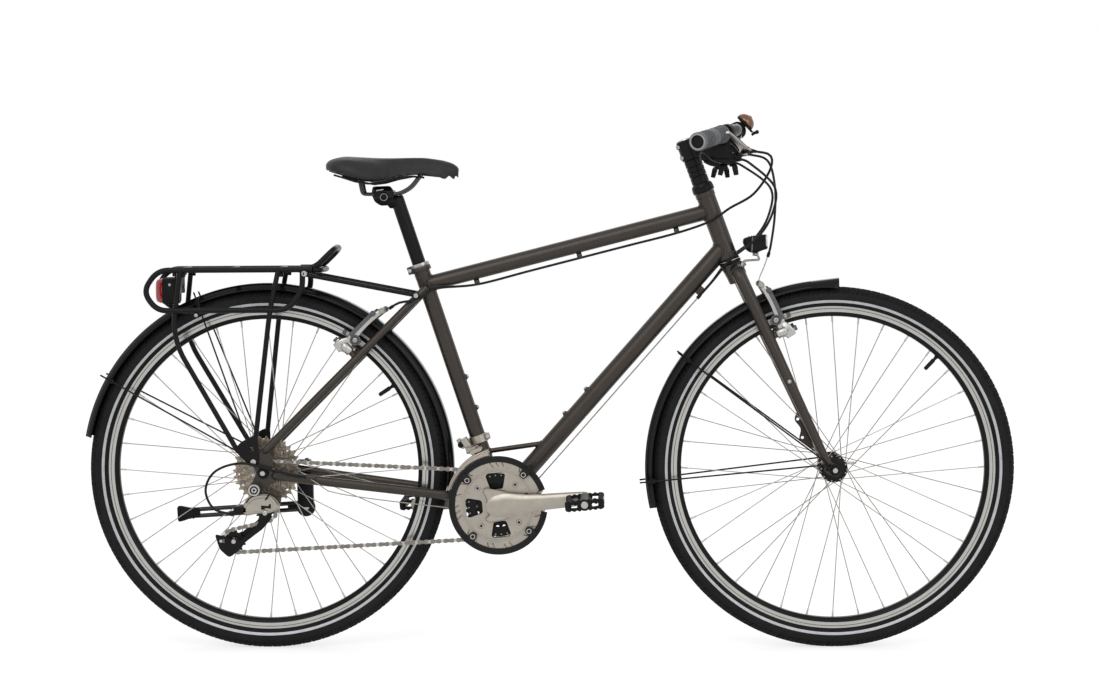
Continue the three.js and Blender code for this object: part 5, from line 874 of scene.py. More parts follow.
def hub(centre, flanges, barrel, spacing, cap):
    """A hub shell with two flanges and its end caps."""
    right, left = flanges
    half = FLANGE_THICKNESS / 2
    profile = [(right - half, 5.7), (right - half - 0.6, cap), (right - half, cap + 1),
               (right - half, FLANGE_RADIUS - 1), (right - half + 0.8, FLANGE_RADIUS),
               (right + half - 0.8, FLANGE_RADIUS), (right + half, FLANGE_RADIUS - 1),
               (right + half + 0.3, barrel + 4), (right + half + 4, barrel), ((right + left) / 2, barrel - 1),
               (left - half - 4, barrel), (left - half - 0.3, barrel + 4), (left - half, FLANGE_RADIUS - 1),
               (left - half + 0.8, FLANGE_RADIUS), (left + half - 0.8, FLANGE_RADIUS),
               (left + half, FLANGE_RADIUS - 1), (left + half, cap + 1), (left + half + 0.6, cap),
               (left + half, 5.7)]
    form = Form().turned(at_y(centre, 0), LEFT, profile, 64)
    for side, flange in ((-1, right), (1, left)):
        end = side * (spacing / 2 - 4.6)
        form.turned(at_y(centre, 0), LEFT,
                    sorted([(flange + side * half, cap), (flange + side * (half + 3), cap - 1),
                            (flange + side * (half + 4), cap - 4), (end - side * 2, 11), (end, 10)]), 40)
    return form


def clamp_axle(centre, spacing, dropout, lever_way):
    """The quick-release axle: cones, a skewer with its nut at the drive side and its lever at the other."""
    seat = spacing / 2 + dropout + 0.3
    form = Form()
    for side in (-1, 1):
        form.turned(centre, vec(0, side, 0), [(spacing / 2 - 4.3, 8.6), (spacing / 2 - 3.6, 9.2, 6),
                                              (spacing / 2 - 0.6, 9.2, 6), (spacing / 2 - 0.3, 8.4)], 24)
    form.rod(at_y(centre, -seat - 10.5), at_y(centre, seat + 4), 4.9)
    form.turned(at_y(centre, -seat), RIGHT, [
        (0, 10.6), (0.6, 11), (3.4, 11), (4.2, 10.2), (4.4, 9, 6), (8.8, 8.4, 6), (9, 5.6), (9, 0)], 30, 1)
    form.turned(at_y(centre, seat), LEFT, [(0, 10.6), (0.6, 11), (8, 11), (9, 10), (9, 0)], 30)
    y = seat + 5.5
    way = vec(lever_way, 0, 0)
    path = [at_y(centre, y), shifted(at_y(centre, y), lever_way * 14, 1.5, 0),
            shifted(at_y(centre, y), lever_way * 34, 7, 0), shifted(at_y(centre, y), lever_way * 52, 12.5, 0)]
    form.sweep(smooth_way(path, 6), lambda share, i: oblong(6.5 - 2 * share, 11 + 5 * math.sin(share * 2.6),
                                                            2), up=LEFT if abs(way.x) else None)
    return form


class BICYCLE_OT_wheels(bpy.types.Operator):
    """Builds both wheels: tyres with tread, rims, spokes, hubs and clamp axles"""

    bl_idname = "bicycle.wheels"
    bl_label = "Wheels"

    def execute(self, context):
        track = finish("braking track", colours().silver, 0.24, metallic=1.0, vary=0.05, scale=30, bump=0.16,
                       rough_vary=0.06)
        groove = finish("wear line", (0.05, 0.05, 0.05), 0.5, metallic=0.5, vary=0.1, bump=0.05)
        for name, centre, flanges, barrel, spacing, dropout, lever, cap, angle in (
                ("front", FRONT_AXLE, FRONT_FLANGES, 21, FRONT_SPACING, 6, 1, 23.5, math.radians(46.6)),
                ("rear", REAR_AXLE, REAR_FLANGES, 13, REAR_SPACING, 6.5, -1, 15, math.radians(33.4))):
            body = f"{name}_wheel"
            piece(f"tyre_{name}", tyre(centre), [rubber(), tyre_wall(), stripe()], body, [f"{name}_tyre"],
                  30)
            piece(f"rim_{name}", rim(centre), [track, satin_black(), groove], body, [f"{name}_rim"],
                  25)
            piece(f"valve_{name}", valve(centre, angle), [plastic_black()], body)
            piece(f"spokes_{name}", spokes(centre, flanges), [steel_metal(), silver_metal()], body)
            hub_finish = satin_black() if name == "front" else silver_metal()
            piece(f"hub_shell_{name}", hub(centre, flanges, barrel, spacing, cap), [hub_finish], body,
                  [f"{name}_hub"])
            piece(f"clamp_axle_{name}", clamp_axle(centre, spacing, dropout, lever),
                  [silver_metal(), satin_black()], "steering" if name == "front" else "frame",
                  [f"{name}_axle"])
        return {"FINISHED"}


# The frame: head, seat, down and top tube, shell, bosses and cable stops
HEAD_RADIUS, SEAT_RADIUS, DOWN_RADIUS, TOP_RADIUS, SHELL_RADIUS, SHELL_HALF = 18.3, 15.5, 17.5, 15.2, 21, 34
STOP_DROP, STOP_SPREAD = 5, 5
GUARD_RADIUS, GUARD_HALF, GUARD_DEPTH, GUARD_WALL = 366, 25, 14, 1.8


def down_run(length, drop=0.0, y=0.0):
    return at_y(along(BRACKET, DOWN_WAY, length, DOWN_UNDER, DOWN_RADIUS + STOP_DROP + drop), y)


def top_run(share, drop=0.0):
    return along(TOP_TUBE_SEAT.lerp(TOP_TUBE_HEAD, share), TOP_UNDER, TOP_RADIUS + STOP_DROP + drop)


DOWN_STOP = (DOWN_TUBE_HEAD - BRACKET).length - 96
BEAD_STEPS = 120


def weld(form, start, way, radius, at, axis, at_radius, size=None):
    """The rippled bead where a round tube, set out from a start along its way, meets a round body."""
    size = size or details().bead_radius
    way, axis = way.normalized(), axis.normalized()
    side = way.orthogonal().normalized()
    rise = way.cross(side)
    across = way - axis * way.dot(axis)
    path = []
    for j in range(BEAD_STEPS):
        angle = 2 * math.pi * j / BEAD_STEPS
        point = start + side * (radius * math.cos(angle)) + rise * (radius * math.sin(angle))
        off = point - at
        off -= axis * off.dot(axis)
        a, b, c = across.length_squared, 2 * off.dot(across), off.length_squared - at_radius ** 2
        inside = max(b * b - 4 * a * c, 0.0)
        path.append(point + way * ((-b - math.sqrt(inside)) / (2 * a)))
    ripples = max(int(radius * 1.5), 8)
    form.sweep(path, lambda share, i: oval(
        *([size * (1.75 + 0.35 * abs(math.sin(math.pi * ripples * i / BEAD_STEPS)))] * 2), 8), loop=True)


def ring_weld(form, centre, way, radius, size=None):
    """A rippled bead round a tube that stands square on a plate or end."""
    size = size or details().bead_radius
    side = way.orthogonal().normalized()
    rise = way.normalized().cross(side)
    path = [centre + side * (radius * math.cos(2 * math.pi * j / 72))
            + rise * (radius * math.sin(2 * math.pi * j / 72)) for j in range(72)]
    form.sweep(path, lambda share, i: oval(*([size * (1.7 + 0.4 * abs(math.sin(math.pi * i / 6)))] * 2),
                                           8), loop=True)


def main_frame():
    """The front triangle's tubes with their weld beads."""
    sides = details().tube_sides
    form = Form()
    length = HEAD_HIGH - HEAD_LOW
    form.turned(on_steer(HEAD_LOW), STEER_UP, [
        (0, 17.0), (0, HEAD_RADIUS + 0.6), (0.4, HEAD_RADIUS + 1), (9, HEAD_RADIUS + 1), (10.5, HEAD_RADIUS),
        (length - 10.5, HEAD_RADIUS), (length - 9, HEAD_RADIUS + 1), (length - 0.4, HEAD_RADIUS + 1),
        (length, HEAD_RADIUS + 0.6), (length, 17.0)], 64, loop=True)
    form.turned(BRACKET, SEAT_UP, [(0, SEAT_RADIUS), (SEAT_TUBE_LENGTH - 26, SEAT_RADIUS),
                                   (SEAT_TUBE_LENGTH - 24, SEAT_RADIUS + 0.5),
                                   (SEAT_TUBE_LENGTH - 0.4, SEAT_RADIUS + 0.5),
                                   (SEAT_TUBE_LENGTH, SEAT_RADIUS), (SEAT_TUBE_LENGTH, 13.7),
                                   (SEAT_TUBE_LENGTH - 20, 13.7), (0, 13.7)], sides, loop=True)
    form.rod(BRACKET, DOWN_TUBE_HEAD, DOWN_RADIUS, sides=sides)
    form.rod(TOP_TUBE_SEAT, TOP_TUBE_HEAD, TOP_RADIUS, sides=sides)
    sleeve(form, at_y(BRACKET, -SHELL_HALF), LEFT, 2 * SHELL_HALF, SHELL_RADIUS, 17.6)
    brace_high, brace_low = on_seat(103), along(BRACKET, DOWN_WAY, 156)
    form.rod(brace_high, brace_low, 5)
    weld(form, along(TOP_TUBE_HEAD, TOP_WAY, -60), TOP_WAY, TOP_RADIUS, on_steer(0), STEER_UP, HEAD_RADIUS)
    weld(form, along(DOWN_TUBE_HEAD, DOWN_WAY, -60), DOWN_WAY, DOWN_RADIUS, on_steer(0), STEER_UP,
         HEAD_RADIUS)
    weld(form, along(TOP_TUBE_SEAT, TOP_WAY, 60), -TOP_WAY, TOP_RADIUS - 0.4, BRACKET, SEAT_UP, SEAT_RADIUS)
    weld(form, along(BRACKET, DOWN_WAY, 70), -DOWN_WAY, DOWN_RADIUS, BRACKET, LEFT, SHELL_RADIUS)
    weld(form, along(BRACKET, SEAT_UP, 70), -SEAT_UP, SEAT_RADIUS, BRACKET, LEFT, SHELL_RADIUS)
    brace_way = (brace_low - brace_high).normalized()
    weld(form, along(brace_high, brace_way, 50), -brace_way, 5, BRACKET, SEAT_UP, SEAT_RADIUS, 1.6)
    weld(form, along(brace_low, brace_way, -50), brace_way, 5, BRACKET, DOWN_WAY, DOWN_RADIUS, 1.6)
    upper = vec(-DOWN_WAY.z, 0, DOWN_WAY.x)
    for i in (0, 1):
        low, back = along(BRACKET, DOWN_WAY, 215 + i * 63.5), on_seat(190 + i * 63.5)
        for foot, out, radius in ((low, upper, DOWN_RADIUS), (back, SEAT_OUT, SEAT_RADIUS)):
            form.turned(along(foot, out, radius - 2), out,
                        [(0, 7), (2.6, 6.4), (3.2, 5), (5, 4.6), (5, 0)], 24)
            form.bolt(along(foot, out, radius + 2.9), out, 3.7, 2.6, 1)
    for share in (0.17, 0.53, 0.87):
        middle = top_run(share)
        form.turned(along(middle, TOP_WAY, -5), TOP_WAY, [
            (0, 4.3), (0, 5.2), (0.6, 5.7), (9.4, 5.7), (10, 5.2), (10, 4.3)], 24, loop=True)
        form.bar(along(middle, TOP_WAY, -4, TOP_UNDER, -5.4), along(middle, TOP_WAY, 4, TOP_UNDER, -5.4),
                 6, 3, TOP_UNDER, 1)
    for side in (-1, 1):
        stop = down_run(DOWN_STOP, 0, side * STOP_SPREAD)
        form.turned(along(stop, DOWN_WAY, -9), DOWN_WAY, [(0, 1.6), (0, 3.4), (1, 4), (17, 4.8), (18, 4.4),
                                                          (18, 3.2), (2.5, 3.2), (2.5, 1.6)], 24, loop=True)
    form.bar(along(down_run(DOWN_STOP, -4), DOWN_WAY, -9), along(down_run(DOWN_STOP, -4), DOWN_WAY, 9), 17, 6,
             DOWN_UNDER, 2)
    guide = shifted(BRACKET, 0, 0, -SHELL_RADIUS - 1)
    form.block(guide, 22, 22, 4, corner=1.5, finish=2)
    form.bolt(shifted(guide, 0, 0, -2), DOWN, 3.2, 1.8, 1)
    return form


def chainstay_way(side):
    tip, root = shifted(REAR_AXLE, 22, 0, -6), shifted(BRACKET, 0, 0, 4)
    points = [at_y(tip.lerp(root, share), side * y)
              for share, y in ((1, 24), (0.9, 28), (0.78, 38.5), (0, 70.5))]
    return rounded(points, 38.5, 8)


def seatstay_way(side):
    points = [at_y(STAY_TIP.lerp(STAY_TOP, share), side * y)
              for share, y in ((1, 22), (0.87, 37), (0.7, 42), (0, 70.5))]
    return rounded(points, 42, 8)


PIVOT_RADIUS, TRACK_RADIUS, PAD_STEP = 284, 310.25, 0.6


def brake_foot(point, way, centre):
    """Where a stay or leg passes the radius of the brake pivots."""
    start = point - centre
    b = start.dot(way)
    return along(point, way, -b + math.sqrt(max(b * b - start.length_squared + PIVOT_RADIUS ** 2, 0)))


class Brake:
    """Where one pair of brake arms stands: the foot on the stay or leg, how it rises, where it faces."""

    def __init__(self, foot, rise, face, centre):
        self.foot, self.rise, self.face, self.centre = foot, rise, face, centre

    def pivot(self, side):
        return at_y(along(self.foot, self.face, 27), side * 41)


FRONT_BRAKE = Brake(brake_foot(LEG_BOTTOM, LEG_WAY, FRONT_AXLE), LEG_WAY, LEG_OUT, FRONT_AXLE)
REAR_BRAKE = Brake(brake_foot(STAY_TIP, STAY_WAY, REAR_AXLE), STAY_WAY, STAY_BACK, REAR_AXLE)


def brake_post(form, brake, side):
    start = at_y(brake.foot, side * 41)
    form.turned(start, brake.face, [(0, 7.4), (9, 7), (11, 6), (17, 6), (17, 0)], 28)
    form.block(at_y(along(brake.foot, brake.face, 5), side * 41), 8, 13, 18, 0.9, 2)


def dropout(form, side):
    """One rear end plate: axle slot, rack eyelet and, at the drive side, the hanger."""
    low = [(-29, -32), (-25, -42), (-16, -46), (-7, -42), (-4, -32)] if side < 0 else [
        (-8, -13), (3, -14)]
    tip, back = STAY_TIP - REAR_AXLE, STAY_BACK
    outline = [(34, -13), (34, 1), (20, 13), (tip.x - back.x * 8 + 2, tip.z - back.z * 8),
               (tip.x + back.x * 8, tip.z + back.z * 8), (-12, 31), (-21, 29.5), (-25.5, 22),
               (-20, 12), (-13, 0)] + low
    outline = rounded_outline(outline, 6, 4)
    form.plate(outline, side * (REAR_SPACING / 2 + 3.25), 6.5,
               [circle(3, 16, -18, 22), circle(4.4, 24, 19, 5)], 0.8, centre=REAR_AXLE)


def rear_triangle():
    form = Form()
    for side in (-1, 1):
        form.sweep(chainstay_way(side), lambda share, i: oval(16.5 - 2.5 * share, 25 - 7 * share, 36), up=UP)
        form.tube(seatstay_way(side), 8, 36)
        dropout(form, side)
        ring_weld(form, at_y(STAY_TIP, side * 70.5), STAY_WAY, 7.4, 1.7)
        tip = shifted(REAR_AXLE, 24, side * 70.3, -6)
        form.ball(tip, 8.2, FORWARD, 1.2)
        form.ball(at_y(STAY_TIP, side * 70.3), 8.1, STAY_WAY, 1.2)
        brake_post(form, REAR_BRAKE, side)
        root = chainstay_way(side)[0]
        way = (chainstay_way(side)[2] - root).normalized()
        weld(form, along(at_y(root, side * 26), way, 60), -way, 11.5, BRACKET, LEFT, SHELL_RADIUS, 1.9)
        top = seatstay_way(side)
        stay_way = (top[2] - top[0]).normalized()
        weld(form, along(top[0], stay_way, 45), -stay_way, 7.8, BRACKET, SEAT_UP, SEAT_RADIUS, 1.6)
        eyelet = shifted(REAR_AXLE, -18, side * (REAR_SPACING / 2 + 6.5), 22)
        form.turned(shifted(eyelet, 0, -side * 6.5, 0), vec(0, side, 0),
                    [(0, 7), (6.6, 7), (7, 6.5), (7, 0)], 24)
    high = on_stay_at(GUARD_RADIUS + 16)
    low = around(REAR_AXLE, GUARD_RADIUS + 6.3, math.radians(-7))
    for middle, half in ((high, 42), (low, 38.5)):
        form.tube(rounded([at_y(middle, -half), at_y(middle, half)], 5), 6, 28)
        for side in (-1, 1):
            ring_weld(form, at_y(middle, side * (half - 7.5)), LEFT, 6, 1.6)
    inward = (REAR_AXLE - high).normalized()
    form.turned(high, inward, [(0, 5.2), (15.4, 4.8), (15.4, 0)], 24)
    form.bolt(along(high, inward, -4.6), -inward, 5, 3.6, 1)
    side_stop = vec(92, -78.6, AXLE_HEIGHT - 7)
    form.turned(shifted(side_stop, -7, 0, 0), vec(1, 0, -0.08), [
        (0, 2.6), (0, 4.4), (1, 5), (17, 4.4), (18, 3.6), (18, 1.4)], 24, loop=True)
    form.block(shifted(side_stop, 2, 4.4, -1), 14, 8, 6, corner=1.5)
    return form


def sleeve(form, start, way, length, radius, bore, edge=0.6, finish=0, sides=64):
    """A hollow turned ring with its outer edges broken."""
    form.turned(start, way, [(0, bore), (0, radius - edge), (edge, radius), (length - edge, radius),
                             (length, radius - edge), (length, bore)], sides, finish, loop=True)


class BICYCLE_OT_frame(bpy.types.Operator):
    """Builds the front triangle, the rear stays, the bottom bracket, the headset and the seat collar"""

    bl_idname = "bicycle.frame"
    bl_label = "Frame"

    def execute(self, context):
        paint = frame_paint()
        piece("front_triangle", main_frame(), [paint, silver_metal(), plastic_black()], "frame",
              ["main_frame"], 32)
        piece("rear_stays", rear_triangle(), [paint, silver_metal()], "frame", ["rear_triangle"],
              32)
        self.bottom_bracket()
        self.headset()
        self.collar()
        return {"FINISHED"}

    def bottom_bracket(self):
        form = Form()
        for side in (-1, 1):
            start = at_y(BRACKET, side * SHELL_HALF)
            teeth = [((19.8 if i % 2 else 18.4) * math.cos(math.pi * i / 16),
                      (19.8 if i % 2 else 18.4) * math.sin(math.pi * i / 16)) for i in range(32)]
            form.plate(teeth, start.y + side * 1.75, 3.4, [circle(9.7, 32)], 0.5, centre=BRACKET)
            sleeve(form, at_y(BRACKET, side * SHELL_HALF), vec(0, -side, 0), 20, 17.1, 9.7)
        piece("bracket_cups", form, [satin_black()], "frame", ["bottom_bracket"])

    def headset(self):
        form = Form()
        form.turned(on_steer(CROWN_SEAT + 0.3), STEER_UP,
                    [(0, 15), (0, 20.4), (1, 21.5), (5.4, 21.5), (6, 20.6), (7, 20.6), (7.6, 21),
                     (11.4, 19.8), (11.7, 15)], 64, [0, 0, 0, 0, 1, 1, 0, 0, 0], loop=True)
        piece("cup_low", form, [satin_black(), silver_metal()], "frame", ["headset_lower"])
        form = Form()
        form.turned(on_steer(HEAD_HIGH + 0.3), STEER_UP,
                    [(0, 15), (0, 19.8), (1, 21.2), (5, 21.5), (9.6, 21.5), (10, 20.8), (10.8, 20.8),
                     (11.2, 21.3), (14, 20.6), (17.6, 17.8), (17.6, 15)], 64, loop=True)
        piece("cup_high", form, [satin_black()], "frame", ["headset_upper"])

    def collar(self):
        form = Form()
        low = SEAT_TUBE_LENGTH - 12
        form.turned(on_seat(low), SEAT_UP, [(0, 15.9), (0, 18.9), (0.6, 19.5), (5, 19.5), (6, 18.7),
                                            (10, 18.7), (11, 19.5), (15.4, 19.5), (16, 18.9), (16, 15.9)],
                    64, loop=True)
        lug = on_seat(low + 8, -SEAT_RADIUS - 5.6)
        for side in (-1, 1):
            form.bar(at_y(along(lug, SEAT_UP, -7.4), side * 4.4), at_y(along(lug, SEAT_UP, 7.4), side * 4.4),
                     5.6, 9, SEAT_OUT, 2, finish=1)
        form.turned(on_seat(low - 0.3), SEAT_UP, [(0, 16), (0, 19.4), (0.8, 20), (8.6, 20), (9.4, 19.4),
                                                  (9.4, 16)], 64, 1, loop=True)
        form.bolt(at_y(lug, -7), RIGHT, 4, 3.4)
        form.turned(at_y(lug, 7), LEFT, [(0, 4, 6), (3, 4, 6), (3, 0)], 24)
        piece("collar", form, [silver_metal(), frame_paint()], "frame", ["seat_collar"])


def leg_way(side):
    top = along(at_y(LEG_TOP, side * 42), LEG_WAY, -37.4)
    shoulder = at_y(along(LEG_TOP, LEG_WAY, -18.7), side * 30.2)
    neck = at_y(along(LEG_TOP, LEG_WAY, -12.2), 0)
    bottom = at_y(LEG_BOTTOM, side * 56)
    return smooth_way([neck, shoulder, top] + [top.lerp(bottom, share) for share in (0.25, 0.5, 0.75, 1)], 7)


def fork():
    """Crown, two tapering legs, end plates, brake posts, lamp and rack bosses and the disc tab."""
    form = Form()
    form.turned(on_steer(CROWN_SEAT - 38), STEER_UP, [(0, 12), (0, 14), (2, 15.6), (12, 16.4), (26, 18.6), (
        34, 20.2), (37.4, 20.6), (37.7, 19.8), (37.7, 0)], 64)
    form.rod(on_steer(CROWN_SEAT - 10), on_steer(HEAD_HIGH + 104), 14.3, sides=40)
    for side in (-1, 1):
        way = leg_way(side)
        form.tube(way, lambda share: 13.5 - 5.5 * max(0.0, (share - 0.2) / 0.8) ** 1.1, 40)
        form.ball(way[-1], 8.1, LEG_WAY, 1.0, 32)
        bottom = LEG_BOTTOM - FRONT_AXLE
        outline = rounded_outline([
            (3, -14), (11, -8), (12, 2), (bottom.x + LEG_OUT.x * 8, bottom.z + LEG_OUT.z * 8),
            (bottom.x - LEG_OUT.x * 8, bottom.z - LEG_OUT.z * 8 + 4), (-18, 8), (-21, -2), (-14, -8)], 5, 4)
        form.plate(outline, side * 53, 6, [circle(2.6, 16, -14.5, 1)], 0.8, centre=FRONT_AXLE)
        rider = along(LEG_TOP, LEG_WAY, -37.4).lerp(LEG_BOTTOM, 0.55)
        form.turned(at_y(rider, side * 44), vec(0, side, 0), [(0, 5.6), (15, 5.2), (17, 4.8), (17, 0)], 24)
        form.bolt(at_y(rider, side * 60.8), vec(0, side, 0), 3.8, 2.4, 1)
        brake_post(form, FRONT_BRAKE, side)
        ring_weld(form, way[9], (way[10] - way[8]).normalized(), 13.3, 1.6)
    foot = along(LEG_BOTTOM, LEG_WAY, 50)
    tab = [along(LEG_BOTTOM, LEG_WAY, 8), along(foot, LEG_WAY, 60), along(foot, LEG_WAY, 40, LEG_OUT, -20),
           along(foot, LEG_WAY, 18, LEG_OUT, -14), along(foot, LEG_OUT, -28)]
    outline = rounded_outline([(p.x, p.z) for p in tab], 7, 4)
    holes = [circle(3, 16, p.x, p.z) for p in (along(foot, LEG_WAY, 1, LEG_OUT, -19.5),
                                               along(foot, LEG_WAY, 38, LEG_OUT, -12.5))]
    form.plate(outline, 56, 6, holes, 0.8)
    return form


class BICYCLE_OT_fork(bpy.types.Operator):
    """Builds the fork"""

    bl_idname = "bicycle.fork"
    bl_label = "Fork"

    def execute(self, context):
        piece("fork_legs", fork(), [frame_paint(), silver_metal()], "steering", ["fork"], 32)
        return {"FINISHED"}


# Mudguards: a rolled strip with beaded edges, its wire stays, clips and bolts
def guard_section(grow=1.0):
    """The strip's section as (side, height): outside from edge to edge, then back inside."""
    outside = []
    for i in range(25):
        a = -1 + i / 12
        outside.append((a * GUARD_HALF * grow, -abs(a) ** 3.8 * GUARD_DEPTH))
    inside = [(a * (1 - GUARD_WALL / GUARD_HALF), b - GUARD_WALL * (1 + b / GUARD_DEPTH)) for a, b in outside]
    return outside + list(reversed(inside))


def guard_strip(centre, start, end, flare_at=None):
    rings = []
    steps = int(abs(end - start) * 60)
    for i in range(steps + 1):
        angle = start + (end - start) * i / steps
        flare = 0.0
        if flare_at is not None:
            flare = max(0.0, 1 - abs(angle - flare_at) * GUARD_RADIUS / 55) ** 2
        out = way_at(angle)
        ends = max(0.0, 1 - min(abs(angle - start), abs(angle - end)) * GUARD_RADIUS / 7)
        rings.append([
            shifted(around(centre, GUARD_RADIUS, angle), 0, a * (1 - 0.14 * ends ** 2), 0)
            + out * (b * (1 + 0.45 * flare) + 4 * flare) for a, b in guard_section(1 + 0.02 * flare)])
    return Form().rings(rings)


def guard_ridges(form, centre, start, end):
    """Two fine ridges along the strip and its rolled edges."""
    steps = int(abs(end - start) * 40)
    for a in (-0.96, -0.55, 0.55, 0.96):
        rise = -abs(a) ** 3.8 * GUARD_DEPTH
        path = [at_y(around(centre, GUARD_RADIUS + rise + 0.1, start + (end - start) * i / steps),
                     a * GUARD_HALF) for i in range(steps + 1)]
        form.tube(path, 0.9 if abs(a) < 0.9 else 1.25, 8)


def guard_stay(form, centre, angle, foot_x, foot_rise, foot_y):
    """One wire stay: up from its eyelet, through a clip on each edge."""
    top = around(centre, GUARD_RADIUS - GUARD_DEPTH, angle)
    out = way_at(angle)
    tangent = vec(-out.z, 0, out.x)
    for side in (-1, 1):
        edge = at_y(top, side * (GUARD_HALF + 3))
        foot = shifted(centre, foot_x, side * foot_y, foot_rise)
        way = (foot - edge).normalized()
        loop = [shifted(foot, 5, 0, -3), shifted(foot, 3, 0, -5.5), shifted(foot, -2, 0, -5.5),
                shifted(foot, -5.5, 0, -2), shifted(foot, -5, 0, 3), along(foot, way, -9),
                along(foot, way, -30), edge, along(edge, way, -8)]
        form.tube(smooth_way(loop, 6), 1.65, 10, 1)
        form.bar(at_y(along(top, out, -5), side * (GUARD_HALF + 1.5)),
                 at_y(along(top, out, 7), side * (GUARD_HALF + 1.5)), 5.5, 9, tangent, 1.5, finish=2)
        form.bolt(at_y(along(top, out, 1), side * (GUARD_HALF + 4)), vec(0, side, 0), 3.2, 2, 1)


class BICYCLE_OT_mudguards(bpy.types.Operator):
    """Builds both mudguards with their wire stays"""

    bl_idname = "bicycle.mudguards"
    bl_label = "Mudguards"

    def execute(self, context):
        gloss, wire, clip = gloss_black(), satin_black(), plastic_black()
        start, end = math.radians(88), math.radians(192.5)
        form = guard_strip(FRONT_AXLE, start, end, start)
        guard_ridges(form, FRONT_AXLE, start + 0.15, end)
        guard_stay(form, FRONT_AXLE, math.radians(143), -12, 12, 68)
        guard_stay(form, FRONT_AXLE, math.radians(184), -12, 12, 68)
        top = on_steer(CROWN_SEAT - 34)
        down = (FRONT_AXLE - top).normalized()
        reach = (top - FRONT_AXLE).length - GUARD_RADIUS + 1
        form.turned(along(top, down, 1.2), down, [(0, 4.5), (reach - 2, 4.5), (reach - 1.8, 8), (reach, 8),
                                                  (reach, 0)], 24, finish=3)
        piece("guard_front", form, [gloss, wire, clip, silver_metal()], "steering", ["front_mudguard"],
              35)
        start, end = math.radians(-7), math.radians(169.5)
        form = guard_strip(REAR_AXLE, start, end)
        guard_ridges(form, REAR_AXLE, start, end)
        guard_stay(form, REAR_AXLE, math.radians(150), -18, 22, 65)
        guard_stay(form, REAR_AXLE, math.radians(112), -18, 22, 65)
        piece("guard_rear", form, [gloss, wire, clip, silver_metal()], "frame", ["rear_mudguard"],
              35)
        return {"FINISHED"}


# The rack and the tail lamp that hangs on it
RACK_DECK, RACK_TAIL, RACK_RAIL = 393, 352, 315


def on_rack(x, rise, y):
    return vec(x, y, AXLE_HEIGHT + rise)


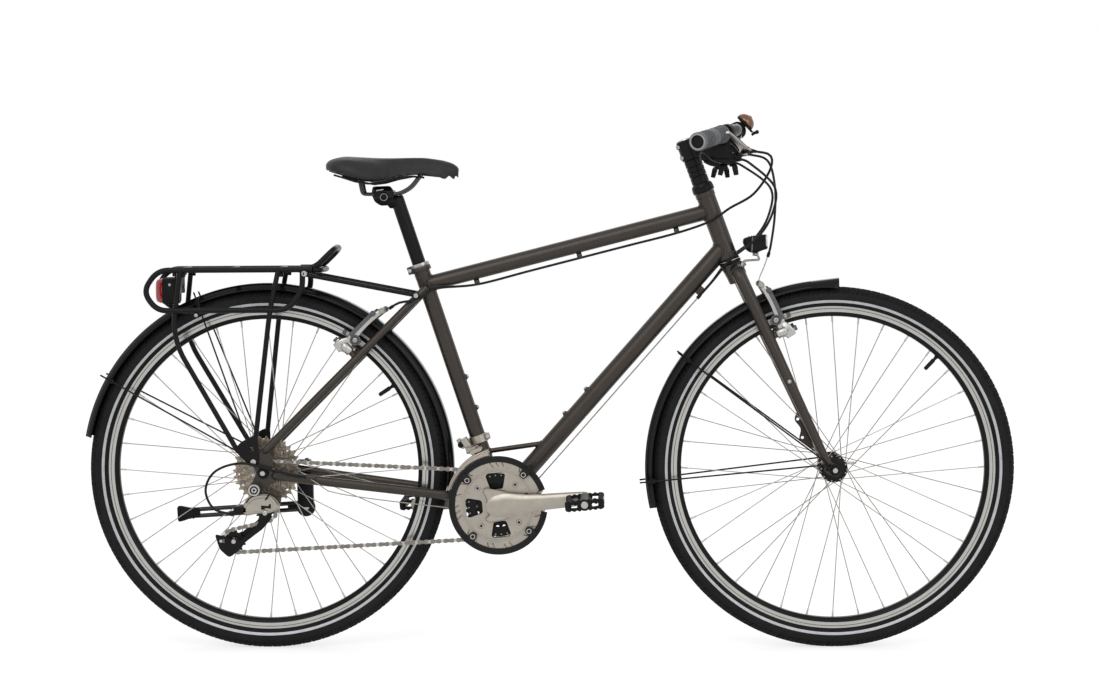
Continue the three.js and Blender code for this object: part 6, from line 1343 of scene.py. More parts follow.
def rear_rack():
    """Bent tubes, welded cross bars, foot plates, the spring hoop and the stays to the frame."""
    form = Form()
    for side in (-1, 1):
        deck, rail, middle = side * 56, side * 66, side * 61
        foot, near = side * 80, side * 75
        form.tube(rounded([
            on_rack(97, RACK_DECK, deck), on_rack(-205, RACK_DECK, deck), on_rack(-232, RACK_TAIL, middle),
            on_rack(-205, RACK_RAIL, rail), on_rack(50, RACK_RAIL, rail), on_rack(78, RACK_TAIL, middle),
            on_rack(78, RACK_DECK, deck)], 34, 10), 5.5, 24)
        form.tube(rounded([on_rack(-160, RACK_DECK, deck), on_rack(-176, 262, rail), on_rack(-50, 44, near)],
                          50, 10), 5, 24)
        form.tube(rounded([on_rack(31, RACK_DECK, deck), on_rack(15, RACK_RAIL, rail),
                           on_rack(-14, 66, near)], 50, 10), 5, 24)
        for joint, way in ((on_rack(-160, RACK_DECK, deck), vec(0.07, 0, 1)),
                           (on_rack(31, RACK_DECK, deck), vec(0.1, 0, 1)),
                           (on_rack(78, RACK_DECK, deck), UP)):
            ring_weld(form, shifted(joint, 0, 0, -6), way, 4.9, 1.5)
            form.block(shifted(joint, 3, -side * 2, -9), 13, 5, 10, corner=2)
        outline = rounded_outline([
            (-56, 45), (-43, 60), (-21, 72), (-9, 72), (-8, 22), (-12, 14),
            (-24, 13), (-31, 20)], 7, 4)
        form.plate(outline, side * 78, 4, [circle(5, 20, -21, 47)], 0.6, centre=REAR_AXLE)
        form.bolt(shifted(REAR_AXLE, -18, foot, 22), vec(0, side, 0), 5.4, 3.4, 1)
        form.turned(shifted(REAR_AXLE, -18, side * 74.3, 22), vec(0, side, 0),
                    [(0, 5), (5.8, 5), (5.8, 0)], 20, 1)
        end = on_stay_at(GUARD_RADIUS + 84)
        stay_end = shifted(at_y(end, side * 54.3), 0, 0, 4)
        stay_start = on_rack(78, RACK_DECK - 9, deck)
        form.tube(rounded([stay_start, stay_start.lerp(stay_end, 0.5), stay_end], 5), 4, 20)
        form.bolt(shifted(stay_start, 4, side * 4, 1), vec(0, side, 0), 5.6, 4, 1)
        form.turned(stay_end, vec(0, -side, 0), [(-4.6, 6.4), (4.6, 6.4), (4.6, 0)], 24)
        form.bolt(at_y(stay_end, side * 58.8), vec(0, side, 0), 4.6, 3, 1)
        screw = on_rack(-128, RACK_RAIL - 9, rail)
        form.block(shifted(screw, 0, 0, 4), 8, 6, 10, corner=1.5)
        form.bolt(shifted(screw, 0, side * 3, 0), vec(0, side, 0), 3.6, 2.6, 1)
    form.tube(rounded([on_rack(60, RACK_DECK + 2, -50), on_rack(100, RACK_DECK + 2, -51),
                       on_rack(137, 431, -51), on_rack(140, 436, 0), on_rack(137, 431, 51),
                       on_rack(100, RACK_DECK + 2, 51), on_rack(60, RACK_DECK + 2, 50)], 22, 12), 5.5, 24)
    form.tube(rounded([on_rack(97, RACK_DECK, -56), on_rack(112, RACK_DECK - 1, -48),
                       on_rack(112, RACK_DECK - 1, 48), on_rack(97, RACK_DECK, 56)], 16, 8), 5.5, 24)
    for x in (-160, -64.5, 31):
        form.rod(on_rack(x, RACK_DECK, -56), on_rack(x, RACK_DECK, 56), 5, edge=0.2)
    form.bar(on_rack(-160, RACK_DECK, 0), on_rack(97, RACK_DECK, 0), 28, 5, corner=2)
    form.bar(on_rack(-172, RACK_TAIL - 6, 0), on_rack(-172, RACK_DECK, 0), 4, 88, LEFT, 1.5)
    for side in (-1, 1):
        form.bar(on_rack(-172, RACK_DECK - 12, side * 50), on_rack(-172, RACK_DECK - 2, side * 50), 8,
                 12, LEFT, 2)
        for rise in (-14, -34):
            form.bolt(on_rack(-170, RACK_DECK + rise, side * 25), FORWARD, 3.6, 3, 1)
    for y in (-20, 20):
        form.bolt(on_rack(84, RACK_DECK + 2.4, y), UP, 3.4, 2.4, 1)
    return form


def tail_lamp():
    """A housing with a ribbed lens, as broad as the rack's plate."""
    form = Form()
    front, middle = -174.6, AXLE_HEIGHT + RACK_TAIL
    path = [vec(front + d, 0, middle) for d in (0, -2, -22, -26, -27.4)]
    form.sweep(path, lambda share, i: oblong(*((60, 46), (66, 52), (66, 52), (64.6, 50.6), (60, 46))[i],
                                             9, 5), up=UP)
    lens = [vec(front - d, 0, middle) for d in (25, 31, 36.5, 39.6, 41.4)]
    form.sweep(lens, lambda share, i: oblong(*((62, 48), (61, 47.4), (57, 45), (50, 41), (40, 33))[i], 9, 5),
               up=UP, finish=1)
    form.turned(vec(front - 40.6, 0, middle - 4), vec(-1, 0, 0),
                [(0, 13), (1.6, 12.4), (2, 11), (2, 0)], 36, 2)
    for side in (-1, 1):
        form.bolt(vec(front - 11, side * 33, middle + 12), vec(0, side, 0), 2.8, 1.4, 3)
    return form


class BICYCLE_OT_rack(bpy.types.Operator):
    """Builds the rear rack and its tail lamp"""

    bl_idname = "bicycle.rack"
    bl_label = "Rack and tail lamp"

    def execute(self, context):
        piece("rack_tubes", rear_rack(), [satin_black(), silver_metal()], "frame", ["rear_rack"],
              35)
        red = lens_plastic("red lens", (0.32, 0.008, 0.01))
        deep = lens_plastic("deep red lens", (0.2, 0.004, 0.006))
        piece("lamp_tail", tail_lamp(), [plastic_black(), red, deep, silver_metal()], "frame", ["tail_lamp"],
              35)
        return {"FINISHED"}


# The drive: sprockets, rings, guard, cranks, pedals, chain, pulleys and derailleurs
CASSETTE_TEETH = (11, 12, 14, 16, 18, 21, 24, 28, 32)
PULLEY_TEETH = 11
CASSETTE_Y, SPROCKET_PITCH = -62, 4.34
LARGE_Y, MIDDLE_Y, SMALL_Y = -57.5, -50, -42.5


def cassette():
    """Nine sprockets with their teeth, lightening holes and spacers, and the lock ring."""
    form = Form()
    for i, teeth in enumerate(CASSETTE_TEETH):
        pitch, y = pitch_radius(teeth), CASSETTE_Y + SPROCKET_PITCH * i
        holes = [circle(16.6, 40)]
        if teeth > 16:
            for ring, radius in enumerate(range(24, int(pitch) - 9, 10)):
                count = 8 + 3 * ring
                holes += [circle(3.1, 12, radius * math.cos(2 * math.pi * (k + 0.3 * i) / count),
                                 radius * math.sin(2 * math.pi * (k + 0.3 * i) / count))
                          for k in range(count)]
        form.plate(toothed(teeth), y, 1.8, holes, 0.25, centre=REAR_AXLE, turn=0.21 * i, finish=i % 2)
        if i:
            form.turned(at_y(REAR_AXLE, y - 3.4), LEFT, [(0, 16.4), (0, 19.5), (2.5, 19.5), (2.5, 16.4)], 40,
                        2, loop=True)
            for k in range(6):
                spot = around(REAR_AXLE, pitch - 6.5, math.pi * k / 3 + 0.35 * i, y - 0.9)
                form.turned(spot, RIGHT, [(0, 1.5), (0.7, 1.3), (0.8, 0)], 10)
    form.turned(at_y(REAR_AXLE, CASSETTE_Y - 0.8), RIGHT, [(0, 15.6), (1.4, 15.6), (1.8, 15), (1.8, 12.2),
                                                                  (-2, 12.2), (-2, 15.6)], 48, 1, loop=True)
    form.turned(at_y(REAR_AXLE, -21.6), RIGHT, [(0, 5.7), (0, 16.3), (40, 16.3), (40, 5.7)], 40, 2, loop=True)
    return form


def chain_path():
    """The chain's pitch line round the middle ring, the two pulleys and the smallest sprocket."""
    wheels = [(BRACKET, 32, -1, MIDDLE_Y), (TENSION_PULLEY, PULLEY_TEETH, -1, CASSETTE_Y),
              (GUIDE_PULLEY, PULLEY_TEETH, 1, CASSETTE_Y),
              (REAR_AXLE, 11, -1, CASSETTE_Y)]

    def heading(one, other):
        way = other[0] - one[0]
        rise = other[2] * pitch_radius(other[1]) - one[2] * pitch_radius(one[1])
        return math.atan2(way.z, way.x) - math.asin(rise / math.hypot(way.x, way.z))

    points = []
    for i, wheel in enumerate(wheels):
        centre, teeth, turn, y = wheel
        start = heading(wheels[i - 1], wheel)
        swing = heading(wheel, wheels[(i + 1) % 4]) - start
        while swing * turn < 0:
            swing += turn * 2 * math.pi
        while swing * turn > 2 * math.pi:
            swing -= turn * 2 * math.pi
        for k in range(41):
            angle = start + swing * k / 40
            inward = vec(-math.sin(angle), 0, math.cos(angle))
            points.append(at_y(along(centre, inward, -turn * pitch_radius(teeth)), y))
    return points


def even_points(points, count):
    """Points at equal distances along a closed way."""
    lengths = [(points[(i + 1) % len(points)] - p).length for i, p in enumerate(points)]
    step, out, i, run = sum(lengths) / count, [], 0, 0.0
    for k in range(count):
        while run + lengths[i] < k * step:
            run += lengths[i]
            i += 1
        share = (k * step - run) / lengths[i] if lengths[i] else 0
        out.append(points[i].lerp(points[(i + 1) % len(points)], share))
    return out


def chain():
    """Every link: outer and inner plates by turns, rollers and pins."""
    form = Form()
    path = chain_path()
    total = sum((path[(i + 1) % len(path)] - p).length for i, p in enumerate(path))
    count = 2 * round(total / (2 * CHAIN_PITCH))
    pins = even_points(path, count)
    half = total / count / 2
    ends = [math.pi * i / 7 for i in range(8)]
    outline = [(-half + 4.2 * math.cos(a + math.pi / 2), 4.2 * math.sin(a + math.pi / 2)) for a in ends] + [
        (0, -2.7)] + [(half + 4.2 * math.cos(a - math.pi / 2), 4.2 * math.sin(a - math.pi / 2))
                      for a in ends] + [(0, 2.7)]
    for i, pin in enumerate(pins):
        after = pins[(i + 1) % count]
        way, middle = (after - pin).normalized(), (pin + after) / 2
        across = LEFT
        rise = way.cross(across).normalized()
        off = 2.65 if i % 2 else 1.75
        for side in (-1, 1):
            form.slab(outline, 0.95, lambda a, b, t: middle + way * a + rise * b + across * (side * off + t),
                      edge=0.2, finish=i % 2)
        form.turned(shifted(pin, 0, -1.3, 0), across, [(0, 3.9), (2.6, 3.9)], 12, 1)
        form.turned(shifted(pin, 0, -3.5, 0), across, [(0, 1.4), (0.3, 1.8), (6.7, 1.8), (7, 1.4)], 10, 1)
    return form


def chainrings():
    """Three toothed rings on a four-armed spider, with windows, ramps, pins and bolts."""
    form = Form()
    turn = CRANK_ANGLE
    window = rounded_outline([(31, -12), (58, -19), (63, -15), (63, 15), (58, 19), (31, 12)], 5, 4)
    windows = [turned_outline(window, i * math.pi / 2) for i in range(4)]
    form.plate(toothed(44), LARGE_Y, 2.4, windows + [circle(17.4, 40)], 0.35, centre=BRACKET, turn=turn)
    form.turned(at_y(BRACKET, LARGE_Y - 1.2), RIGHT,
                [(-0.5, 66), (-0.5, 71), (0.5, 70), (0.7, 68.5), (0.5, 67)], 120, loop=True)
    for k in range(44):
        if k % 11 in (2, 3, 7):
            continue
        angle = 2 * math.pi * (k + 0.5) / 44 + turn
        place = around(BRACKET, 79.5, angle, LARGE_Y - 1.2)
        form.block(shifted(place, 0, -0.15, 0), 9 + 3 * (k % 3), 0.9, 2.6, angle + 0.5, 0.6,
                   finish=3 if k % 4 else 0)
    for k in range(12):
        angle = 2 * math.pi * k / 12 + turn + 0.2
        form.turned(around(BRACKET, 74.5, angle, LARGE_Y - 1.2), RIGHT,
                    [(0, 1.9), (0.7, 1.6), (0.8, 0)], 12, 1)
    form.plate(toothed(32), MIDDLE_Y, 2.4, [circle(43, 60)], 0.35, centre=BRACKET, turn=turn, finish=2)
    form.plate(toothed(22), SMALL_Y, 2.4, [circle(31.5, 50)], 0.35, centre=BRACKET, turn=turn, finish=2)
    for k in range(32):
        form.rod(around(BRACKET, 57.5, 2 * math.pi * k / 32 + turn, MIDDLE_Y - 3), around(
            BRACKET, 57.5, 2 * math.pi * k / 32 + turn, MIDDLE_Y - 1), 1.7, sides=10, finish=1)
    spider_y = (LARGE_Y + MIDDLE_Y) / 2
    for i in range(4):
        angle = turn + math.pi / 4 + i * math.pi / 2
        out = way_at(angle)
        form.bar(at_y(along(BRACKET, out, 14), spider_y), at_y(along(BRACKET, out, 58), spider_y), 5.6, 17,
                 vec(-out.z, 0, out.x), 2)
        bolt = around(BRACKET, 52, angle, LARGE_Y - 1)
        form.turned(bolt, RIGHT, [(-3, 5.6), (1.2, 5.6), (1.8, 5), (1.8, 2.6, 6), (0.2, 2.6, 6),
                                  (0.2, 0)], 24, 1)
        low = around(BRACKET, 34, angle, SMALL_Y - 1)
        form.turned(low, RIGHT, [(-4, 4.6), (6, 4.6), (6, 0)], 18, 2)
        form.turned(around(BRACKET, 78, angle, LARGE_Y - 0.8), RIGHT, [(0, 3), (2, 3), (2, 0)], 16, 2)
        for step in (-0.34, 0.3):
            pin = around(BRACKET, 62, angle + step, LARGE_Y - 1.2)
            form.turned(pin, RIGHT, [(0, 1.6), (0.8, 1.4), (0.9, 0)], 12, 1)
    sleeve(form, at_y(BRACKET, spider_y + 3), RIGHT, 6, 25, 17.4)
    return form


def chain_guard():
    """The black ring outside the rings: open where the crank passes, on four tabs."""
    form = Form()
    gap, turn = math.radians(13.3), CRANK_ANGLE
    angles = [gap + (2 * math.pi - 2 * gap) * i / 110 for i in range(111)]
    outline = [(96 * math.cos(a), 96 * math.sin(a)) for a in angles] + [
        (84 * math.cos(a), 84 * math.sin(a)) for a in reversed(angles)]
    form.plate(outline, -61, 2.6, edge=0.8, centre=BRACKET, turn=turn)
    ridge = [around(BRACKET, 90.5, turn + gap + 0.03 + (2 * math.pi - 2 * gap - 0.06) * i / 110, -62.3)
             for i in range(111)]
    form.tube(ridge, 0.9, 8)
    for i in range(4):
        angle = math.pi / 4 + i * math.pi / 2
        shape = rounded_outline([(70.5, -6), (80, -8), (90, -9), (90, 9), (80, 8), (70.5, 6)], 5, 4)
        form.plate(turned_outline(shape, angle), -64.8, 8, edge=0.8, centre=BRACKET, turn=turn)
        spot = around(BRACKET, 77.5, turn + angle, -68.9)
        form.turned(spot, RIGHT, [(0, 5.2), (0.5, 4.9), (0.5, 3.4), (0.1, 3.2), (0.1, 1.6, 6), (-1.4, 1.6, 6),
                                          (-1.4, 0)], 24, [0, 1, 0, 0, 0, 0])
    return form


def crank_end(side):
    return around(BRACKET, 170, CRANK_ANGLE + (math.pi if side > 0 else 0))


def crank(side):
    """A hollow-forged arm: winged at its root, softly creased along its middle, with its pedal axle."""
    form = Form()
    turn = CRANK_ANGLE + (math.pi if side > 0 else 0)
    out = way_at(turn)
    up = vec(-out.z, 0, out.x)
    if side > 0:
        up = -up
    half_widths = [(-22, 9), (-20, 14), (-14, 19), (-4, 22), (8, 23.5), (16, 24), (25, 23), (38, 20.5),
                   (58, 17.6), (82, 16), (107, 15.4), (135, 14.6), (160, 13.8), (172, 12.6), (179, 9.4),
                   (182.6, 4.6), (183.2, 1.6)]
    rings = []
    for u, w in half_widths:
        share = u / 170
        y = side * (72 + 10 * max(share, 0))
        ends = max(0.45, 1 - (u - 172) / 16) if u > 172 else 0.6 + 0.4 * (u + 22) / 18 if u < -4 else 1
        ring = []
        for v, depth in ((-1, -3), (-0.97, 2.5), (-0.78, 5.4), (-0.4, 6.3), (0, 7.2), (0.4, 6.3), (0.78, 5.4),
                         (0.97, 2.5), (1, -3), (0.9, -5.6), (0, -6), (-0.9, -5.6)):
            ring.append(at_y(BRACKET + out * u + up * (v * w), y + side * depth * ends))
        rings.append(ring)
    form.rings(rings)
    if side < 0:
        wing = rounded_outline([(-31, 31), (-22, 34.5), (-1, 31), (25, 23.5), (27, 0), (25, -22.5), (6, -29),
                                (-16, -32.5), (-27, -27), (-14, -15), (-18, 0), (-23, 15)], 6, 4)
        form.plate(turned_outline(wing, -turn), -70.5, 9, edge=2.4, centre=BRACKET, turn=turn)
        form.turned(at_y(BRACKET, -50.2), RIGHT, [(0, 9.4), (0, 16.6), (20, 16.6), (22, 15.4), (22, 9.4)], 48,
                    1, loop=True)
        form.turned(at_y(BRACKET, -74), RIGHT, [(0, 12), (2.6, 12), (3.2, 11.2), (3.2, 9.2)], 40, 1)
    else:
        form.turned(at_y(BRACKET, 38.1), LEFT, [(0, 9.4), (0, 16.4), (30, 18.6), (40, 18.6), (41.5, 17.4),
                                                       (41.5, 12), (40, 12), (40, 0)], 48)
        form.rod(at_y(BRACKET, 76), at_y(BRACKET, -76), 9)
        form.turned(at_y(BRACKET, 78), LEFT, [(0, 10.6), (1.8, 10.6), (2.4, 10), (2.4, 4.5, 6), (1, 4.5, 6),
                                              (1, 0)], 36, 1)
        for u in (24, 34):
            form.bolt(at_y(BRACKET + out * u + up * -20.5, 73), -up, 3.6, 3, 2)
    tip = crank_end(side)
    form.turned(at_y(tip, side * 74), vec(0, side, 0),
                [(0, 10.4), (1, 11), (13.4, 11), (14.4, 10.2), (14.4, 0)], 36)
    form.turned(at_y(tip, side * 88), vec(0, side, 0), [
        (0, 7.6), (0.4, 8, 6), (4, 8, 6), (4.4, 7), (80, 6.6), (96.4, 6), (98, 5.4), (98, 0)], 24, 2)
    return form


def pedal(side):
    """A cage pedal: two toothed side plates, ribbed bars front and back, and the barrel on its axle."""
    form = Form()
    centre = crank_end(side)
    c, s = math.cos(CRANK_ANGLE), math.sin(CRANK_ANGLE)
    fore, up = vec(c, 0, s), vec(-s, 0, c)
    start = 88.6
    teeth = []
    for k in range(7):
        x = -30 + k * 10
        teeth += [(x - 3.4, 9.2), (x - 1.6, 11), (x + 1.6, 11), (x + 3.4, 9.2)]
    outline = [(-37, -7), (-37, 7), (-34.6, 9.4)] + teeth[2:-2] + [(34.6, 9.4), (37, 7), (37, -7), (
        34.6, -9.4)] + [(-x, -z) for x, z in teeth[2:-2]] + [(-34.6, -9.4)]
    slots = [rounded_outline([(-29, -3.6), (-14, -4.4), (-14, 4.4), (-29, 3.6)], 2, 3),
             rounded_outline([(14, -4.4), (29, -3.6), (29, 3.6), (14, 4.4)], 2, 3)]
    for y, thickness in ((start + 4, 7), (start + 92, 7.4)):
        form.plate(outline, side * y, thickness, slots, 0.8, centre=centre, turn=CRANK_ANGLE)
    for way in (-1, 1):
        middle = at_y(centre + fore * (way * 31), 0)
        form.bar(at_y(middle, side * (start + 5)), at_y(middle, side * (start + 91)), 11, 14, up, 3)
        for k in range(8):
            y = side * (start + 13 + k * 10)
            for high in (-1, 1):
                form.turned(at_y(middle + up * (high * 6.5), y), up * high,
                            [(0, 4.6), (2.6, 3.8), (4.8, 1.6), (5, 0)], 8)
        reflector = at_y(middle + fore * (way * 5.4), 0)
        form.bar(at_y(reflector, side * (start + 28)), at_y(reflector, side * (start + 68)), 2, 10, up,
                 0.8, finish=2)
    form.turned(at_y(centre, side * (start + 0.4)), vec(0, side, 0),
                [(0, 7.9), (0, 11), (1, 12), (12, 12), (20, 10.8), (78, 10), (88, 11), (94.6, 11), (95.6, 10),
                 (95.6, 7.2)], 36, loop=True)
    form.turned(at_y(centre, side * (start + 94)), vec(0, side, 0),
                [(0, 7), (2.4, 6.6), (2.8, 5.6), (2.8, 2.8, 6), (1.6, 2.8, 6), (1.6, 0)], 28, 1)
    return form


def pulley(centre, radius):
    form = Form()
    pitch = pitch_radius(PULLEY_TEETH)
    outline = [(x * (radius / (pitch + 2.6)), z * (radius / (pitch + 2.6))) for x, z in toothed(PULLEY_TEETH)]
    form.plate(outline, CASSETTE_Y, 2.2,
               [circle(3.6, 16)] + [circle(1.9, 12, 9 * math.cos(2 * math.pi * k / 5), 9 * math.sin(
                   2 * math.pi * k / 5)) for k in range(5)], 0.3, centre=centre)
    sleeve(form, at_y(centre, CASSETTE_Y - 3), LEFT, 6, 6.6, 3.6, 0.6, 1, 28)
    return form


def rear_derailleur():
    """Hanger bolt, link body with its shell, black cage plates round both pulleys, and the cable's barrel."""
    form = Form()
    x, z = REAR_AXLE.x, REAR_AXLE.z
    hanger = shifted(REAR_AXLE, -15.4, 0, -31.5)
    form.turned(at_y(hanger, -74.3), RIGHT, [(0, 9.4), (1.4, 10), (14, 10), (15, 11.6), (19, 11.6),
                                             (20, 10.8), (20, 8.2), (18.4, 7.8), (18.4, 5.6), (19.6, 5.2),
                                             (19.6, 2.6, 6), (17, 2.6, 6), (17, 0)], 40,
                [0, 0, 0, 2, 2, 2, 1, 1, 2, 2, 1, 1])
    body = rounded_outline([
        (-42, -78), (-38, -58), (-26, -43), (-2, -37), (17, -39), (30, -52),
        (33, -68), (14, -77), (-10, -77), (-30, -82)], 9, 5)
    form.plate(body, -84.5, 13, edge=4, centre=REAR_AXLE)
    face = rounded_outline([
        (-34, -74), (-30, -60), (-16, -48), (10, -45), (24, -58), (17, -69),
        (-8, -73)], 7, 5)
    form.plate(face, -91.2, 3.4, edge=1.6, centre=REAR_AXLE)
    edge_line = rounded([vec(x - 31, -91.6, z - 56), vec(x - 24, -92.2, z - 46), vec(x - 9, -92.4, z - 38.5),
                         vec(x + 8, -92.2, z - 36.6), vec(x + 25, -91.8, z - 44),
                         vec(x + 36, -90, z - 58)], 8, 5)
    form.tube(edge_line, 1.3, 10, 1)
    form.bar(vec(x + 15, -92.6, z - 38), vec(x + 6, -92.6, z - 51), 1.8, 3.2, FORWARD, 0.6, finish=1)
    form.plate([(-2, -69), (-2, -61), (12, -62), (14, -58), (17, -58), (17, -67),
                (6, -66), (5, -69)], -93, 1.4, edge=0.4, finish=1, centre=REAR_AXLE)
    form.block(vec(x - 43, -84, z - 71), 27, 14, 17, 0.1, 4, 1)
    knuckle = at_y(GUIDE_PULLEY, -77)
    form.turned(at_y(GUIDE_PULLEY, -69), RIGHT, [(0, 12), (1, 13), (13, 13), (15, 11), (15, 0)], 40, 1)
    form.turned(shifted(knuckle, 4, -14.5, -2), RIGHT,
                [(0, 4.4), (1.4, 4.4), (1.8, 3.8), (1.8, 2, 6), (0.8, 2, 6), (0.8, 0)], 24, 2)
    outer = rounded_outline([
        (-97, -119), (-72, -126), (-46, -132), (-12, -100), (-8, -66), (8, -62),
        (16, -74), (12, -92), (-2, -109), (-39, -137), (-46, -149), (-69, -166),
        (-88, -149)], 7, 5)
    inner = rounded_outline([
        (-74, -123), (-52, -122), (-12, -92), (-12, -68), (6, -61), (14, -76),
        (6, -92), (-44, -140), (-60, -149), (-74, -142)], 7, 5)
    form.plate(outer, -69, 2.6, [rounded_outline([(-84, -128), (-76, -130), (-76, -138),
                                                  (-83, -138)], 2.5, 3)], 0.7, 1, REAR_AXLE)
    form.plate(inner, -56, 1.8, edge=0.4, finish=1, centre=REAR_AXLE)
    for at in (GUIDE_PULLEY, TENSION_PULLEY):
        form.turned(at_y(at, -55), RIGHT, [(0, 3), (14.8, 3), (15.2, 4.4), (16.4, 4.2), (16.6, 0)], 20, 2)
    form.turned(shifted(REAR_AXLE, -84.7, -70.3, -133), RIGHT, [(0, 3.2), (0.8, 3), (1, 0)], 18, 2)
    start, end = vec(x - 48, -83, z - 74), vec(x - 66, -82, z - 79)
    form.turned(start, end - start, [(0, 4.6), (2, 5.6), (8, 5.6), (8.4, 4.6), (10, 5.2), (16, 5), (18, 3.6),
                                     (18, 0)], 20, 1)
    return form


def front_derailleur():
    """A hinged clamp on the seat tube, the link body and the two cage plates over the rings."""
    form = Form()
    clamp = on_seat(130)
    sleeve(form, along(clamp, SEAT_UP, -8), SEAT_UP, 16, 19.2, 15.7, 1)
    lug = along(clamp, SEAT_OUT, 19)
    for way in (-1, 1):
        form.bar(at_y(along(lug, SEAT_UP, -6), way * 4 - 4), at_y(along(lug, SEAT_UP, 6), way * 4 - 4), 5.5,
                 9, SEAT_OUT, 2)
    form.bolt(at_y(lug, -11), RIGHT, 4, 3.4, 1)
    for start, end, thick, wide in (
            ((-20, -14), (-26, 12), 14, 20), ((-24, -12), (-10, -20), 12, 18), ((-30, -6), (-36, 14), 9, 12)):
        a = at_y(along(clamp, SEAT_OUT, start[0], SEAT_UP, start[1]), -23)
        b = at_y(along(clamp, SEAT_OUT, end[0], SEAT_UP, end[1]), -25)
        form.bar(a, b, thick, wide, RIGHT, 3)
    form.turned(at_y(along(clamp, SEAT_OUT, -34, SEAT_UP, 2), -24), RIGHT, [
        (0, 6), (9, 6), (10, 5), (10, 2.6, 6), (8, 2.6, 6), (8, 0)], 24, 2)
    low, high = math.radians(100), math.radians(163)

    def arc(radius, narrowing=0.0, y=0.0):
        return [around(BRACKET, radius - narrowing * i / 24, low + (high - low) * i / 24, y)
                for i in range(25)]

    top = [(p.x, p.z) for p in reversed(arc(109.5, 7))]
    form.plate([(p.x, p.z) for p in arc(98)] + top, -61, 2, edge=0.6)
    form.plate([(p.x, p.z) for p in arc(93)] + top, -41, 1.8, edge=0.5)
    form.tube(arc(108, 7, -61.8), 1.6, 10)
    for angle in (low + 0.03, high - 0.02):
        form.bar(around(BRACKET, 104, angle, -61), around(BRACKET, 104, angle, -41), 9, 3, way_at(angle), 1)
    plate_at = around(BRACKET, 114, math.radians(112), -50)
    form.bar(at_y(plate_at, -61), at_y(plate_at, -30), 24, 8, way_at(math.radians(112)), 2.5)
    link_top = at_y(along(clamp, SEAT_OUT, -24, SEAT_UP, -12), -30)
    form.bar(link_top, shifted(plate_at, 2, 8, 2), 14, 16, RIGHT, 3)
    return form


STAND_PIVOT = shifted(REAR_AXLE, 60, 84, -86)
STAND_AXIS = vec(-math.sin(math.radians(12)), math.cos(math.radians(12)), 0)
STAND_TILT = math.radians(-3.5)


def kickstand_bracket():
    form = Form()
    pivot, axis = STAND_PIVOT, STAND_AXIS
    stay = min(chainstay_way(1), key=lambda p: abs(p.x - 60))
    head = vec(60, 66.4, stay.z)
    form.block(shifted(head, 0, 0, 13), 26, 26, 7, corner=2)
    form.block(shifted(head, 0, 0, -14), 26, 28, 8, corner=2)
    form.bolt(shifted(head, 6, 0, 16.4), UP, 4.4, 3.4, 1)
    form.bar(shifted(head, 0, 12, -12), along(pivot, axis, -8), 20, 32, FORWARD, 4)
    form.turned(along(pivot, axis, -12), axis, [(0, 10.8), (1, 12), (11.4, 12), (12, 11.4), (12, 4.4),
                                                (36, 4.4), (36, 0)], 36)
    form.turned(along(pivot, axis, -13), axis, [(0, 17), (1, 18.6), (9, 18.6), (11, 14)], 40)
    form.turned(along(pivot, axis, -13.2), -axis, [(0, 5.4), (1.6, 5.4), (2, 4.6), (2, 2.4, 6), (0.6, 2.4, 6),
                                                   (0.6, 0)], 24, 1)
    return form


def kickstand_leg():
    form = Form()
    pivot, axis = STAND_PIVOT, STAND_AXIS
    way = vec(-math.cos(STAND_TILT), 0, math.sin(STAND_TILT))
    across = vec(way.z, 0, -way.x)
    middle = along(pivot, axis, 12)
    sleeve(form, along(pivot, axis, 0.7), axis, 23.4, 12, 5.2, 1, sides=40)
    form.bolt(along(pivot, axis, 24), axis, 5.4, 3.6, 3)
    for sign in (-1, 1):
        start = along(middle, across, sign * 6.5, way, 6)
        form.rod(start, along(start, way, 228), 4.4, finish=3)
    form.bar(along(middle, way, 4), along(middle, way, 34), 13, 23, LEFT, 4)
    foot = along(middle, way, 214)
    form.sweep([along(foot, way, d) for d in (0, 3, 20, 36, 42, 44)], lambda share, i: oblong(
        *((18, 14), (19, 15), (22, 16), (30, 19), (31, 19), (27, 15))[i], 4, 4), up=LEFT, finish=2)
    for d in (12, 18, 24):
        form.bar(along(foot, way, d, across, -10.8), along(foot, way, d + 2, across, -10.8), 14, 1.6,
                 across, 0.6, finish=2)
    return form


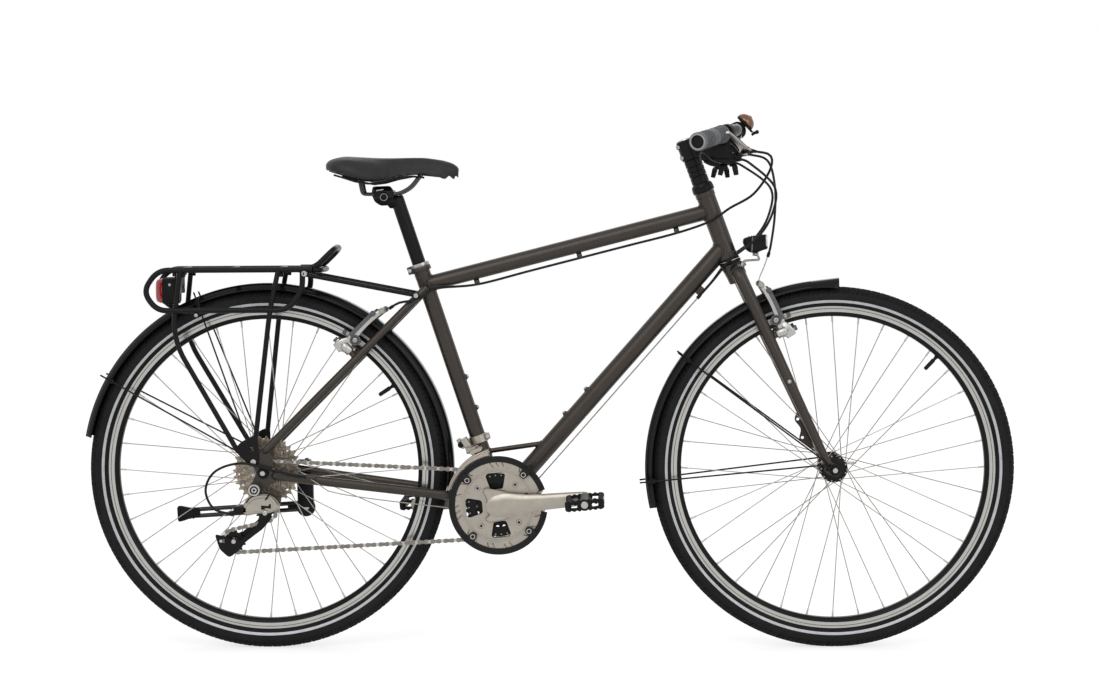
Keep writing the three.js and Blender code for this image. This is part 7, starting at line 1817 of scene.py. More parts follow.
class BICYCLE_OT_drive(bpy.types.Operator):
    """Builds the sprockets, chain, rings, guard, cranks, pedals and both derailleurs"""

    bl_idname = "bicycle.drive"
    bl_label = "Drive"

    def execute(self, context):
        nickel_bright = finish("speckled nickel", (0.3, 0.255, 0.2), 0.34, metallic=0.9, vary=0.75, scale=520,
                               bump=0.3, rough_vary=0.1)
        nickel_dark = finish("worn nickel", (0.2, 0.17, 0.135), 0.36, metallic=0.9, vary=0.7, scale=480,
                             bump=0.08, bump_scale=1500)
        plates = finish("chain plates", (0.5, 0.47, 0.42), 0.3, metallic=1.0, vary=0.15, scale=150, bump=0.05)
        ring_black = finish("guard ring", (0.011, 0.011, 0.0115), 0.4, vary=0.15, scale=40, bump=0.08,
                            bump_scale=1500, specular=0.16)
        amber = lens_plastic("amber reflector", (0.42, 0.16, 0.02))
        champagne, black, silver = champagne_metal(), plastic_black(), silver_metal()
        piece("sprockets", cassette(), [nickel_bright, nickel_dark, satin_black()], "rear_wheel",
              ["cassette"], 30)
        piece("chain_links", chain(), [plates, oiled_steel()], "frame", ["chain"], 30)
        piece("rings", chainrings(), [champagne, steel_metal(), satin_black(), nickel_dark], "crankset",
              ["chainrings"], 30)
        piece("guard_ring", chain_guard(), [ring_black, silver], "crankset", ["chain_guard"],
              35)
        for side, hand in ((-1, "right"), (1, "left")):
            piece(f"crank_arm_{hand}", crank(side), [champagne, satin_black(), silver], "crankset",
                  [f"crank_{hand}"], 40)
            piece(f"pedal_cage_{hand}", pedal(side), [black, silver, amber], f"pedal_{hand}",
                  [f"pedal_{hand}"], 35)
        radius = pitch_radius(PULLEY_TEETH)
        piece("pulley_guide", pulley(GUIDE_PULLEY, radius - 2.2), [black, silver], "guide_pulley",
              ["guide_pulley"])
        piece("pulley_tension", pulley(TENSION_PULLEY, radius + 1.2), [black, silver], "tension_pulley",
              ["tension_pulley"])
        piece("derailleur_rear", rear_derailleur(), [champagne, satin_black(), silver], "frame",
              ["rear_derailleur"], 35)
        piece("derailleur_front", front_derailleur(), [champagne, silver, satin_black()], "frame",
              ["front_derailleur"], 35)
        return {"FINISHED"}


class BICYCLE_OT_kickstand(bpy.types.Operator):
    """Builds the kickstand's bracket and its leg"""

    bl_idname = "bicycle.kickstand"
    bl_label = "Kickstand"

    def execute(self, context):
        silver = silver_metal()
        piece("stand_bracket", kickstand_bracket(), [satin_black(), silver], "frame", ["kickstand_bracket"],
              35)
        dark = finish("dark chrome", (0.03, 0.03, 0.031), 0.16, metallic=0.9, scale=90, bump=0.03)
        piece("stand_leg", kickstand_leg(), [satin_black(), silver, rubber(), dark], "kickstand",
              ["kickstand_leg"], 35)
        return {"FINISHED"}


# The brake arms with their pad shoes and link parts
def brake_arm(brake, side):
    """One arm: the curved silver casting, its boss on the post, the links, and the pad on its stud."""
    form = Form()
    pivot = brake.pivot(side)
    rise, face = brake.rise, brake.face
    form.turned(along(pivot, face, -10), face,
                [(0, 5.4), (0, 8.6), (1, 9.4), (17, 9.4), (20, 8.4), (20, 5.4)], 32, loop=True)
    form.bolt(along(pivot, face, 10), face, 5.6, 4, 1)
    low = at_y(pivot, side * 38)
    path = []
    for i in range(17):
        share = i / 16
        bow = math.sin(share * math.pi) * 7
        path.append(at_y(along(low, rise, -4 + 104 * share, face, 3 + bow * 0.8),
                         side * (38 - 3 * share + bow * 0.3)))
    form.sweep(path, lambda share, i: oblong(19 - 9 * share, 8.5 - 2 * share, 2.4, 3), up=LEFT)
    form.turned(along(low, rise, -2, face, 4), vec(0, side, 0),
                [(-5, 9), (5.6, 9), (6.4, 8), (6.4, 4, 6), (4, 4, 6), (4, 0)], 28, 1)
    foot_low = along(low, rise, -15, face, 15)
    foot_high = along(low, rise, 14, face, 11)
    form.sweep([at_y(foot_low, side * 40), at_y(foot_low.lerp(foot_high, 0.25), side * 40),
                at_y(foot_low.lerp(foot_high, 0.7), side * 40), at_y(foot_high, side * 39)],
               lambda share, i: oblong((18, 22, 18, 11)[i], (9, 11, 11, 8)[i], 3, 3), up=LEFT)
    form.bolt(along(foot_low.lerp(foot_high, 0.4), face, 13), face, 5.2, 4.4, 2)
    top = path[-1]
    form.turned(at_y(top, top.y - side * 5), vec(0, side, 0),
                [(0, 6.2), (9, 6.2), (10, 5.4), (10, 2.6, 6), (8, 2.6, 6), (8, 0)], 24, 1)
    spots = [along(low, rise, -10 + PAD_STEP * i) for i in range(201)]
    nearest = min(spots, key=lambda p: abs(math.hypot(p.x - brake.centre.x, p.z - brake.centre.z)
                                           - TRACK_RADIUS))
    shoe = at_y(nearest, side * 18.9)
    outward = (at_y(shoe, 0) - at_y(brake.centre, 0)).normalized()
    length_way = vec(-outward.z, 0, outward.x)
    shares = [i / 12 * 2 - 1 for i in range(13)]
    pad = [shoe + length_way * (31 * share) - outward * (share ** 2 * 1.5) for share in shares]
    form.sweep(pad, lambda share, i: oblong(10.6, 8.6, 2.4, 3) if 0 < i < 12 else oblong(8, 6.4, 2, 3),
               up=LEFT, finish=2)
    for i in range(5):
        at = shoe + length_way * (-22 + 11 * i)
        form.bar(at_y(at, at.y - side * 1.2) + outward * 4.2, at_y(at, at.y - side * 1.2) - outward * 4.2,
                 1.4, 6, LEFT, 0.4, finish=2)
    form.bar(shoe + length_way * -24 + vec(0, side * 5, 0), shoe + length_way * 24 + vec(0, side * 5, 0), 3.4,
             9, outward, 1.4, finish=1)
    form.rod(at_y(shoe, side * 22), at_y(shoe, side * 45), 3.6, finish=1)
    form.turned(at_y(shoe, side * 41.5), vec(0, side, 0),
                [(0, 10.6), (3, 10.6), (4, 9.6), (4, 7.6), (1.6, 7.2), (1.6, 0)], 32, 2)
    form.turned(at_y(shoe, side * 43), vec(0, side, 0),
                [(0, 5.4, 6), (4.6, 5.2, 6), (5, 4.6, 6), (5, 2.4), (3, 2.4), (3, 0)], 28, 1)
    link_low = along(low, rise, 22, face, 13)
    link_high = along(low, rise, 84, face, 12)
    form.bar(at_y(link_low, side * 42), at_y(link_high, side * 38), 5, 9, face, 2, finish=2)
    form.turned(at_y(link_high, side * 44), vec(0, -side, 0), [(0, 4.6), (1, 5.6), (7, 5.6), (8, 4.6)], 24, 2)
    if side > 0:
        form.rod(at_y(top, side * 34), at_y(along(top, rise, 4), side * 22), 4, 2.6, finish=2)
    return form


class BICYCLE_OT_brakes(bpy.types.Operator):
    """Builds the four brake arms with their pads"""

    bl_idname = "bicycle.brakes"
    bl_label = "Brake arms"

    def execute(self, context):
        silver = silver_metal()
        shoe = finish("brake shoe", (0.075, 0.078, 0.085), 0.6, vary=0.2, scale=120, bump=0.15,
                      bump_scale=1800)
        for brake, end in ((FRONT_BRAKE, "front"), (REAR_BRAKE, "rear")):
            for side, hand in ((-1, "right"), (1, "left")):
                node = f"{end}_brake_arm_{hand}"
                piece(f"{end}_arm_{hand}", brake_arm(brake, side), [silver, steel_metal(), shoe], node,
                      [node], 40)
        return {"FINISHED"}


# The bars, their grips and the controls. Places on the bar are distances out from where the grip begins
CLAMP_OUT, BELL_OUT, CABLE_EXIT = -26, -106, 16.8


def grip_line(side, out):
    """A point on the swept part of the handlebar, a distance out from where the grip begins."""
    start = shifted(BAR_CENTRE, -20.5, side * 176, -3.8)
    end = shifted(BAR_CENTRE, -74.5, side * 302, -22.8)
    return along(start, (end - start).normalized(), out)


def grip_way(side):
    return (grip_line(side, 126) - grip_line(side, 0)).normalized()


def lever_pivot(side):
    on_bar = grip_line(side, CLAMP_OUT)
    return vec(on_bar.x + 36, side * 132, on_bar.z - 34)


def blade_tip(side):
    return shifted(lever_pivot(side), -38, side * 128, 31)


def lever_axis(side):
    way = (blade_tip(side) - lever_pivot(side)).normalized()
    return way.cross(grip_line(side, 63) - lever_pivot(side)).normalized()


def lever_up(side):
    return lever_axis(side).cross((blade_tip(side) - lever_pivot(side)).normalized()).normalized()


def shifter_at(side):
    return shifted(grip_line(side, CLAMP_OUT), -4, 0, -50)


def stem():
    form = Form()
    low, high = on_steer(STEM_LOW), on_steer(STEM_LOW + STEM_HEIGHT)
    form.turned(low, STEER_UP, [(0, 17), (1.4, 19), (38.6, 19), (40, 17.6), (40, 0)], 56)
    form.turned(high, STEER_UP, [(-0.4, 17), (1.6, 16.4), (3.4, 12), (3.4, 3.2, 6), (1.4, 3.2, 6),
                                 (1.4, 0)], 48, 1)
    for height in (STEM_LOW + 9, STEM_LOW + 31):
        spot = on_steer(height, -17)
        form.bar(at_y(spot, -9), at_y(spot, 9), 9, 9, STEER_UP, 3)
        form.bolt(at_y(on_steer(height, -18), -8.6), RIGHT, 3.8, 2.8, 1)
    start = on_steer(STEM_LOW + STEM_HEIGHT / 2)
    way = (BAR_CENTRE - start).normalized()
    length = (BAR_CENTRE - start).length
    form.sweep([along(start, way, length * s) for s in (0.14, 0.3, 0.5, 0.7, 0.84, 0.95)], lambda share,
               i: oblong((31, 29, 27, 27, 29, 33)[i], (32, 29.5, 27, 26.5, 28, 33)[i], 11, 5), up=STEER_UP)
    sleeve(form, at_y(BAR_CENTRE, -23), LEFT, 46, 18.6, 12.8, 1, sides=56)
    face = along(BAR_CENTRE, way, 8)
    form.bar(at_y(face, -20.5), at_y(face, 20.5), 30, 26, STEER_UP, 5)
    for y in (-15, 15):
        for height in (-14, 14):
            form.bolt(at_y(along(BAR_CENTRE, way, 20.6, STEER_UP, height * 0.8), y), way, 3.6, 2.4, 1)
    return form


def spacers():
    form = Form()
    for start, height in ((608.3, 14.8), (623.4, 9.8), (633.5, 9.8), (643.6, 14.1)):
        sleeve(form, on_steer(start), STEER_UP, height, 17, 14.4, 0.8, sides=56)
    return form


def handlebar():
    """The swept bar, thicker where the stem holds it."""
    corners = [grip_line(-1, 120), grip_line(-1, 0), grip_line(-1, -92), at_y(BAR_CENTRE, -34),
               at_y(BAR_CENTRE, 34), grip_line(1, -92), grip_line(1, 0), grip_line(1, 120)]
    way = rounded(corners, 40, 8)

    def radius(share):
        y = abs(share * 2 - 1) * 302
        return 12.6 if y < 31 else 11 if y > 62 else 12.6 - 1.6 * (y - 31) / 31

    return Form().tube(even_points_open(way, 97), radius, 32)


def even_points_open(points, count):
    """Points at equal distances along an open way, its ends kept."""
    total = sum((b - a).length for a, b in zip(points, points[1:]))
    out, run, i = [], 0.0, 0
    for k in range(count):
        target = total * k / (count - 1)
        while i < len(points) - 2 and run + (points[i + 1] - points[i]).length < target:
            run += (points[i + 1] - points[i]).length
            i += 1
        length = (points[i + 1] - points[i]).length
        out.append(points[i].lerp(points[i + 1], min(1.0, (target - run) / length if length else 0)))
    return out


def grip(side):
    """A rubber grip: a flange, rows of fine ribs with painted shade in their grooves, a smooth palm band, and
    a ringed end cap.
    """
    form = Form()
    profile, marks = [(0, 11.4), (0, 16.6), (0.8, 17.2), (4.6, 17.2), (5.4, 16.6)], [0] * 4
    at = 6.4
    while at < 116:
        palm = 44 < at < 70
        if palm:
            profile += [(at, 16.2), (at + 2.8, 16.2)]
            marks += [0, 0]
        else:
            # The rib flanks and the groove between ribs take finish 3, a darker grey: painted shade in the
            # recesses.
            profile += [(at, 14.6), (at + 0.9, 16.5), (at + 4.3, 16.5), (at + 5.2, 14.6)]
            marks += [3, 3, 0, 3]
        at += 6.5 if not palm else 3.0
    profile += [(117, 15.6), (118.4, 17.1), (124.4, 17.1), (126, 15.9), (126, 12.2)]
    marks = (marks + [0] * len(profile))[:len(profile)]
    form.turned(grip_line(side, 0), grip_way(side), profile, 64, marks, loop=True)
    form.turned(grip_line(side, 121), grip_way(side),
                [(0, 12.4), (4.2, 12.2), (4.8, 10.6), (3.6, 9.6), (3.6, 0)], 48, 2)
    form.turned(grip_line(side, 125.4), grip_way(side),
                [(0, 12.3), (0, 15.4), (1, 15.2), (1.3, 14), (1.3, 12.3)], 48, 1, loop=True)
    return form


def controls(side):
    """The lever's clamp and bracket with its reach barrel, and the shifter's body with its window."""
    form = Form()
    on_bar, way = grip_line(side, CLAMP_OUT), grip_way(side)
    pivot, axis = lever_pivot(side), lever_axis(side)
    sleeve(form, along(on_bar, way, -7), way, 14, 16, 11.2, 1.2, 0, 48)
    form.bolt(shifted(on_bar, -2, 0, -15), vec(-0.4, 0, -1), 4, 3, 1)
    root = at_y(pivot, pivot.y - side * 14.4)
    form.sweep([on_bar, on_bar.lerp(pivot, 0.3), on_bar.lerp(pivot, 0.6), root],
               lambda share, i: oblong((18, 17, 17, 19)[i], (20, 20, 21, 19)[i], 6, 4), up=LEFT)
    for sign in (-1, 1):
        form.turned(along(pivot, axis, sign * 2.9), axis * sign,
                    [(0, 9), (2.6, 9), (3.6, 8), (3.6, 3), (3, 2.6), (3, 0)], 32)
    form.turned(along(pivot, axis, 6.4), axis,
                [(0, 4.4), (1, 4), (1, 2.2, 6), (0.2, 2.2, 6), (0.2, 0)], 20, 1)
    exit_at = vec(root.x + CABLE_EXIT, root.y - side * 7.5, root.z)
    way_out = (exit_at - root).normalized()
    form.turned(root, way_out, [(0, 6), (5, 6), (6, 5.4)]
                + [(6 + k * 1.3, 5.4 if k % 2 else 4.9) for k in range(6)]
                + [(14, 4.8), (18, 3.9), (18.4, 0)], 28)
    body = shifter_at(side)
    shell = rounded_outline([(-46, 16), (-34, 7), (-18, -4), (1, -8.5), (13, -6), (23, -1), (25, 4), (15, 10),
                             (5, 22), (-10, 34), (-24, 28)], 6, 5)
    form.plate([(body.x + a, body.z + b) for a, b in shell], side * 152, 31, edge=5)
    low = rounded_outline([(-30, 2), (-16, -6), (2, -9.6), (16, -7), (24, -1), (8, 2)], 4, 4)
    form.plate([(body.x + a, body.z + b) for a, b in low], side * 152, 36, edge=2.5)
    form.turned(shifted(body, -8, -side * 15, 8), vec(0, -side, 0),
                [(0, 9), (2.4, 9), (3.2, 8), (3.2, 0)], 36)
    form.rod(on_bar, body, 8.4, 8.8)
    window = shifted(body, 10, 0, 12)
    form.bar(shifted(window, -7, 0, 0), shifted(window, 7, 0, 0), 16, 2, UP, 1, finish=2)
    form.bar(shifted(window, -1, 0, 0.8), shifted(window, 0.6, 0, 0.8), 11, 1.2, UP, 0.4, finish=3)
    form.turned(shifted(body, 20, -side * 8.5, 0), FORWARD, [(0, 6), (3, 6), (3.4, 5)] + [
        (3.4 + k * 0.9, 5 if k % 2 else 4.5) for k in range(6)] + [(9, 4)], 24)
    return form


def brake_lever(side):
    """A long curved two-finger blade with a rolled tip, an eye at its pivot, and a shallow finger hollow."""
    form = Form()
    pivot, tip, axis, up = lever_pivot(side), blade_tip(side), lever_axis(side), lever_up(side)
    rings = []
    for i in range(29):
        share = i / 28
        bend = -math.sin(share * math.pi) * 1.2 + (1.2 * max(0, share - 0.8) / 0.2 if share > 0.8 else 0)
        centre = pivot.lerp(tip, share) + up * bend
        width = 10 - 6.2 * math.sqrt(share) if share < 0.86 else 4.2 + (share - 0.86) * 2
        width += 2.4 * max(0.0, 1 - share / 0.14)
        if share > 0.97:
            width *= 0.7
        half = 2.35 if share < 0.1 else 2.5 - 0.5 * share
        ring = []
        for a, b in ((-1, -0.5), (-0.7, -1), (0, -1.1), (0.7, -1), (1, -0.5), (1, 0.5), (0.7, 1), (0, 0.72),
                     (-0.7, 1), (-1, 0.5)):
            ring.append(centre + up * (a * width) + axis * (b * half))
        rings.append(ring)
    form.rings(rings)
    form.turned(along(pivot, axis, -2.4), axis, [(0, 8.2), (0.6, 9), (4.2, 9), (4.8, 8.2)], 32)
    return form


def trigger(side, order):
    """A thumb trigger: a thick bent paddle with grooves, on its pin."""
    form = Form()
    pivot = shifted(shifter_at(side), 0, 0, -11.1)
    forward = order * 30
    root = shifted(pivot, forward / 2, side * 8 * (0.4 if order else -0.4), 0)
    tip = shifted(root, forward / 2 - 9, side * 15, -18.5)
    bend = shifted(root, (tip.x - root.x) / 2, side * 9, -0.5)
    path = rounded([root, bend, tip], 7, 8)
    last = len(path) - 1
    form.sweep(path, lambda share, i: oblong(5 + 1.6 * share, 8.4 + 2.8 * share, 2.2, 3) if i < last
               else oblong(4.4, 9, 2, 3), up=FORWARD)
    for k in range(3):
        spot = path[last - 1].lerp(path[last], 0.1 + 0.28 * k)
        form.bar(shifted(spot, -4, side * 3, 0), shifted(spot, 4, side * 3, 0), 1.2, 0.9, UP, 0.3)
    form.turned(shifted(root, 0, 0, -3), UP, [(0, 5.4), (0.6, 6), (5.4, 6), (6, 5.4)], 28)
    return form


BELL_FORWARD, BELL_UP = vec(math.sqrt(0.5), 0, -math.sqrt(0.5)), vec(math.sqrt(0.5), 0, math.sqrt(0.5))


def bell_spot(forward, side, rise):
    on_bar = grip_line(1, BELL_OUT)
    return along(shifted(on_bar, 0, side, 0), BELL_FORWARD, forward, BELL_UP, rise)


def bell():
    """The bell: a plated dome with its nut and rolled lip on a black base, stalk and bar clamp."""
    form = Form()
    on_bar, way = grip_line(1, BELL_OUT), grip_way(1)
    sleeve(form, along(on_bar, way, -7), way, 14, 17.4, 11.2, 1, 1, 48)
    form.bolt(shifted(on_bar, 3, 0, -17), vec(0.2, 0, -1), 4, 3, 1)
    form.turned(bell_spot(0, 0, 11), BELL_UP, [(0, 7.4), (3, 6.3), (12, 6.3)], 28, 1)
    form.turned(bell_spot(0, 0, 18), BELL_UP, [(0, 12), (1, 18), (5, 19), (5, 6)], 56, 1)
    form.turned(bell_spot(0, 0, 23.4), BELL_UP, [(0, 17.6), (-0.4, 18.6), (0.4, 19), (2, 18.9), (5, 18), (
        9, 15.6), (12.4, 11.6), (14.6, 7.4), (15.6, 3.6), (16, 0)], 64)
    form.turned(bell_spot(0, 0, 38), BELL_UP, [(0, 3.6), (1.2, 3.8), (2, 2.4), (2, 0)], 24, 1)
    form.bar(bell_spot(8, 0, 19.8), bell_spot(24, 0, 19.6), 9, 4, BELL_UP, 1.6, finish=1)
    return form


def bell_striker():
    """The bell's thumb lever, with its round end."""
    form = Form()
    pivot, tip = bell_spot(27.1, 0, 19), bell_spot(29.7, -20, 25)
    form.sweep([pivot, pivot.lerp(tip, 0.4), pivot.lerp(tip, 0.8), tip], lambda share,
               i: oblong(5 + 2 * share, 4, 1.4, 3), up=BELL_UP)
    form.turned(bell_spot(24.6, 0, 19), BELL_FORWARD, [(0, 3.8), (0.5, 4.6), (4.6, 4.6), (5, 3.8)], 24)
    form.ball(tip, 4, squash=0.9, sides=18)
    return form


def head_lamp():
    """The head lamp: a wedge housing with a seam and fins, a bezel and lens, and its wire bracket."""
    form = Form()
    at = on_steer(462, 59.5)
    side_view = rounded_outline([(-24, 8), (-20, 11), (-6, 14), (19, 17.5), (21, 4), (23, -11), (14, -13),
                                 (0, -19), (-12, -18), (-20, -12), (-25, 2)], 4, 4)
    form.plate([(at.x + a, at.z + b) for a, b in side_view], 0, 38, edge=6)
    form.plate([(at.x + a * 0.9 + 1, at.z + b * 0.9) for a, b in side_view], 0, 42, edge=3)
    for side in (-1, 1):
        form.bar(vec(at.x - 9, side * 20.6, at.z + 12), vec(at.x - 11, side * 20.6, at.z - 16), 1.6, 1.6,
                 FORWARD, 0.5)
        form.bar(vec(at.x - 7, side * 20.7, at.z + 12.4), vec(at.x - 9, side * 20.7, at.z - 16.4), 1, 3,
                 FORWARD, 0.4, finish=5)
    for k in range(4):
        form.bar(vec(at.x - 14 + 5 * k, 0, at.z + 13 + 0.7 * k),
                 vec(at.x - 12.4 + 5 * k, 0, at.z + 13.4 + 0.7 * k), 22, 1.6, UP, 0.5)
    form.sweep([vec(at.x + x, 0, at.z + 2.5) for x in (18.6, 21)], lambda share,
               i: oblong(40 - i, 30 - i, 9, 5), up=UP, finish=2)
    form.sweep([vec(at.x + x, 0, at.z + 2.5) for x in (20.4, 21.6)], lambda share,
               i: oblong(36 - 3 * i, 25 - 3 * i, 8, 5), up=UP, finish=3)
    for k in range(5):
        y = -13 + 6.5 * k
        form.bar(vec(at.x + 21.7, y - 0.6, at.z + 12), vec(at.x + 21.7, y - 0.6, at.z - 7), 1, 0.7, FORWARD,
                 0.2, finish=3)
    foot = shifted(at, 0, 0, -22)
    form.bar(shifted(foot, -6, 0, 1.6), shifted(foot, 5, 0, 0.2), 10, 8, UP, 2.4, finish=4)
    form.bolt(shifted(foot, 0, -5, 0.6), RIGHT, 2.6, 1.6, 1)
    front = on_steer(432, 26)
    wire = rounded([shifted(foot, 4, 0, -2), shifted(foot, 7.8, 0, -10), along(front, STEER_UP, 6),
                    front], 4, 6)
    form.tube(wire, 2.2, 14, 1)
    form.turned(on_steer(432, 20.4), STEER_OUT, [(0, 7.6), (2.6, 7.6), (3, 6.6), (3, 4.4, 6), (7.6, 4.4, 6),
                                                 (7.6, 0)], 28, 1)
    return form


class BICYCLE_OT_bars(bpy.types.Operator):
    """Builds the stem, handlebar, grips, controls, levers, bell and head lamp"""

    bl_idname = "bicycle.bars"
    bl_label = "Handlebar and lamp"

    def execute(self, context):
        black, satin, silver, champagne = plastic_black(), satin_black(), silver_metal(), champagne_metal()
        piece("spacer_rings", spacers(), [satin], "steering", ["steerer_spacers"])
        piece("stem_clamp", stem(), [satin, silver], "steering", ["stem"], 40)
        piece("bar_tube", handlebar(), [satin], "steering", ["handlebar"])
        ribbed = finish("grip rubber", colours().grip, 0.62, vary=0.2, bump=0.3, bump_scale=1600,
                        specular=0.3)
        # The grip groove finish is painted shade: a darker grey laid on the rib flanks and the grooves
        # between ribs.
        groove = finish("grip groove shade", (0.04, 0.042, 0.045), 0.7, vary=0.2, bump=0.2, bump_scale=1600,
                        specular=0.2)
        ring = finish("grip end ring", (0.26, 0.26, 0.265), 0.5, scale=90, bump=0.1)
        window = lens_plastic("gear window", (0.09, 0.1, 0.11))
        pointer = finish("gear pointer", (0.5, 0.1, 0.03), 0.5, vary=0.2, scale=90)
        for side, hand in ((-1, "right"), (1, "left")):
            piece(f"bar_grip_{hand}", grip(side), [ribbed, ring, black, groove], "steering", [f"grip_{hand}"],
                  30)
            piece(f"bar_controls_{hand}", controls(side), [black, silver, window, pointer], "steering",
                  [f"controls_{hand}"], 40)
            node = f"brake_lever_{hand}"
            piece(f"blade_{hand}", brake_lever(side), [champagne], node, [node], 50)
            for order, name in ((0, "shift_lever"), (1, "release_lever")):
                node = f"{name}_{hand}"
                piece(f"trigger_{name}_{hand}", trigger(side, order), [black], node, [node],
                      40)
        brass = finish("bell dome", colours().bell, 0.16, metallic=1.0, rough_vary=0.06, bump=0.03)
        piece("bell_dome", bell(), [brass, black], "steering", ["bell"], 40)
        piece("bell_thumb", bell_striker(), [black], "bell_striker", ["bell_striker"], 40)
        lens = lens_plastic("lamp lens", (0.62, 0.66, 0.7))
        grey = finish("lamp connector", (0.4, 0.4, 0.4), 0.5, scale=90, bump=0.1)
        piece("lamp_front", head_lamp(), [black, steel_metal(), silver, lens, grey, window], "steering",
              ["head_lamp"], 40)
        return {"FINISHED"}


# The seat post, the rails and the saddle
HEAD_AT = vec(234.1, 0, 889.86)
RAIL_SIDE = 22
SADDLE_BACK, SADDLE_LENGTH, SADDLE_TOP = 115, 270, 960
SADDLE_STATIONS = [(0, .22, .22, .5), (.02, .34, .08, .56), (.07, .45, -.01, .66), (.16, .5, -.01, .8),
                   (.25, .5, .02, .96), (.34, .43, .05, 1.05), (.43, .33, .07, 1), (.53, .24, .07, .86),
                   (.64, .18, .06, .76), (.76, .15, .05, .83), (.88, .14, .06, .9), (.95, .12, .13, .93),
                   (.985, .09, .25, .87), (1, .06, .38, .76)]
SADDLE_SECTION = [(0, .42), (.55, .5), (.86, .9), (.94, 1), (1, .9), (.97, .55), (.84, .2),
                  (.55, .03), (.2, 0)]


def saddle_at(share, y, drop):
    return vec(SADDLE_BACK + SADDLE_LENGTH * share, y, SADDLE_TOP - drop)


def saddle_ring(share, inner=0.0):
    """The closed outline of the saddle across its length at a share of it, drawn in by an amount."""
    for (a, w0, t0, e0), (b, w1, t1, e1) in zip(SADDLE_STATIONS, SADDLE_STATIONS[1:]):
        if a <= share <= b:
            mix = (share - a) / (b - a)
            width, top, edge = w0 + (w1 - w0) * mix, t0 + (t1 - t0) * mix, e0 + (e1 - e0) * mix
            break
    half = width * 156 - inner
    rise, fall = top * 50 + inner, edge * 50 - inner * 0.4
    points = []
    full = SADDLE_SECTION + [(-a, b) for a, b in reversed(SADDLE_SECTION) if a > 0]
    for a, b in full:
        points.append(saddle_at(share, a * half, rise + (fall - rise) * b))
    return points


def smooth_rings(rings, rounds):
    for _ in range(rounds):
        rings = [[(a + b * 2 + c) / 4 for a, b, c in zip(rings[max(i - 1, 0)], ring, rings[
            min(i + 1, len(rings) - 1)])] for i, ring in enumerate(rings)]
    return rings


def saddle_pad():
    """The padded cover, first as a slightly smaller closed form that the cloth pass swells."""
    form = Form()
    shares = [0.004, 0.012, 0.03, 0.05] + [0.08 + 0.9 * i / 40 for i in range(41)] + [0.99, 0.996]
    rings = []
    for share in shares:
        ring = saddle_ring(min(share, 0.999), 2.4)
        dense = []
        for i, p in enumerate(ring):
            q = ring[(i + 1) % len(ring)]
            dense += [p, p.lerp(q, 0.5)]
        rings.append(dense)
    form.rings(smooth_rings(rings, 2))
    return form


def saddle_trim():
    """The hard shell under the cover with its lower lip, the seams along the cover, and the tail bumper."""
    form = Form()
    shares = [0.1 + 0.62 * i / 48 for i in range(49)]
    for sign in (-1, 1):
        lip = []
        for share in shares:
            ring = saddle_ring(share, 4.5)
            point = ring[3] if sign > 0 else ring[-3]
            lip.append(shifted(point, 0, 0, 0.4))
        form.tube(even_points_open(lip, 90), 1.9, 10)
        seam = []
        for share in [0.05 + 0.9 * i / 60 for i in range(61)]:
            ring = saddle_ring(share, 0.4)
            point = ring[5].lerp(ring[6], 0.25) if sign > 0 else ring[-5].lerp(ring[-6], 0.25)
            seam.append(point)
        way = even_points_open(seam, 170)
        for i in range(0, 168, 2):
            form.rod(way[i], way[i + 1], 0.36, sides=6, finish=1)
    under = []
    for share in [0.06 + 0.8 * i / 24 for i in range(25)]:
        ring = saddle_ring(share, 8.0)
        low = ring[:4] + ring[-3:]
        half = max(abs(p.y) for p in low)
        base = min(p.z for p in low) + 5
        under.append([vec(low[0].x, y * half * 0.94, base + z) for y, z in ((-1, -2.5), (-0.6, 0.5), (0, 2), (
            0.6, 0.5), (1, -2.5), (1, -0.5), (0.6, 3), (0, 5), (-0.6, 3), (-1, -0.5))])
    form.rings(under, finish=2)
    return form


def saddle_rails():
    """Two bent rails in their sockets, with the graduated clamp stretch."""
    form = Form()
    for side in (-1, 1):
        start = saddle_at(0.25, side * 28.6, 18)
        corners = [start, vec(start.x + 9.9, side * 24.2, HEAD_AT.z), vec(208.1, side * RAIL_SIDE, HEAD_AT.z),
                   vec(261.9, side * RAIL_SIDE, HEAD_AT.z), vec(285.3, side * 17.6, HEAD_AT.z + 12.1),
                   saddle_at(0.76, side * 9.9, 13)]
        form.tube(rounded(corners, 12, 7), 3.5, 18)
        form.turned(shifted(start, -1, 0, -2), corners[1] - start, [(0, 6.6), (5, 6.2), (8, 4.8)], 24, 1)
        for k in range(7):
            at = vec(214 + 7 * k, side * RAIL_SIDE, HEAD_AT.z)
            form.turned(at, FORWARD, [(0, 3.6), (0.3, 3.66), (0.6, 3.6)], 18, 1)
    nose = saddle_at(0.765, 0, 13)
    form.bar(shifted(nose, 0, -13, 0), shifted(nose, 0, 13, 0), 9, 8, UP, 3, finish=1)
    return form


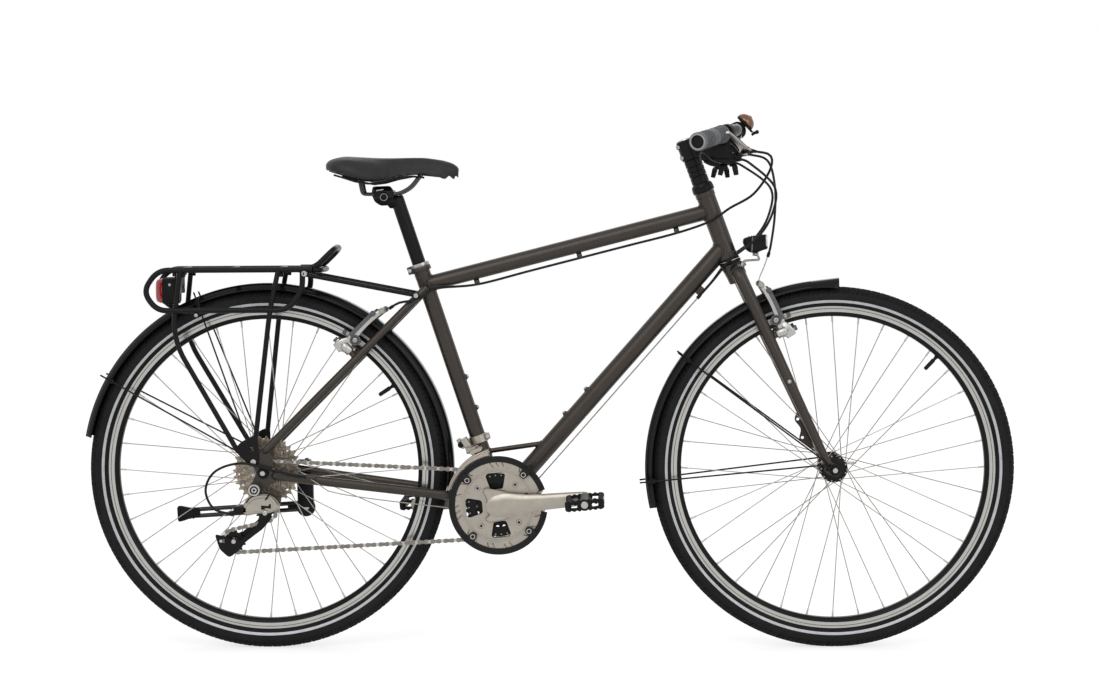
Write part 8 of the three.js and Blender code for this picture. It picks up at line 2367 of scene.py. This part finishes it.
def seat_post():
    form = Form()
    form.turned(on_seat(339), SEAT_UP, [(0, 9), (0, 12.8), (0.8, 13.4), (286, 13.4), (290, 13), (292, 11.4),
                                        (292, 9)], 56, loop=True)
    for k in range(9):
        form.turned(on_seat(352 + 6 * k), SEAT_UP, [(0, 13.42), (0.3, 13.5), (0.6, 13.42)], 48, 1)
    head = rounded_outline([(210, 905), (244, 906), (250, 898), (250, 892), (262, 885), (268, 873),
                            (262, 862), (243, 862), (240, 868), (226, 867), (214, 875), (208, 889)], 5, 5)
    form.plate(head, 0, 27, edge=7)
    form.plate([(x * 0.86 + 32.6, z * 0.8 + 177.4) for x, z in head], 0, 33, edge=6)
    form.bar(shifted(HEAD_AT, -19, 0, -4.6), shifted(HEAD_AT, 19, 0, -4.6), 54, 7, UP, 3)
    form.bar(shifted(HEAD_AT, -18, 0, 4.8), shifted(HEAD_AT, 18, 0, 4.8), 54, 6, UP, 3)
    for side in (-1, 1):
        form.turned(vec(HEAD_AT.x, side * 21.8, HEAD_AT.z - 6), vec(0, side, 0), [
            (0, 9), (5, 9), (6, 8), (6, 4, 6), (4, 4, 6), (4, 0)], 32)
        form.turned(vec(HEAD_AT.x, side * 27.7, HEAD_AT.z - 6), vec(0, side, 0),
                    [(0, 6.2), (0, 7.4), (0.5, 7), (0.5, 6.4)], 32, 1, loop=True)
        form.bar(vec(HEAD_AT.x - 19, side * RAIL_SIDE, HEAD_AT.z),
                 vec(HEAD_AT.x + 19, side * RAIL_SIDE, HEAD_AT.z), 9, 9.4, UP, 3.6)
    form.bar(vec(219, -26.6, 896.6), vec(234, -26.6, 899), 2, 2.6, UP, 0.8, finish=1)
    form.bolt(shifted(HEAD_AT, 0, 0, 7.6), UP, 4.6, 3, 1)
    return form


def swell(thing, limit):
    """Swells a closed form as padding: even mesh, cloth pressure, no point moved further than the limit."""
    remesh = thing.modifiers.new("even", "REMESH")
    remesh.mode, remesh.voxel_size = "VOXEL", 0.0045
    bake(thing)
    before = [v.co.copy() for v in thing.data.vertices]
    cloth = thing.modifiers.new("padding", "CLOTH")
    cloth.settings.quality = 5
    cloth.settings.use_pressure = True
    cloth.settings.uniform_pressure_force = 4.0
    cloth.settings.effector_weights.gravity = 0.0
    for frame in range(1, 21):
        bpy.context.scene.frame_set(frame)
    bake(thing)
    bpy.context.scene.frame_set(1)
    for v, start in zip(thing.data.vertices, before):
        move = v.co - start
        if move.length > limit:
            v.co = start + move * (limit / move.length)
    smooth = thing.modifiers.new("soft", "SMOOTH")
    smooth.factor, smooth.iterations = 0.5, 6
    divide = thing.modifiers.new("fine", "SUBSURF")
    divide.levels = divide.render_levels = 1
    bake(thing)
    for polygon in thing.data.polygons:
        polygon.use_smooth = True


def bake(thing):
    """Applies an object's modifiers to its mesh."""
    graph = bpy.context.evaluated_depsgraph_get()
    mesh = bpy.data.meshes.new_from_object(thing.evaluated_get(graph))
    thing.modifiers.clear()
    thing.data = mesh


def saddle_cover():
    return finish("saddle cover", colours().saddle, 0.5, vary=0.18, scale=35, rough_vary=0.06, grain=900.0,
                  bump=0.22, specular=0.35, sheen=0.05)


class BICYCLE_OT_saddle(bpy.types.Operator):
    """Builds the seat post, the rails and the padded saddle"""

    bl_idname = "bicycle.saddle"
    bl_label = "Seat post and saddle"

    def execute(self, context):
        satin, silver = satin_black(), silver_metal()
        piece("post_tube", seat_post(), [satin, silver], "seat", ["seat_post"], 40)
        rail = finish("rail steel", (0.035, 0.035, 0.036), 0.3, metallic=0.5, vary=0.15, scale=90, bump=0.05)
        piece("rail_pair", saddle_rails(), [rail, plastic_black()], "seat", ["saddle_rails"], 40)
        cover = saddle_cover()
        pad = piece("saddle_pad", saddle_pad(), [cover], "seat", ["saddle"], 180)
        swell(pad, 0.006)
        thread = finish("seam thread", (0.03, 0.03, 0.03), 0.7, vary=0.2, scale=200, bump=0.2)
        piece("saddle_shell", saddle_trim(), [plastic_black(), thread, satin], "seat", (),
              50)
        return {"FINISHED"}


# The control cables: black housings with ferrules, and bare wires
def controls_exit(side):
    pivot = lever_pivot(side)
    return vec(pivot.x + CABLE_EXIT, pivot.y - side * 21.9, pivot.z)


def wire_dots(points):
    return [vec(*p) for p in points]


def ferrule(form, spot, way):
    """The short cap at a housing's end."""
    way = way.normalized()
    form.turned(along(spot, way, -5), way, [(0, 2.4), (0.6, 3.3), (9.4, 3.3), (10, 2.6), (10, 1)], 20, 1)


def cable(housings, wires=()):
    """One cable: its housings, the ferrules at their ends and the wires between stops."""
    form = Form()
    for points in housings:
        path = even_points_open(smooth_way(points, 8), max(24, 6 * len(points)))
        form.tube(path, 2.4, 14, 0)
        ferrule(form, path[0], path[1] - path[0])
        ferrule(form, path[-1], path[-2] - path[-1])
    for points in wires:
        path = even_points_open(smooth_way(points, 6), max(12, 4 * len(points)))
        form.tube(path, 1.1, 10, 2)
    return form


def shift_stop(side):
    return down_run(DOWN_STOP, STOP_DROP, side * STOP_SPREAD)


class BICYCLE_OT_cables(bpy.types.Operator):
    """Builds the four control cables"""

    bl_idname = "bicycle.cables"
    bl_label = "Cables"

    def execute(self, context):
        jacket = finish("cable jacket", (0.008, 0.008, 0.0085), 0.4, vary=0.15, scale=140, bump=0.08,
                        bump_scale=2500, specular=0.15)
        finishes_used = [jacket, satin_black(), steel_metal()]
        rear = [controls_exit(-1)] + wire_dots([[979, -102, 958], [980, -76, 930], [950, -52, 885],
                                                [905, -32, 858], [868, -22, 833]])
        rear += [top_run(share, STOP_DROP) for share in (0.87, 0.7, 0.53, 0.35, 0.17)]
        rear += wire_dots([[338, -20, 706], [311, -44, 692], [287, -47, 683], [264, -45, 679],
                           [248, -41, 670]])
        thing = piece("brake_cable_rear", cable([rear]), finishes_used, None, ["rear_brake_cable"],
                      40)
        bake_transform(thing)
        front = [controls_exit(1)] + wire_dots([[987, 98, 952], [1000, 78, 900], [998, 60, 840],
                                                [990, 52, 786], [985, 50, 766]])
        wire = wire_dots([[985, 50, 767], [976, 48, 742], [968, 46, 724], [965, 42, 714]])
        piece("brake_cable_front", cable([front], [wire]), finishes_used, "steering", ["front_brake_cable"],
              40)
        run = {-1: [[462, -5, 262], [446, -6, 262], [400, -24, 272], [330, -34, 281], [200, -50, 299],
                    [122, -71, 317], [98, -77, 341], [86, -78.4, 345]],
               1: [[462, 5, 262], [446, 5, 262], [431, 2, 272], [426, -2, 290], [412, -6, 345],
                   [398, -14, 393]]}
        tail = [[92, -78, 344], [60, -80, 348], [20, -86, 358], [-40, -86, 372], [-92, -80, 356],
                [-112, -78, 320], [-97, -80, 284], [-62, -82, 272.4]]
        for side, name in ((-1, "rear"), (1, "front")):
            stop = shift_stop(side)
            loops = [[shifted(shifter_at(side), 27.8, -side * 8.5, 0)] + [vec(x, side * y, z) for x, y, z in (
                (938, 131, 943), (990, 64, 898), (986, 46, 846), (958, 34, 800), (908, 30, 760))] + [
                along(stop, DOWN_WAY, 30), along(stop, DOWN_WAY, -10)]]
            if side < 0:
                loops.append(wire_dots(tail))
            wires = [[along(stop, DOWN_WAY, -5), down_run(42, STOP_DROP, side * STOP_SPREAD)]
                     + wire_dots(run[side])]
            thing = piece(f"shift_cable_{name}", cable(loops, wires), finishes_used, None,
                          [f"{name}_shift_cable"], 40)
            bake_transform(thing)
        return {"FINISHED"}


operators = [BICYCLE_OT_stage, BICYCLE_OT_wheels, BICYCLE_OT_frame, BICYCLE_OT_fork, BICYCLE_OT_mudguards,
             BICYCLE_OT_rack, BICYCLE_OT_drive, BICYCLE_OT_kickstand, BICYCLE_OT_brakes, BICYCLE_OT_bars,
             BICYCLE_OT_saddle, BICYCLE_OT_cables]


class BICYCLE_PT_sidebar(bpy.types.Panel):
    """Lists the steps that build the bicycle's looks"""

    bl_idname = "BICYCLE_PT_sidebar"
    bl_label = "Touring bicycle"
    bl_space_type = "VIEW_3D"
    bl_region_type = "UI"
    bl_category = "Bicycle"

    def draw(self, context):
        for operator in operators:
            self.layout.operator(operator.bl_idname)


groups = (("bicycle_colours", BicycleColours), ("bicycle_details", BicycleDetails),
          ("bicycle_stage", StageSettings))


def register():
    for name, group in groups:
        bpy.utils.register_class(group)
        setattr(bpy.types.Scene, name, PointerProperty(type=group))
    for operator in operators:
        bpy.utils.register_class(operator)
    bpy.utils.register_class(BICYCLE_PT_sidebar)


def unregister():
    bpy.utils.unregister_class(BICYCLE_PT_sidebar)
    for operator in reversed(operators):
        bpy.utils.unregister_class(operator)
    for name, group in reversed(groups):
        delattr(bpy.types.Scene, name)
        bpy.utils.unregister_class(group)


def main():
    register()
    for operator in operators:
        space, name = operator.bl_idname.split(".")
        getattr(getattr(bpy.ops, space), name)()


if __name__ == "__main__":
    main()
